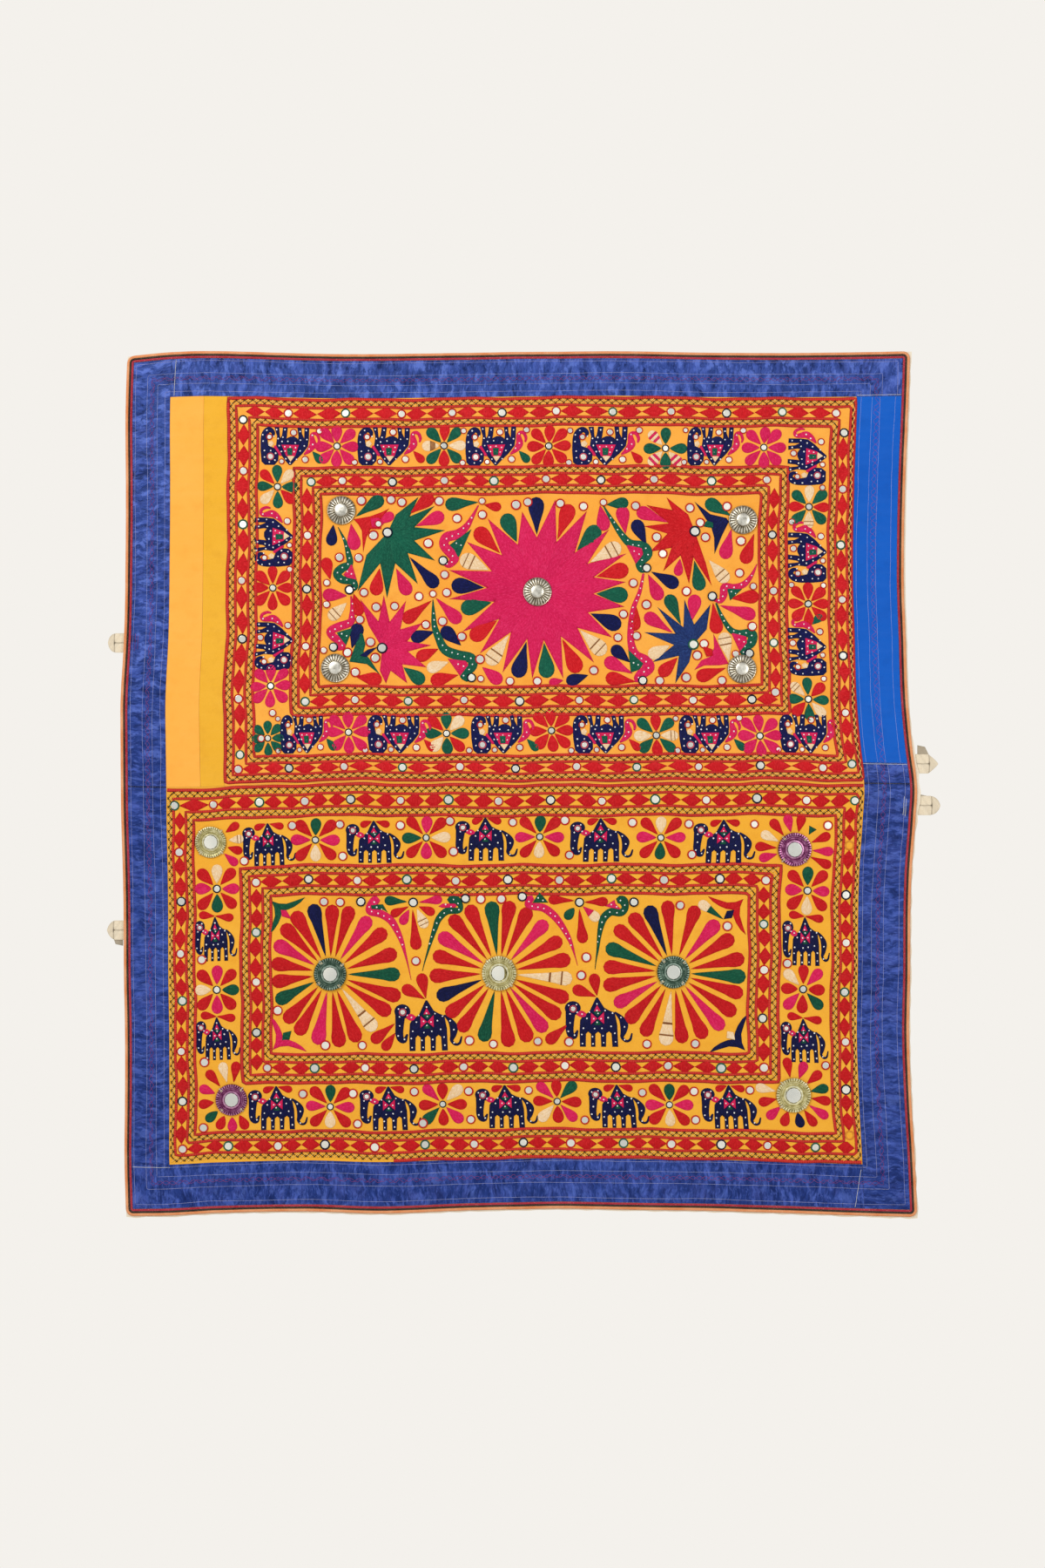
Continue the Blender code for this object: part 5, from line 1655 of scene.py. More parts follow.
def lay_rays(panel, colour, hub, notches, tips, closed):
    """Rays from a hub, each between two notches; only their outer edges are edges of the shape."""
    for number, tip in enumerate(tips):
        before, after = notches[number], notches[(number + 1) % len(notches)]
        joined = (0, 3)
        if not closed and number == 0:
            joined = (3,)
        if not closed and number == len(tips) - 1:
            joined = (0,)
        way = np.asarray(tip) - hub
        lay_patch(
            panel, colour,
            cut_patch([np.array((hub, before, tip, after))], RAY_STEP, RAY_CELL, joined=joined),
            grain=math.degrees(math.atan2(way[1], way[0])), tone=hand.uniform(0.25, 0.75),
        )


lay_rays(
    "upper", "pink", SUN,
    [polar(SUN, angle, metres(reach)) for _, _, angle, reach, *_ in (SUN_RAYS[-1], *SUN_RAYS[:-1])],
    [polar(SUN, angle, metres(reach)) for angle, reach, *_ in SUN_RAYS], True,
)
for _, _, angle, notch, letter, reach in SUN_RAYS:
    lay_drop(
        "upper", letter, polar(SUN, angle, metres(notch) + SUN_DROP_START),
        polar(SUN, angle, metres(reach) + SUN_DROP_SHIFT), SUN_DROP_RADIUS,
    )
for colour, letter, hub, start, end, tips, notches in FANS:
    hub = metres(hub)
    lay_rays("upper", colour, hub, list(metres((start, *notches, end))), list(metres(tips)), False)
    mirror_places.append(("upper", hub[0], hub[1], FAN_GLASS, FAN_RING, letter, FLOSS_HEIGHT))
for colour, outline, tab_colour, tab in CORNER_STARS:
    lay_patch("upper", colour, cut_patch([widened(metres(outline))], MOTIF_STEP), grain=45.0)
    lay_patch("upper", tab_colour, cut_patch([metres(tab)], MOTIF_STEP), grain=0.0, lift=OVER_LIFT)
for letter, places in FIELD_DROPS.items():
    for x, z, tip_x, tip_z in places:
        middle, tip = metres((x, z)), metres((tip_x, tip_z))
        half = FIELD_DROP_SHARE * np.linalg.norm(tip - middle) + FIELD_DROP_LEAST
        lay_drop("upper", letter, tip, middle, min(FIELD_DROP_WIDEST, half))

# ---------------------------------------------------------------------------------------------
# Birds: long-tailed birds in green or pink with a wing in the other colour, eight on the upper
# field and four between the wheels of the lower one. Knots run down the middle of each, and a
# dark-ringed mirror is the eye.
# ---------------------------------------------------------------------------------------------
# panel, body colour, line from the tail's tip to the head as x, z, width in millimetres, wing's
# outline, eye's place
BIRDS = (
    ("upper", "green",
     ((-329, -321, 1), (-316, -347, 5.4), (-309, -371, 9.3), (-307, -389, 11), (-321, -397, 13.5),
      (-330, -407, 13.5), (-321, -418, 12.2), (-302, -421, 12.2), (-296, -432, 8.6), (-304, -437, 7)),
     ((-304, -391), (-296, -416), (-311, -413), (-316, -408), (-309, -400)), (-307, -437)),
    ("upper", "pink",
     ((-304, -449, 2.4), (-302, -465, 5.4), (-302, -482, 8.6), (-305, -497, 12.2), (-326, -505, 13.5),
      (-342, -513, 12.2), (-336, -524, 12.2), (-323, -532, 12.2), (-319, -542, 11), (-328, -544, 9)),
     ((-303, -510), (-313, -536), (-323, -524), (-327, -517), (-315, -513)), (-335, -543)),
    ("upper", "pink",
     ((-69, -282, 2), (-80, -303, 6.1), (-91, -321, 11), (-107, -334, 14.7), (-127, -340, 15.9),
      (-132, -354, 14.7), (-119, -369, 15.9), (-112, -379, 14.7), (-122, -391, 9.8), (-131, -387, 7)),
     ((-86, -331), (-105, -374), (-111, -362), (-118, -354), (-105, -344)), (-133, -383)),
    ("upper", "green",
     ((-152, -455, 1.2), (-151, -480, 6.1), (-149, -504, 9.3), (-141, -526, 11.8), (-129, -547, 14.7),
      (-106, -557, 15.9), (-81, -563, 15.9), (-78, -578, 14.7), (-93, -593, 13.5), (-85, -603, 8)),
     ((-119, -566), (-92, -569), (-88, -576), (-100, -592)), (-79, -599)),
    ("upper", "green",
     ((162, -283, 1.5), (178, -309, 6.1), (197, -337, 9.8), (214, -354, 12.7), (239, -359, 14.7),
      (247, -373, 14.7), (233, -388, 14.7), (235, -401, 11), (243, -403, 7)),
     ((210, -359), (234, -364), (236, -374), (225, -388)), (245, -399)),
    ("upper", "pink",
     ((239, -410, 3.7), (232, -442, 6.1), (220, -472, 7.8), (215, -501, 9.8), (214, -533, 11),
      (222, -558, 14.7), (240, -570, 18.4), (248, -582, 17.1), (233, -595, 15.9), (225, -605, 12.2)),
     ((212, -554), (235, -575), (228, -584), (216, -588)), (236, -606)),
    ("upper", "pink",
     ((450, -391, 1.5), (440, -412, 6.1), (426, -428, 9.8), (408, -433, 9.8), (390, -432, 11),
      (388, -447, 12.2), (382, -459, 7.3), (371, -456, 6)),
     ((397, -437), (419, -438), (401, -455)), (367, -450)),
    ("upper", "green",
     ((374, -463, 2.9), (383, -486, 6.1), (398, -511, 9.3), (415, -519, 11), (438, -519, 14.7),
      (437, -536, 14.7), (422, -546, 13.5), (422, -556, 7.3), (430, -558, 6)),
     ((403, -520), (426, -526), (427, -536), (416, -549)), (433, -556)),
    ("lower", "pink",
     ((-195, -1153, 0.8), (-200, -1129, 1.8), (-206, -1105, 4), (-212, -1084, 7), (-221, -1063, 9.9),
      (-233, -1044, 11.9), (-251, -1033, 11.9), (-270, -1029, 11), (-272, -1020, 9.5), (-262, -1010, 15),
      (-256, -1009, 11)),
     ((-266, -1018), (-248, -1017), (-241, -1029), (-247, -1025), (-265, -1024)), (-287, -1011)),
    ("lower", "green",
     ((-174, -1137, 0.8), (-170, -1121, 1.8), (-163, -1098, 3.6), (-157, -1078, 6), (-151, -1060, 8),
      (-144, -1042, 9.9), (-129, -1028, 10.9), (-108, -1027, 9), (-104, -1019, 8), (-112, -1008, 13),
      (-124, -1007, 12)),
     ((-141, -1019), (-135, -1015), (-116, -1015), (-114, -1018), (-117, -1021), (-136, -1021)),
     (-95, -1005)),
    ("lower", "pink",
     ((111, -1129, 0.8), (106, -1111, 2), (100, -1091, 5), (92, -1073, 8), (80, -1053, 9.9),
      (66, -1036, 11.9), (48, -1023, 12), (28, -1020, 11), (19, -1016, 9.5), (25, -1004, 12)),
     ((31, -1012), (41, -996), (54, -1012)), (9, -1002)),
    ("lower", "green",
     ((143, -1136, 0.8), (145, -1119, 1.9), (148, -1099, 3.9), (150, -1080, 6), (153, -1061, 8.6),
      (159, -1042, 11.8), (172, -1031, 11.8), (190, -1032, 12), (198, -1024, 10.5), (195, -1011, 14),
      (186, -1008, 12)),
     ((164, -1020), (178, -1011), (180, -1017), (189, -1026), (175, -1023)), (214, -1013)),
)
KNOT_SPACING = 0.0130
BIRD_FULLNESS = {"upper": 1.18, "lower": 1.20}
WING_FULLNESS = 1.25
OVERLAID_LIFT = 0.0003
LEAST_KNOTTED_WIDTH = 0.0045
EYE_GLASS, EYE_RING = 0.0064, 0.0088


def knots_along(panel, path):
    """White knots along a bird, from where it is wide enough to its head."""
    path = metres(path)
    gone = 0.0
    for start, end in zip(path, path[1:]):
        length = np.linalg.norm(end[:2] - start[:2])
        while gone <= length:
            share = gone / length
            x, z, width = start + (end - start) * share
            if width > LEAST_KNOTTED_WIDTH:
                dots.append((panel, x + hand.uniform(-0.0012, 0.0012), z + hand.uniform(-0.0012, 0.0012)))
            gone += KNOT_SPACING * hand.uniform(0.85, 1.1)
        gone -= length


for panel, colour, path, wing, (eye_x, eye_z) in BIRDS:
    body = metres(path) * (1.0, 1.0, BIRD_FULLNESS[panel])
    lay_patch(
        panel, colour, cut_patch([stroke(body, smooth=5)] * 2, MOTIF_STEP, MOTIF_CELL),
        grain=60.0, tone=hand.uniform(0.4, 0.6),
    )
    outline = metres(wing)
    outline = outline.mean(0) + (outline - outline.mean(0)) * WING_FULLNESS
    lay_patch(
        panel, "pink" if colour == "green" else "green", cut_patch([outline], MOTIF_STEP), grain=20.0,
        lift=OVERLAID_LIFT
    )
    middle = outline.mean(0)
    for shift in ((-0.004, 0.002), (0.005, -0.002)):
        dots.append((panel, middle[0] + shift[0], middle[1] + shift[1]))
    knots_along(panel, path)
    mirror_places.append((panel, metres(eye_x), metres(eye_z), EYE_GLASS, EYE_RING, "n", FLOSS_HEIGHT))

# ---------------------------------------------------------------------------------------------
# Lower field: three wheels of 21 long petals round the foil discs, half flowers between them, a
# curved spandrel with a small tab in each corner, and red drops by the large elephants.
# ---------------------------------------------------------------------------------------------
WHEEL_TIP = 0.0335
WHEEL_CELL = 0.0058
# middle, petals clockwise from the top, their angles in degrees and reaches in millimetres
WHEELS = (
    ((-0.344, -1.143), "rrprrgrrbrrprrgrrprrn",
     (88, 73, 55, 38, 18, 0, -18, -33, -51, -68, -83, -101, -119, -134, -154, -173, 168, 150, 134, 120, 104),
     (114, 117, 115, 118, 116, 116, 123, 119, 118, 120, 121, 118, 114, 108, 99, 95, 97, 105, 113, 119, 119)),
    ((-0.034, -1.142), "grrprrbrrprrgrrnrrprr",
     (96, 81, 65, 47, 28, 11, -5, -21, -36, -51, -66, -82, -103, -124, -141, -159, -178, 164, 147, 130, 114),
     (119, 121, 119, 117, 119, 121, 123, 125, 127, 126, 125, 124, 116, 116, 111, 109, 114, 113, 118, 125,
      124)),
    ((0.287, -1.142), "nrrprrgrrprrbrrprrgrr",
     (111, 95, 71, 49, 31, 12, -3, -17, -33, -48, -64, -82, -96, -115, -133, -151, -169, 175, 159, 142, 126),
     (118, 120, 117, 112, 116, 120, 120, 122, 125, 126, 121, 118, 121, 116, 112, 111, 118, 116, 120, 124,
      120)),
)
WHEEL_PETAL_RADIUS = 0.0126
# letter, middle's x and z, tip's x and z in millimetres, radius
LOWER_DROPS = (
    ("g", -235, -1009, -203, -1011, 8.0), ("r", -225, -1032, -200, -1020, 7.2),
    ("p", -209, -1045, -199, -1026, 7.8), ("r", -186, -1088, -192, -1026, 10.0),
    ("b", -172, -1050, -184, -1024, 9.0), ("r", -159, -1029, -180, -1020, 7.4),
    ("p", -146, -1007, -180, -1012, 7.6), ("r", 66, -1008, 104, -1010, 8.2),
    ("g", 94, -1037, 104, -1024, 8.0), ("r", 120, -1078, 114, -1026, 9.6),
    ("m", 143, -1040, 121, -1021, 8.8), ("r", 158, -1012, 124, -1013, 7.8),
    ("r", -175, -1152, -168, -1187, 10.0), ("r", -202, -1171, -170, -1188, 10.0),
    ("r", 142, -1154, 147, -1184, 9.6), ("r", 112, -1174, 145, -1186, 9.8),
    ("r", -260, -1259, -226, -1233, 10.2), ("r", -242, -1273, -225, -1250, 8.6),
    ("r", 62, -1264, 94, -1237, 10.0), ("w", 341, -1018, 378, -1044, 8.6),
)
# ring letter, x and z in millimetres
LOWER_MIRRORS = (
    ("r", -355, -1011), ("r", -325, -1012), ("r", -441, -1208), ("r", -354, -1273), ("r", -286, -1272),
    ("r", -186, -1119), ("n", -191, -1012), ("r", -67, -1006), ("r", -29, -1006), ("n", 114, -1013),
    ("r", 127, -1114), ("r", 118, -1147), ("r", -88, -1265), ("r", -44, -1272), ("r", 38, -1268),
    ("r", 95, -1269), ("r", 299, -1019), ("r", 386, -1057), ("r", 239, -1273), ("r", 328, -1272),
    ("r", -412, -871), ("r", -325, -870), ("r", -320, -928), ("r", -215, -872), ("r", -125, -863),
    ("r", -118, -919), ("r", -11, -865), ("r", 84, -862), ("r", 94, -926), ("r", 207, -867),
    ("r", 310, -870), ("r", 318, -926), ("r", 429, -871), ("r", 563, -871), ("r", -578, -1419),
    ("r", -396, -1362), ("r", -304, -1360), ("r", -296, -1415), ("r", -191, -1357), ("r", -176, -1415),
    ("r", -91, -1358), ("r", -88, -1410), ("r", 19, -1358), ("r", 121, -1413), ("r", 228, -1362),
    ("r", 323, -1359), ("r", 324, -1411), ("r", 426, -1355), ("r", -579, -1110), ("r", -576, -1298),
    ("r", -500, -932), ("r", 496, -1123), ("r", 567, -1306),
)
FIELD_GLASS, FRIEZE_GLASS = 0.0069, 0.0067
RING_TO_GLASS = 1.32
LOOSE_LIFT = 0.0005
# A spandrel in millimetres from its corner, inwards and up or down; it is the same both ways
SPANDREL = (
    (0, 0), (13, 5.5), (28, 6.5), (46, 1), (63, -5), (54, 3), (42, 11), (30, 16), (18, 18),
    (16, 30), (11, 42), (3, 54), (-5, 63), (1, 46), (6.5, 28), (5.5, 13),
)
# colour, corner, way in, size, the tab's colour and its corners in millimetres
SPANDRELS = (
    ("green", (-450, -1008), (1, -1), 0.96, "pink",
     ((-434, -1024), (-424, -1025), (-414, -1042), (-432, -1036))),
    ("red", (414, -1008), (-1, -1), 1.02, "navy", ((385, -1029), (399, -1027), (394, -1042), (379, -1044))),
    ("pink", (-450, -1279), (1, 1), 0.98, "green",
     ((-431, -1249), (-416, -1246), (-420, -1262), (-434, -1263))),
    ("navy", (419, -1282), (-1, 1), 1.04, "cream", ((387, -1248), (399, -1250), (402, -1264), (386, -1261))),
)
for middle, petals, angles, reaches in WHEELS:
    middle = np.array(middle)
    for letter, angle, reach in zip(petals, angles, reaches):
        lay_drop(
            "lower", letter, polar(middle, angle, WHEEL_TIP), polar(middle, angle, metres(reach)),
            WHEEL_PETAL_RADIUS * hand.uniform(0.94, 1.03), cell=WHEEL_CELL,
        )
for letter, x, z, tip_x, tip_z, radius in LOWER_DROPS:
    lay_drop("lower", letter, metres((tip_x, tip_z)), metres((x, z)), metres(radius))
for letter, x, z in LOWER_MIRRORS:
    in_field = abs(z + 1142) < 145 and -455 < x < 425
    glass = (FIELD_GLASS if in_field else FRIEZE_GLASS) * hand.uniform(0.93, 1.05)
    mirror_places.append(("lower", metres(x), metres(z), glass, RING_TO_GLASS * glass, letter, LOOSE_LIFT))
for colour, corner, way, size, tab_colour, tab in SPANDRELS:
    outline = metres(np.array(corner) + np.array(SPANDREL) * way * size)
    lay_patch(
        "lower", colour, cut_patch([widened(outline)], MOTIF_STEP),
        grain=45.0 if way[0] * way[1] > 0 else -45.0
    )
    lay_patch("lower", tab_colour, cut_patch([metres(tab)], MOTIF_STEP), grain=0.0, lift=OVERLAID_LIFT)

# ---------------------------------------------------------------------------------------------
# Loose mirrors of the upper panel: one by one between the drops, rays and birds of its field, and
# in the frieze where the elephants leave room.
# ---------------------------------------------------------------------------------------------
# x and z in millimetres of those with full-size glass, then of the small ones
UPPER_MIRRORS = (
    (-286, -272), (-231, -270), (-211, -275), (-142, -273), (-108, -305), (-263, -336), (-161, -351),
    (-326, -377), (-290, -378), (-130, -409), (-280, -442), (-178, -449), (-126, -442), (-257, -469),
    (-223, -467), (-287, -492), (-165, -501), (-134, -495), (-98, -523), (-267, -534), (-309, -553),
    (-257, -563), (-293, -590), (-61, -299), (1, -282), (23, -277), (83, -280), (126, -286), (-64, -565),
    (-8, -606), (42, -606), (190, -527), (223, -285), (324, -287), (393, -284), (344, -314), (354, -341),
    (263, -342), (420, -348), (275, -372), (418, -407), (220, -427), (319, -441), (244, -466), (201, -484),
    (439, -506), (350, -538), (337, -559), (316, -600), (382, -606), (146, -587), (267, -606), (225, -524),
)
SMALL_UPPER_MIRRORS = (
    (-254, -315), (-349, -424), (-152, -444), (-349, -464), (-353, -549), (-62, -274), (163, -279),
    (-62, -601), (443, -432), (408, -557), (-466, -709), (-444, -663),
)
SMALL_GLASS, SMALL_LIFT = 0.0052, 0.0014
for places, size, lift in (
    (UPPER_MIRRORS, FIELD_GLASS, LOOSE_LIFT), (SMALL_UPPER_MIRRORS, SMALL_GLASS, SMALL_LIFT),
):
    for x, z in places:
        glass = size * hand.uniform(0.94, 1.05)
        mirror_places.append(("upper", metres(x), metres(z), glass, RING_TO_GLASS * glass, "r", lift))

# ---------------------------------------------------------------------------------------------
# Floss: all the filled shapes of one colour on one panel are one piece. The floss is silky, its
# stitches run side by side along each shape, and at the edge, where it dives in, it is painted darker: partly
# a darker edge thread and partly painted shade.
# ---------------------------------------------------------------------------------------------
FLOSS_PITCH = 0.00055
ROW_PITCH = 0.0021


def floss(name, colour, pale, deep, rim):
    """Satin-stitched floss: fine threads along the stitch direction, in passes, worn in places."""
    material, tree, shader = new_material(name)
    where = on_cloth(tree)
    tone = point_value(tree, "tone")
    edge = point_value(tree, "rim")
    lines = threads(tree, where, FLOSS_PITCH, "Y", 1.5)
    rows = threads(tree, where, ROW_PITCH, "Y", 3.0)
    strands = noise(tree, where, 420.0, 3.0, 0.7, (0.45, 1.0, 1.0))
    passes = noise(tree, where, 130.0, 3.0, 0.6, (0.30, 1.0, 1.0))
    worn = noise(tree, where, 38.0, 4.0, 0.6)
    shade = calculated(tree, "ADD", passes, tone)
    base = mixed(tree, spread(tree, shade, 0.70, 1.40), deep, colour)
    # The last layer, by the attribute 'rim', darkens the floss at the shape's edge: partly its darker edge
    # thread, partly painted shade where it dives into the cloth.
    base = layered(
        tree, base, (worn, 0.52, 0.80, 0.0, 0.7, pale), (lines, 0.0, 0.6, 0.28, 0.0, deep),
        (rows, 0.0, 0.45, 0.75, 0.0, deep), (strands, 0.50, 0.72, 0.0, 0.75, pale),
        (strands, 0.30, 0.46, 0.85, 0.0, rim), (edge, 0.25, 1.0, 0.0, 0.85, rim),
    )
    set_inputs(tree, shader, {
        "Base Color": base, "Roughness": spread(tree, passes, 0.3, 0.7, 0.50, 0.68),
        "Specular IOR Level": 0.12, "Normal": bumps(tree, (0.5, 0.0002, lines), (0.6, 0.0006, rows)),
    })
    return material


# colour, record slot, base, worn, deep, and the thread at the shape's edge, whose colour also stands for the
# painted shade there
FLOSS_COLOURS = (
    ("red", "red_thread", (0.64, 0.010, 0.015), (0.74, 0.035, 0.04), (0.50, 0.006, 0.010),
     (0.36, 0.004, 0.006)),
    ("pink", "pink_thread", (0.74, 0.014, 0.100), (0.84, 0.045, 0.17), (0.58, 0.006, 0.072),
     (0.50, 0.006, 0.040)),
    ("green", "green_thread", (0.004, 0.118, 0.066), (0.02, 0.18, 0.10), (0.003, 0.070, 0.040),
     (0.003, 0.040, 0.025)),
    ("navy", "navy_thread", (0.004, 0.006, 0.078), (0.012, 0.018, 0.13), (0.002, 0.004, 0.045),
     (0.004, 0.005, 0.020)),
    ("blue", "navy_thread", (0.014, 0.040, 0.175), (0.03, 0.08, 0.25), (0.008, 0.022, 0.100),
     (0.008, 0.016, 0.06)),
    ("cream", "cream_thread", (0.92, 0.69, 0.44), (0.97, 0.82, 0.62), (0.80, 0.54, 0.29), (0.74, 0.42, 0.15)),
    ("brown", "cream_thread", (0.36, 0.17, 0.055), (0.50, 0.26, 0.10), (0.22, 0.09, 0.03),
     (0.20, 0.08, 0.03)),
)
# how much of each colour's red, green and blue is left: the lower panel has aged more
AGEING = {"upper": (1.06, 1.0, 1.0), "lower": (0.95, 0.80, 0.72)}
for colour, slot, *shades in FLOSS_COLOURS:
    for panel, left in AGEING.items():
        made = work.pop((panel, colour), None)
        if not made:
            continue
        aged = shades if colour in ("cream", "pink") else [tuple(np.array(shade) * left) for shade in shades]
        material = floss(f"{colour} floss {panel}", *aged)
        piece = add_piece(
            f"{colour}_work_{panel}", np.concatenate(made["points"]), made["faces"],
            uvs=np.concatenate(made["uvs"]), tones=np.concatenate(made["tones"]), sharp=60.0,
        )
        rims = piece.data.attributes.new("rim", "FLOAT", "POINT")
        rims.data.foreach_set("value", np.concatenate(made["rims"]).astype(np.float32))
        piece.data.materials.append(material)
        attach(piece, "root")

# ---------------------------------------------------------------------------------------------
# Small mirrors: thin hand-cut discs of silvered glass, none quite flat to the cloth, each held by
# a ring of buttonhole stitches that overlaps its edge.
# ---------------------------------------------------------------------------------------------
MIRROR_SEED = 41
GLASS_LIFT = 0.0006
GLASS_TILT = 0.05
GLASS_THICKNESS = 0.0035
GLASS_SIDES = 12
RING_LIFT = 0.0004
RING_TILT = 0.01
RING_THICKNESS = 0.0013
RING_MIDDLE, RING_HALF_WIDTH = 0.845, 0.155
STITCHES_ROUND = 30.0


def glass_shape():
    """A mirror a unit across its radius: a low facetted dome with a bevelled edge, closed behind."""
    shape = bmesh.new()
    rings = []
    for radius, height in ((1.0, -0.10), (1.0, 0.05), (0.90, 0.10)):
        rings.append([
            shape.verts.new((radius * math.cos(turn), radius * math.sin(turn), height))
            for turn in (math.radians(30.0 * step) for step in range(GLASS_SIDES))
        ])
    middle = shape.verts.new((0.0, 0.0, 0.12))
    shape.faces.new(rings[0])
    for first, second in zip(rings, rings[1:]):
        for step in range(GLASS_SIDES):
            after = (step + 1) % GLASS_SIDES
            shape.faces.new((first[step], first[after], second[after], second[step]))
    for step in range(GLASS_SIDES):
        shape.faces.new((rings[2][step], rings[2][(step + 1) % GLASS_SIDES], middle))
    return made_to_copy("glass", shape, smooth=False)


def ring_shape():
    """A ring a unit across its radius: a flattened hoop, its UV running round it."""
    shape = bmesh.new()
    count, sides = 18, 5
    layer = shape.loops.layers.uv.new("Pattern")
    section = [
        (RING_MIDDLE + RING_HALF_WIDTH * math.cos(turn), math.sin(turn))
        for turn in (math.radians(90.0 + 72.0 * side) for side in range(sides))
    ]
    rings = []
    for step in range(count):
        turn = 2.0 * math.pi * step / count
        rings.append([
            shape.verts.new((radius * math.cos(turn), radius * math.sin(turn), up)) for radius, up in section
        ])
    for step in range(count):
        first, second = rings[step], rings[(step + 1) % count]
        for side in range(sides):
            after = (side + 1) % sides
            face = shape.faces.new((first[side], first[after], second[after], second[side]))
            around = ((step, side), (step, side + 1), (step + 1, side + 1), (step + 1, side))
            for corner, (u, v) in zip(face.loops, around):
                corner[layer].uv = (u / count, v / sides)
    return made_to_copy("ring", shape)


def mirror_glass():
    """Old silvered glass: grey-green, slightly wavy, speckled and clouded, so nothing shows sharp; its pale
    colour is partly painted reflection.
    """
    material, tree, shader = new_material("mirror glass")
    place = in_space(tree)
    cloud = noise(tree, place, 60.0, 4.0, 0.6)
    specks = noise(tree, place, 900.0, 2.0, 0.6)
    pieces = noise(tree, place, 9.0, 1.0, 0.5)
    # The pale greys are partly painted reflection of the bright room, varying across the panel, over clouded
    # silvering.
    base = mixed(tree, spread(tree, pieces, 0.40, 0.62), (0.62, 0.62, 0.56), (0.86, 0.83, 0.72))
    base = layered(
        tree, base, (cloud, 0.45, 0.75, 0.0, 0.6, (0.60, 0.62, 0.57)),
        (specks, 0.66, 0.78, 0.0, 0.7, (0.20, 0.18, 0.14)),
    )
    set_inputs(tree, shader, {
        "Base Color": base, "Metallic": 0.35, "Roughness": spread(tree, cloud, 0.35, 0.7, 0.22, 0.42),
        "Normal": bumps(tree, (0.25, 0.0008, cloud)),
    })
    return material


def ring_thread(name, colour, pale, deep):
    """Buttonhole stitching: a thread every few degrees across the ring, with dark between."""
    material, tree, shader = new_material(name)
    where = on_cloth(tree)
    place = in_space(tree)
    round_it = add_node(tree, "ShaderNodeSeparateXYZ", {"Vector": where}).outputs["X"]
    turns = calculated(tree, "MULTIPLY", round_it, 2.0 * math.pi * STITCHES_ROUND)
    stitches = calculated(tree, "SINE", turns)
    faded = noise(tree, place, 45.0, 3.0, 0.6)
    base = mixed(tree, spread(tree, faded, 0.40, 0.70, 0.0, 0.7), colour, pale)
    base = mixed(tree, spread(tree, stitches, -1.0, 0.2, 0.65, 0.0), base, deep)
    set_inputs(tree, shader, {
        "Base Color": base, "Roughness": 0.65, "Specular IOR Level": 0.12,
        "Normal": bumps(tree, (0.7, 0.0004, stitches)),
    })
    return material


def facing(x, z, forward, tilts, chance):
    """World places with euler turns that lie along the cloth, tilted a little at random."""
    x, z = np.asarray(x, float), np.asarray(z, float)
    at = hang(x, z, forward)
    right = hang(x + 0.004, z, forward) - hang(x - 0.004, z, forward)
    up = hang(x, z + 0.004, forward) - hang(x, z - 0.004, forward)
    outwards = np.cross(right, up)
    outwards /= np.linalg.norm(outwards, axis=1, keepdims=True)
    outwards = outwards * np.sign(-outwards[:, 1:2])
    outwards = outwards + chance.normal(0.0, tilts, outwards.shape) * (1.0, 0.0, 1.0)
    outwards /= np.linalg.norm(outwards, axis=1, keepdims=True)
    turn = chance.uniform(0.0, 2.0 * math.pi, len(x))
    aside = np.stack((np.cos(turn), np.zeros(len(x)), np.sin(turn)), 1)
    aside = aside - outwards * (aside * outwards).sum(1, keepdims=True)
    return at, euler_turns(aside, outwards)


GLASS, RING = glass_shape(), ring_shape()
silvered = mirror_glass()
RING_THREADS = {
    # letter: record slot, base, faded, deep
    "r": ("red_thread", (0.60, 0.012, 0.012), (0.68, 0.05, 0.04), (0.40, 0.005, 0.005)),
    "p": ("pink_thread", (0.62, 0.060, 0.110), (0.78, 0.25, 0.30), (0.40, 0.015, 0.045)),
    "n": ("navy_thread", (0.007, 0.008, 0.024), (0.022, 0.024, 0.060), (0.003, 0.003, 0.008)),
    "g": ("green_thread", (0.012, 0.110, 0.060), (0.05, 0.20, 0.12), (0.004, 0.045, 0.026)),
    "o": ("cream_thread", (0.80, 0.28, 0.030), (0.86, 0.42, 0.08), (0.60, 0.16, 0.01)),
}
chance = np.random.default_rng(MIRROR_SEED)
for panel in ("upper", "lower"):
    here = [place for place in mirror_places if place[0] == panel]
    x, z, glass, ring, lift = (np.array([place[column] for place in here]) for column in (1, 2, 3, 4, 6))
    letters = np.array([place[5] for place in here])
    at, turns = facing(x, z, PANEL_FRONT + lift + GLASS_LIFT, GLASS_TILT, chance)
    has_glass = letters != "o"
    stretches = np.stack((
        glass * chance.uniform(0.97, 1.05, len(glass)), glass * chance.uniform(0.93, 1.02, len(glass)),
        np.full(len(glass), GLASS_THICKNESS),
    ), 1)
    piece = copied(f"mirrors_{panel}", GLASS, at[has_glass], turns[has_glass], stretches[has_glass], silvered)
    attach(piece, "root")
    for letter, (slot, base, faded, deep) in RING_THREADS.items():
        chosen = letters == letter
        if not chosen.any():
            continue
        seat, turns_flat = facing(
            x[chosen], z[chosen], PANEL_FRONT + lift[chosen] + RING_LIFT, RING_TILT, chance
        )
        across = ring[chosen] * chance.uniform(0.97, 1.03, chosen.sum())
        stretches = np.stack((across, across, np.full(chosen.sum(), RING_THICKNESS)), 1)
        thread = ring_thread(f"ring thread {letter} {panel}", base, faded, deep)
        piece = copied(f"mirror_rings_{letter}_{panel}", RING, seat, turns_flat, stretches, thread)
        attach(piece, "root")

# ---------------------------------------------------------------------------------------------
# White knots: the dots on elephants and birds, each a small knot of white cotton thread, and all
# of them a little off their places and uneven in size.
# ---------------------------------------------------------------------------------------------
KNOT_RADIUS = 0.0016
KNOT_LIFT = 0.0002
KNOT_TILT = 0.05
KNOT_STRAY = 0.0004


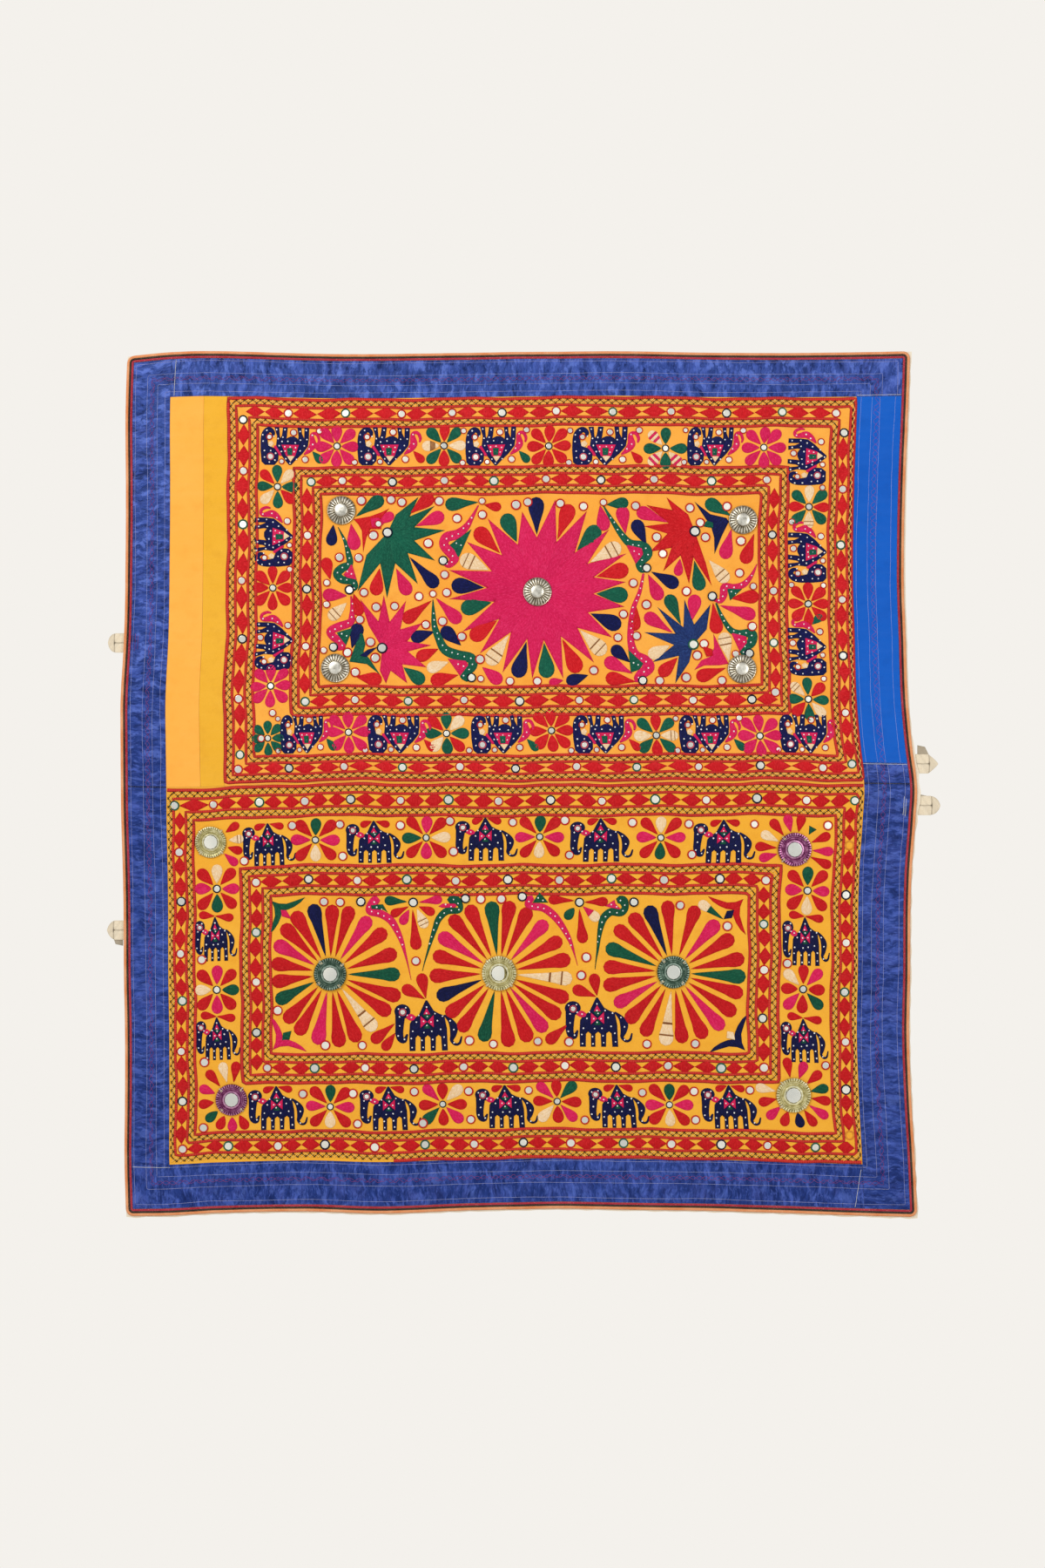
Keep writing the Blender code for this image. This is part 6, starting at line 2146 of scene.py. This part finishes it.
def knot_shape():
    """A knot a unit in radius: a low six-sided dome."""
    shape = bmesh.new()
    rings = [
        [
            shape.verts.new((radius * math.cos(turn), radius * math.sin(turn), height))
            for turn in (math.radians(60.0 * step) for step in range(6))
        ]
        for radius, height in ((1.0, -0.3), (0.85, 0.35))
    ]
    top = shape.verts.new((0.0, 0.0, 0.7))
    shape.faces.new(rings[0])
    for step in range(6):
        after = (step + 1) % 6
        shape.faces.new((rings[0][step], rings[0][after], rings[1][after], rings[1][step]))
        shape.faces.new((rings[1][step], rings[1][after], top))
    return made_to_copy("knot", shape)


KNOT = knot_shape()
white_thread = plain_thread("white thread", (0.86, 0.84, 0.80), (0.94, 0.93, 0.90), (0.60, 0.56, 0.50))
for panel in ("upper", "lower"):
    x, z = (np.array([dot[column] for dot in dots if dot[0] == panel]) for column in (1, 2))
    x, z = x + chance.normal(0.0, KNOT_STRAY, len(x)), z + chance.normal(0.0, KNOT_STRAY, len(z))
    at, turns = facing(x, z, PANEL_FRONT + FLOSS_HEIGHT + KNOT_LIFT, KNOT_TILT, chance)
    wide = KNOT_RADIUS * chance.uniform(0.85, 1.15, (len(x), 3))
    piece = copied(f"white_knots_{panel}", KNOT, at, turns, wide, white_thread)
    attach(piece, "root")

# ---------------------------------------------------------------------------------------------
# Silver domes: five pressed domes with flutes round a plain boss and a beaded rim, dark where the
# tarnish sits and with painted shade in the grooves, and painted highlights on the ridges and the boss. One
# is on the sun and one in each corner of the upper field.
# ---------------------------------------------------------------------------------------------
ORNAMENT_CLEARANCE = 0.0006
DOME_RADIUS = 0.0264
FLUTES = 26
FLUTE_SAMPLES = 6
# share of the radius, height, flute's depth, bead's height, brightness on a ridge and in a groove (painted
# highlights on the ridges, beads and boss; tarnish and painted shade in the grooves)
DOME_RINGS = (
    (1.00, 0.0000, 0.0, 0.0, 0.30, 0.30), (1.00, 0.0012, 0.0, 0.0, 0.35, 0.25),
    (0.970, 0.0026, 0.0, 0.0004, 0.95, 0.20), (0.925, 0.0022, 0.0, 0.0, 0.55, 0.05),
    (0.89, 0.0034, 0.0003, 0.0, 1.00, 0.10), (0.80, 0.0048, 0.0009, 0.0, 1.00, 0.00),
    (0.70, 0.0058, 0.0011, 0.0, 0.90, 0.00), (0.60, 0.0065, 0.0010, 0.0, 0.75, 0.00),
    (0.50, 0.0070, 0.0006, 0.0, 0.55, 0.05), (0.455, 0.0072, 0.0, 0.0, 0.30, 0.10),
    (0.44, 0.0084, 0.0, 0.0, 0.75, 0.60), (0.38, 0.0090, 0.0, 0.0, 0.85, 0.80),
    (0.25, 0.0095, 0.0, 0.0, 1.00, 1.00), (0.10, 0.0096, 0.0, 0.0, 1.00, 1.00),
)


def seat_of(x, z, radius):
    """Where an ornament sits on the cloth, and its own right, up and forward."""
    here = hang(x, z, PANEL_FRONT)
    right = hang(x + 0.01, z, 0.0) - hang(x - 0.01, z, 0.0)
    right = right / np.linalg.norm(right)
    up = hang(x, z + 0.01, 0.0) - hang(x, z - 0.01, 0.0)
    forward = np.cross(right, up)
    forward = forward / np.linalg.norm(forward)
    turns = np.linspace(0.0, 2.0 * math.pi, 33)[:-1]
    rim = hang(x + radius * np.cos(turns), z + radius * np.sin(turns), PANEL_FRONT)
    highest = max(0.0, ((rim - here) @ forward).max())
    return here + forward * (highest + ORNAMENT_CLEARANCE), right, np.cross(forward, right), forward


def turned_piece(name, x, z, radius, rings, teeth, samples):
    """A pressed round piece from its rings; teeth go round it, each with this many samples."""
    seat, right, up, forward = seat_of(x, z, radius)
    count = teeth * samples
    turns = 2.0 * math.pi * np.arange(count) / count
    ridge = 0.5 + 0.5 * np.cos(teeth * turns)
    bead = np.cos(2.0 * teeth * turns)
    points, tones, uvs = [], [], []
    for share, height, depth, bead_height, bright, dark in rings:
        across = share * radius
        high = height - depth * (1.0 - ridge) + bead_height * bead
        points.append(
            seat + right * (across * np.cos(turns))[:, None] + up * (across * np.sin(turns))[:, None]
            + forward * high[:, None]
        )
        # The tone is painted light and shade: each ring's brightness on the ridges and in the grooves, and
        # beads bright and dark in turn.
        tones.append(dark + (bright - dark) * (ridge if bead_height == 0.0 else 0.5 + 0.5 * bead))
        uvs.append(np.stack((turns, np.full(count, share)), 1))
    points.append((seat + forward * rings[-1][1])[None])
    tones.append([rings[-1][4]])
    uvs.append([(0.0, 0.0)])
    top = len(rings) * count
    faces = [tuple(reversed(range(count)))]
    for ring in range(len(rings) - 1):
        for step in range(count):
            after = (step + 1) % count
            first, second = ring * count, (ring + 1) * count
            faces.append((first + step, first + after, second + after, second + step))
    first = (len(rings) - 1) * count
    faces += [(first + step, first + (step + 1) % count, top) for step in range(count)]
    return add_piece(
        name, np.concatenate(points), faces, uvs=np.concatenate(uvs), tones=np.concatenate(tones), sharp=38.0
    )


def pressed_metal(name, bright, middle, dark, roughness):
    """Pressed foil or sheet: painted highlights where it stands up and in glints, dull and dark in the
    hollows, partly tarnish and partly painted shade, scratched.
    """
    material, tree, shader = new_material(name)
    place = in_space(tree)
    tone = point_value(tree, "tone")
    glints = noise(tree, place, 130.0, 3.0, 0.6)
    scratches = noise(tree, place, 620.0, 3.0, 0.7)
    # Painted light: the tone's ridge brightness and the glints together pick the dark, middle and bright
    # colours; the bright one is a painted highlight.
    shade = calculated(tree, "ADD", tone, glints)
    base = mixed(tree, spread(tree, shade, 0.45, 1.00), dark, middle)
    base = layered(
        tree, base, (shade, 0.95, 1.55, bright), (scratches, 0.56, 0.74, 0.0, 0.45, dark),
    )
    set_inputs(tree, shader, {
        "Base Color": base, "Metallic": 1.0,
        "Roughness": spread(tree, glints, 0.3, 0.7, roughness - 0.08, roughness + 0.14),
        "Normal": bumps(tree, (0.5, 0.0005, glints), (0.3, 0.0002, scratches)),
    })
    return material


tarnished_silver = pressed_metal(
    "tarnished silver", (0.84, 0.80, 0.69), (0.36, 0.31, 0.22), (0.060, 0.045, 0.024), 0.30
)
# node, x, z
DOMES = (
    ("dome_centre", 0.042, -0.442), ("dome_top_left", -0.323, -0.290), ("dome_bottom_left", -0.330, -0.582),
    ("dome_top_right", 0.423, -0.309), ("dome_bottom_right", 0.419, -0.585),
)
for node, x, z in DOMES:
    dome = turned_piece("silver_" + node, x, z, DOME_RADIUS, DOME_RINGS, FLUTES, FLUTE_SAMPLES)
    finish_piece(dome, tarnished_silver, "silver", node)

# ---------------------------------------------------------------------------------------------
# Foil discs: seven low discs of coloured foil over card with pressed rings and a toothed rim, each
# with a round mirror in the middle and four bundles of thread over its rim.
# ---------------------------------------------------------------------------------------------
TEETH = 40
# share of the radius, height, flute's depth, bead's height, brightness on a ridge and in a groove: the
# pressed rings and the toothed rim are painted bright and dark in turn, as painted light and shade
DISC_RINGS = (
    (1.00, 0.0000, 0.0, 0.0, 0.30, 0.30), (1.00, 0.0012, 0.0, 0.0, 0.40, 0.20),
    (0.975, 0.0022, 0.0, 0.0, 0.95, 0.30), (0.93, 0.0026, 0.0003, 0.0, 1.00, 0.00),
    (0.85, 0.0026, 0.0003, 0.0, 1.00, 0.00), (0.815, 0.0020, 0.0, 0.0, 0.20, 0.20),
    (0.78, 0.0022, 0.0, 0.0, 0.75, 0.75), (0.73, 0.0018, 0.0, 0.0, 0.25, 0.25),
    (0.68, 0.0021, 0.0, 0.0, 0.65, 0.65), (0.62, 0.0018, 0.0, 0.0, 0.30, 0.30),
    (0.56, 0.0019, 0.0, 0.0, 0.55, 0.55), (0.53, 0.0028, 0.0, 0.0, 0.95, 0.95),
    (0.46, 0.0030, 0.0, 0.0, 0.80, 0.80), (0.44, 0.0020, 0.0, 0.0, 0.10, 0.10),
    (0.20, 0.0019, 0.0, 0.0, 0.50, 0.50),
)
FOILS = {
    "gold": pressed_metal("gold foil", (1.00, 0.96, 0.68), (0.70, 0.59, 0.22), (0.085, 0.060, 0.012), 0.24),
    "purple": pressed_metal("purple foil", (0.80, 0.42, 0.62), (0.22, 0.035, 0.125), (0.045, 0.006, 0.030),
                            0.26),
    "green": pressed_metal("green foil", (0.45, 0.56, 0.46), (0.070, 0.125, 0.085), (0.018, 0.040, 0.026),
                           0.28),
}
# node, x, z, radius, foil, first angle of its thread bundles
DISCS = (
    ("disc_corner_top_left", -0.561, -0.895, 0.0290, "gold", 45),
    ("disc_corner_top_right", 0.505, -0.916, 0.0310, "purple", 45),
    ("disc_corner_bottom_left", -0.527, -1.369, 0.0290, "purple", 45),
    ("disc_corner_bottom_right", 0.506, -1.362, 0.0320, "gold", 45),
    ("disc_wheel_left", -0.344, -1.143, 0.0300, "green", 38),
    ("disc_wheel_middle", -0.033, -1.142, 0.0320, "gold", 45),
    ("disc_wheel_right", 0.287, -1.141, 0.0300, "green", 42),
)
DISC_MIRROR_SHARE = 0.43
DISC_MIRROR_HEIGHT = 0.0021
DISC_MIRROR_THICKNESS = 0.0045
BUNDLE_SPACING = 0.0011
BUNDLE_STRAY = 0.0002
BUNDLE_HEIGHT = 0.0024
starts, ends, seats, forwards, sizes = [], [], [], [], []
for node, x, z, radius, foil, angle in DISCS:
    disc = turned_piece("foil_" + node, x, z, radius, DISC_RINGS, TEETH, 4)
    finish_piece(disc, FOILS[foil], foil + "_foil", node)
    seat, right, up, forward = seat_of(x, z, radius)
    seats.append(seat + forward * DISC_MIRROR_HEIGHT)
    forwards.append(forward)
    sizes.append((radius * DISC_MIRROR_SHARE, radius * DISC_MIRROR_SHARE, DISC_MIRROR_THICKNESS))
    for corner in range(4):
        for thread in (-1.5, -0.5, 0.5, 1.5):
            turn = math.radians(angle + 90.0 * corner)
            way = right * math.cos(turn) + up * math.sin(turn)
            aside = right * -math.sin(turn) + up * math.cos(turn)
            shift = aside * (BUNDLE_SPACING * thread + chance.normal(0.0, BUNDLE_STRAY))
            starts.append(seat + way * radius * chance.uniform(0.78, 0.84) + shift + forward * BUNDLE_HEIGHT)
            ends.append(seat + way * radius * chance.uniform(1.03, 1.10) + shift * 0.7 + forward * -0.0002)
disc_mirrors = copied(
    "disc_mirrors", GLASS, np.array(seats),
    euler_turns(np.tile((1.0, 0.0, 0.0), (len(DISCS), 1)), np.array(forwards)),
    np.array(sizes), silvered,
)
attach(disc_mirrors, "root")
pale_thread = plain_thread("pale linen thread", (0.66, 0.56, 0.36), (0.80, 0.72, 0.52), (0.36, 0.27, 0.13))
holding = straight_stitches("disc_holding_threads", starts, ends, 0.0011, 0.0006, pale_thread)
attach(holding, "root")

# ---------------------------------------------------------------------------------------------
# Quilting: rows of pale sewing thread run right round the satin with a pair of crossing waves in
# purple between them, and step inwards over the cobalt strip. White thread closes the strips' ends.
# ---------------------------------------------------------------------------------------------
QUILTING_STEP = 0.0042
QUILTING_HEIGHT = 0.0006
QUILTING_SIDES = 3
WAVE_HALF_LENGTH = 0.0120
WAVE_STEP = 0.0030
WAVE_HEIGHTS = {"satin": 0.0036, "cobalt": 0.0052}
WAVE_SEEDS = ((1.0, 91), (-1.0, 94))
ROW_SEED, COBALT_SEED, SEAM_SEED, WHITE_TAB_SEED, RED_TAB_SEED = 60, 70, 80, 83, 85
COBALT_ROWS = (0.6342, 0.6545, 0.6700, 0.6970)
COBALT_WAVE = 0.6645
THREAD_LIFT = 0.0004


def round_the_cloth(inset, step=QUILTING_STEP):
    """An open row at this inset, from below the cobalt strip right round to its top end."""
    left, right = CLOTH_LEFT + inset, CLOTH_RIGHT - inset * RIGHT_AND_BOTTOM
    bottom, top = CLOTH_BOTTOM + inset * RIGHT_AND_BOTTOM, CLOTH_TOP - inset
    corners = (
        (right, COBALT_STRIP_END - 0.001), (right, bottom), (left, bottom), (left, top), (right, top),
        (right, SATIN_TOP_INNER + 0.001),
    )
    return spaced(np.array(corners), step, closed=False)


def run_along(points):
    """The length along a row at each of its points, and its way across."""
    steps = np.diff(points, axis=0)
    lengths = np.concatenate(([0.0], np.cumsum(np.linalg.norm(steps, axis=1))))
    steps = np.concatenate((steps, steps[-1:]))
    steps = steps / np.maximum(np.linalg.norm(steps, axis=1, keepdims=True), 1e-9)
    return lengths, np.stack((-steps[:, 1], steps[:, 0]), 1)


def on_satin(points):
    """World points of a row that lies on the satin."""
    x, z = points[:, 0], points[:, 1]
    return hang(x, z, FRONT_LAYER + satin_front(x, z) + THREAD_LIFT)


def on_cobalt(points):
    """World points of a row that lies on the cobalt strip."""
    x, z = points[:, 0], points[:, 1]
    return hang(x, z, FRONT_LAYER + strip_front(x, z))


def wandering(points, seed):
    """A row that isn't sewn quite straight."""
    lengths, across = run_along(points)
    stray = 0.0009 * value_noise(lengths, 0.09, seed) + 0.0003 * value_noise(lengths, 0.012, seed)
    return points + across * stray[:, None]


def waves(points, height):
    """Two waves that cross each other along a row."""
    lengths, across = run_along(points)
    found = []
    for way, seed in WAVE_SEEDS:
        turn = math.pi * lengths / WAVE_HALF_LENGTH + 1.1 * value_noise(lengths, 0.075, seed)
        stray = height * np.sin(turn) * (1.0 + 0.35 * value_noise(lengths, 0.03, seed + 1))
        found.append(points + across * (way * stray)[:, None])
    return found


def seam(x, z, end_x, end_z, seed):
    """A straight open row over the satin."""
    row = spaced(((x, z), (end_x, end_z)), QUILTING_STEP, closed=False)
    return on_satin(wandering(row, seed)), False


def down_the_cobalt(x):
    """An open row straight down the cobalt strip."""
    ends = np.array(((x, SATIN_TOP_INNER - 0.001), (x, COBALT_STRIP_END + 0.001)))
    return spaced(ends, QUILTING_STEP, closed=False)


pale_quilting = plain_thread(
    "pale quilting thread", (0.34, 0.36, 0.66), (0.56, 0.57, 0.80), (0.16, 0.17, 0.42)
)
purple_quilting = plain_thread(
    "purple quilting thread", (0.27, 0.045, 0.24), (0.42, 0.12, 0.34), (0.12, 0.02, 0.14)
)
white_sewing = plain_thread("white sewing thread", (0.80, 0.78, 0.74), (0.90, 0.89, 0.86), (0.50, 0.48, 0.44))
rows = [
    (on_satin(wandering(round_the_cloth(inset), number + ROW_SEED)), False)
    for number, inset in enumerate(QUILTING_ROWS)
]
rows += [
    (on_cobalt(wandering(down_the_cobalt(x), number + COBALT_SEED)), False)
    for number, x in enumerate(COBALT_ROWS)
]
satin_waves = waves(round_the_cloth(QUILTING_WAVE, WAVE_STEP), WAVE_HEIGHTS["satin"])
cobalt_waves = waves(down_the_cobalt(COBALT_WAVE), WAVE_HEIGHTS["cobalt"])
crossing = [(on_satin(path), False) for path in satin_waves]
crossing += [(on_cobalt(path), False) for path in cobalt_waves]
# Ends of each white seam: start's x and z, end's x and z
WHITE_SEAMS = (
    (-0.708, -1.4880, -0.640, -1.4890), (0.6225, -1.4930, 0.6095, -1.5620),
    (-0.633, -0.0150, -0.634, -0.0800), (0.627, -0.0800, 0.708, -0.0790), (0.627, -0.7575, 0.708, -0.7570),
)
seams = [seam(*ends, SEAM_SEED) for ends in WHITE_SEAMS]
# rows that hold the tabs, seen through the satin: x of each, top and bottom
TAB_ROWS = {
    "red": ((-0.7065, -0.514, -0.541), (-0.7020, -0.512, -0.543), (-0.6970, -0.515, -0.541)),
    "white": ((0.6990, -0.816, -0.850), (0.7030, -0.820, -0.852)),
}
seams += [seam(x, top, x, bottom, WHITE_TAB_SEED) for x, top, bottom in TAB_ROWS["white"]]
tab_rows = [seam(x, top, x, bottom, RED_TAB_SEED) for x, top, bottom in TAB_ROWS["red"]]
# piece, paths, width, material, record slot
QUILTING = (
    ("quilting_rows", rows, 0.0007, pale_quilting, "white_thread"),
    ("quilting_waves", crossing, 0.0007, purple_quilting, "pink_thread"),
    ("white_seams", seams, 0.0009, white_sewing, "white_thread"),
    ("tab_rows", tab_rows, 0.0008, purple_quilting, "pink_thread"),
)
for name, paths, width, material, slot in QUILTING:
    piece = sewn_cord(name, paths, width, QUILTING_HEIGHT, QUILTING_STEP, QUILTING_SIDES, material)
    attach(piece, "root")

# ---------------------------------------------------------------------------------------------
# Hanging tabs: four loops of unbleached cotton tape sewn under the two sides. Each loop's two legs
# lie side by side, and past their crease the tape is folded behind to a point or a round end.
# ---------------------------------------------------------------------------------------------
TAPE_WIDTH = 0.0178
TAPE_THICKNESS = 0.0012
HALF_SLIT = 0.0004
TAB_UNDER_EDGE = 0.022
TAPE_CELL = 0.0011
TIP_INSET = 0.0006
TIP_OVERLAP = 0.0012
LEAST_HALF_TIP = 0.0012
ACROSS_TAPE = np.array((0.0, 0.03, 0.08, 0.17, 0.32, 0.50, 0.68, 0.83, 0.92, 0.97, 1.0))
# node, side, middle's z, length of its legs past the edge and of its tip, how round the tip is,
# and how far the leg behind shows above or below
TABS = (
    ("tab_left_upper", -1, -0.5285, 0.0175, 0.0125, 2.2, 0.0),
    ("tab_left_lower", -1, -1.0560, 0.0190, 0.0125, 1.7, -0.011),
    ("tab_right_upper", 1, -0.7560, 0.0235, 0.0165, 1.15, 0.0165),
    ("tab_right_lower", 1, -0.8320, 0.0245, 0.0160, 2.0, 0.003),
)


def tape_layer(low, high, front, back, placed, seed, shade, crease, slit):
    """One layer of tape between a low and a high edge line: uneven, with painted shade along its crease,
    towards its rounded edges and along its slit, and a painted shadow where crease and slit cross.
    """
    count = max(3, math.ceil(np.linalg.norm(low[-1] - low[0]) / TAPE_CELL))
    stations = np.linspace(0.0, 1.0, len(low))
    fine = np.linspace(0.0, 1.0, max(count, len(low)))
    low, high = (
        np.stack([np.interp(fine, stations, line[:, axis]) for axis in (0, 1)], 1) for line in (low, high)
    )
    grid = low[:, None] + (high - low)[:, None] * ACROSS_TAPE[None, :, None]
    uneven = value_noise(grid[..., 0] + grid[..., 1] * 0.7 + seed, 0.0045, 17)
    rounded = 1.0 - (2.0 * ACROSS_TAPE - 1.0) ** 6
    face = front + 0.00012 * (1.0 - uneven) + 0.00022 * (1.0 - rounded)[None, :]
    rear = np.full(face.shape, back) - 0.00022 * (1.0 - rounded)[None, :]
    points = np.concatenate((placed(grid, face), placed(grid, rear)))
    uvs = np.concatenate((grid.reshape(-1, 2), grid.reshape(-1, 2) + (0.0, 0.05)))
    strayed = 0.0010 * value_noise(grid[..., 1] + seed, 0.006, 31)
    from_crease = np.abs(grid[..., 0] - crease - strayed)
    # Painted shade in the tone: the whole layer as bright as shade says, darker along the crease, towards the
    # rounded edges and along the slit, and nearly black where crease and slit cross, with a little uneven
    # change.
    tone = shade * (1.0 - (0.45 + 0.20 * uneven) * np.exp(-((from_crease / 0.0008) ** 2)))
    tone = tone * (1.0 - 0.20 * (1.0 - rounded)[None, :]) * (1.0 + 0.10 * uneven)
    tone = tone * (1.0 - slit * np.exp(-((grid[..., 1] / 0.0009) ** 2)))
    tone = tone * (1.0 - 0.95 * np.exp(-((np.hypot(from_crease, grid[..., 1]) / 0.0016) ** 2)))
    tones = np.clip(np.tile(tone.ravel(), 2), 0.0, 1.0)
    faces = closed_grid(np.arange(face.size).reshape(face.shape).T)
    return points, faces, uvs, tones


# The tape is darkened by painted shade as each tab's attribute 'tone' says.
unbleached_tape = woven_cotton(
    "unbleached cotton tape", (0.82, 0.70, 0.51), (0.90, 0.82, 0.66), (0.62, 0.48, 0.31), pitch=0.0008,
    mottle=0.6,
    shaded=True,
)
for node, side, middle, leg, tip, roundness, back_leg in TABS:
    edge_x = CLOTH_LEFT if side < 0 else CLOTH_RIGHT + LINING_PAST_RIGHT
    root = hang(edge_x, middle, 0.0)
    behind = max(
        float(relief(edge_x - side * TAB_UNDER_EDGE * share, middle + step * TAPE_WIDTH))
        for share in (0.0, 0.5, 1.0) for step in (-1, 0, 1)
    )
    front = behind + LAYER_GAP
    legs_back = front + TAPE_THICKNESS
    tip_back = legs_back + TAPE_THICKNESS

    def placed(grid, depth):
        return np.stack((root[0] + side * grid[..., 0], depth, root[2] + grid[..., 1]), -1).reshape(-1, 3)

    wide = TAPE_WIDTH - TIP_INSET
    # low edge, high edge, front, back, how brightly it is painted (the leg behind is painted in shade), and
    # how dark the painted shade along the slit is
    layers = []
    for way in (1, -1):
        inner = np.array(((-TAB_UNDER_EDGE, way * HALF_SLIT), (leg, way * HALF_SLIT)))
        outer = np.array(((-TAB_UNDER_EDGE, way * TAPE_WIDTH), (leg - TIP_OVERLAP, way * TAPE_WIDTH)))
        low, high = (inner, outer) if way > 0 else (outer, inner)
        layers.append((low, high, front, legs_back, 0.98, 0.30))
    shares = np.linspace(0.0, 1.0, 9)
    past = leg - TIP_OVERLAP + (tip + TIP_OVERLAP) * shares
    half = LEAST_HALF_TIP + (wide - LEAST_HALF_TIP) * (1.0 - shares**roundness) ** (1.0 / roundness**0.5)
    past, half = np.concatenate(([0.001], past)), np.concatenate(([wide - 0.001], half))
    layers.append(
        (np.stack((past, -half), 1), np.stack((past, half), 1), legs_back - 0.0002, tip_back, 0.90, 0.0)
    )
    if back_leg:
        way = math.copysign(1.0, back_leg)
        reach, tucked = way * (TAPE_WIDTH + abs(back_leg)), way * (TAPE_WIDTH - 0.004)
        near = np.array(((0.002, tucked), (leg + 0.001, tucked)))
        far = np.array(((0.002, reach), (0.0160, reach - 0.003 * way)))
        low, high = (near, far) if way > 0 else (far, near)
        # The leg behind is painted in shade, at 0.42 brightness.
        layers.append((low, high, legs_back + 0.0001, tip_back - 0.0002, 0.42, 0.0))
    points, faces, uvs, tones, first = [], [], [], [], 0
    for number, (low, high, face, rear, painted_brightness, slit) in enumerate(layers):
        made, around, places, shades = tape_layer(
            low, high, face, rear, placed, number * 0.31, painted_brightness, leg, slit
        )
        if side < 0:
            around = [corners[::-1] for corners in around]
        points.append(made)
        uvs.append(places)
        tones.append(shades)
        faces += [[corner + first for corner in corners] for corners in around]
        first += len(made)
    tab = add_piece(
        node.replace("tab_", "hanging_tab_"), np.concatenate(points), faces, uvs=np.concatenate(uvs),
        tones=np.concatenate(tones), sharp=40.0,
    )
    finish_piece(tab, unbleached_tape, "cotton_tape", node)

# ---------------------------------------------------------------------------------------------
# Setting: a plain pale floor well below the hanging, soft studio light from all round with a
# little more from the upper left, and a camera straight in front.
# ---------------------------------------------------------------------------------------------
FLOOR_HEIGHT = -2.50
FLOOR_SIDE, FLOOR_FRONT, FLOOR_BACK = 4.0, -3.6, 0.70
floor_shape = bmesh.new()
for corner_x, corner_y in (
    (-FLOOR_SIDE, FLOOR_FRONT), (FLOOR_SIDE, FLOOR_FRONT), (FLOOR_SIDE, FLOOR_BACK),
    (-FLOOR_SIDE, FLOOR_BACK),
):
    floor_shape.verts.new((corner_x, corner_y, FLOOR_HEIGHT))
floor_shape.faces.new(floor_shape.verts)
floor_mesh = bpy.data.meshes.new("floor")
floor_shape.to_mesh(floor_mesh)
floor_shape.free()
floor = bpy.data.objects.new("floor", floor_mesh)
bpy.context.collection.objects.link(floor)
floor_paint, paint_tree, paint_shader = new_material("pale floor")
set_inputs(paint_tree, paint_shader, {"Base Color": (0.80, 0.78, 0.74, 1.0), "Roughness": 0.9})
floor_mesh.materials.append(floor_paint)

world = bpy.data.worlds.new("studio")
bpy.context.scene.world = world
world.use_nodes = True
sky = world.node_tree
seen = add_node(sky, "ShaderNodeBackground", {"Color": (0.905, 0.880, 0.839, 1.0), "Strength": 1.0})
lighting = add_node(sky, "ShaderNodeBackground", {"Color": (0.96, 0.98, 1.0, 1.0), "Strength": 0.58})
rays = add_node(sky, "ShaderNodeLightPath").outputs["Is Camera Ray"]
either = add_node(sky, "ShaderNodeMixShader", {0: rays, 1: lighting.outputs[0], 2: seen.outputs[0]})
sky.links.new(either.outputs[0], sky.nodes["World Output"].inputs["Surface"])

# name, x, y, z, size, power
SOFT_LIGHTS = (
    ("key light", -2.2, -3.2, 1.4, 2.2, 95.0),
    ("fill light", 2.6, -3.0, -0.4, 2.2, 42.0),
)
LOOK_AT = Vector((0.0088, 0.0, -0.792))
CAMERA_DISTANCE = 4.0
LENS, SENSOR_WIDTH = 50.0, 36.0
for name, x, y, z, size, power in SOFT_LIGHTS:
    lamp = bpy.data.lights.new(name, "AREA")
    lamp.shape = "DISK"
    lamp.size = size
    lamp.energy = power
    light = bpy.data.objects.new(name, lamp)
    light.location = (x, y, z)
    light.rotation_euler = (LOOK_AT - light.location).to_track_quat("-Z", "Y").to_euler()
    bpy.context.collection.objects.link(light)

camera_data = bpy.data.cameras.new("camera")
camera_data.lens = LENS
camera_data.sensor_width = SENSOR_WIDTH
camera = bpy.data.objects.new("camera", camera_data)
camera.location = (LOOK_AT.x, -CAMERA_DISTANCE, LOOK_AT.z)
camera.rotation_euler = (math.radians(90.0), 0.0, 0.0)
bpy.context.collection.objects.link(camera)
bpy.context.scene.camera = camera
bpy.context.scene.view_settings.view_transform = "Standard"
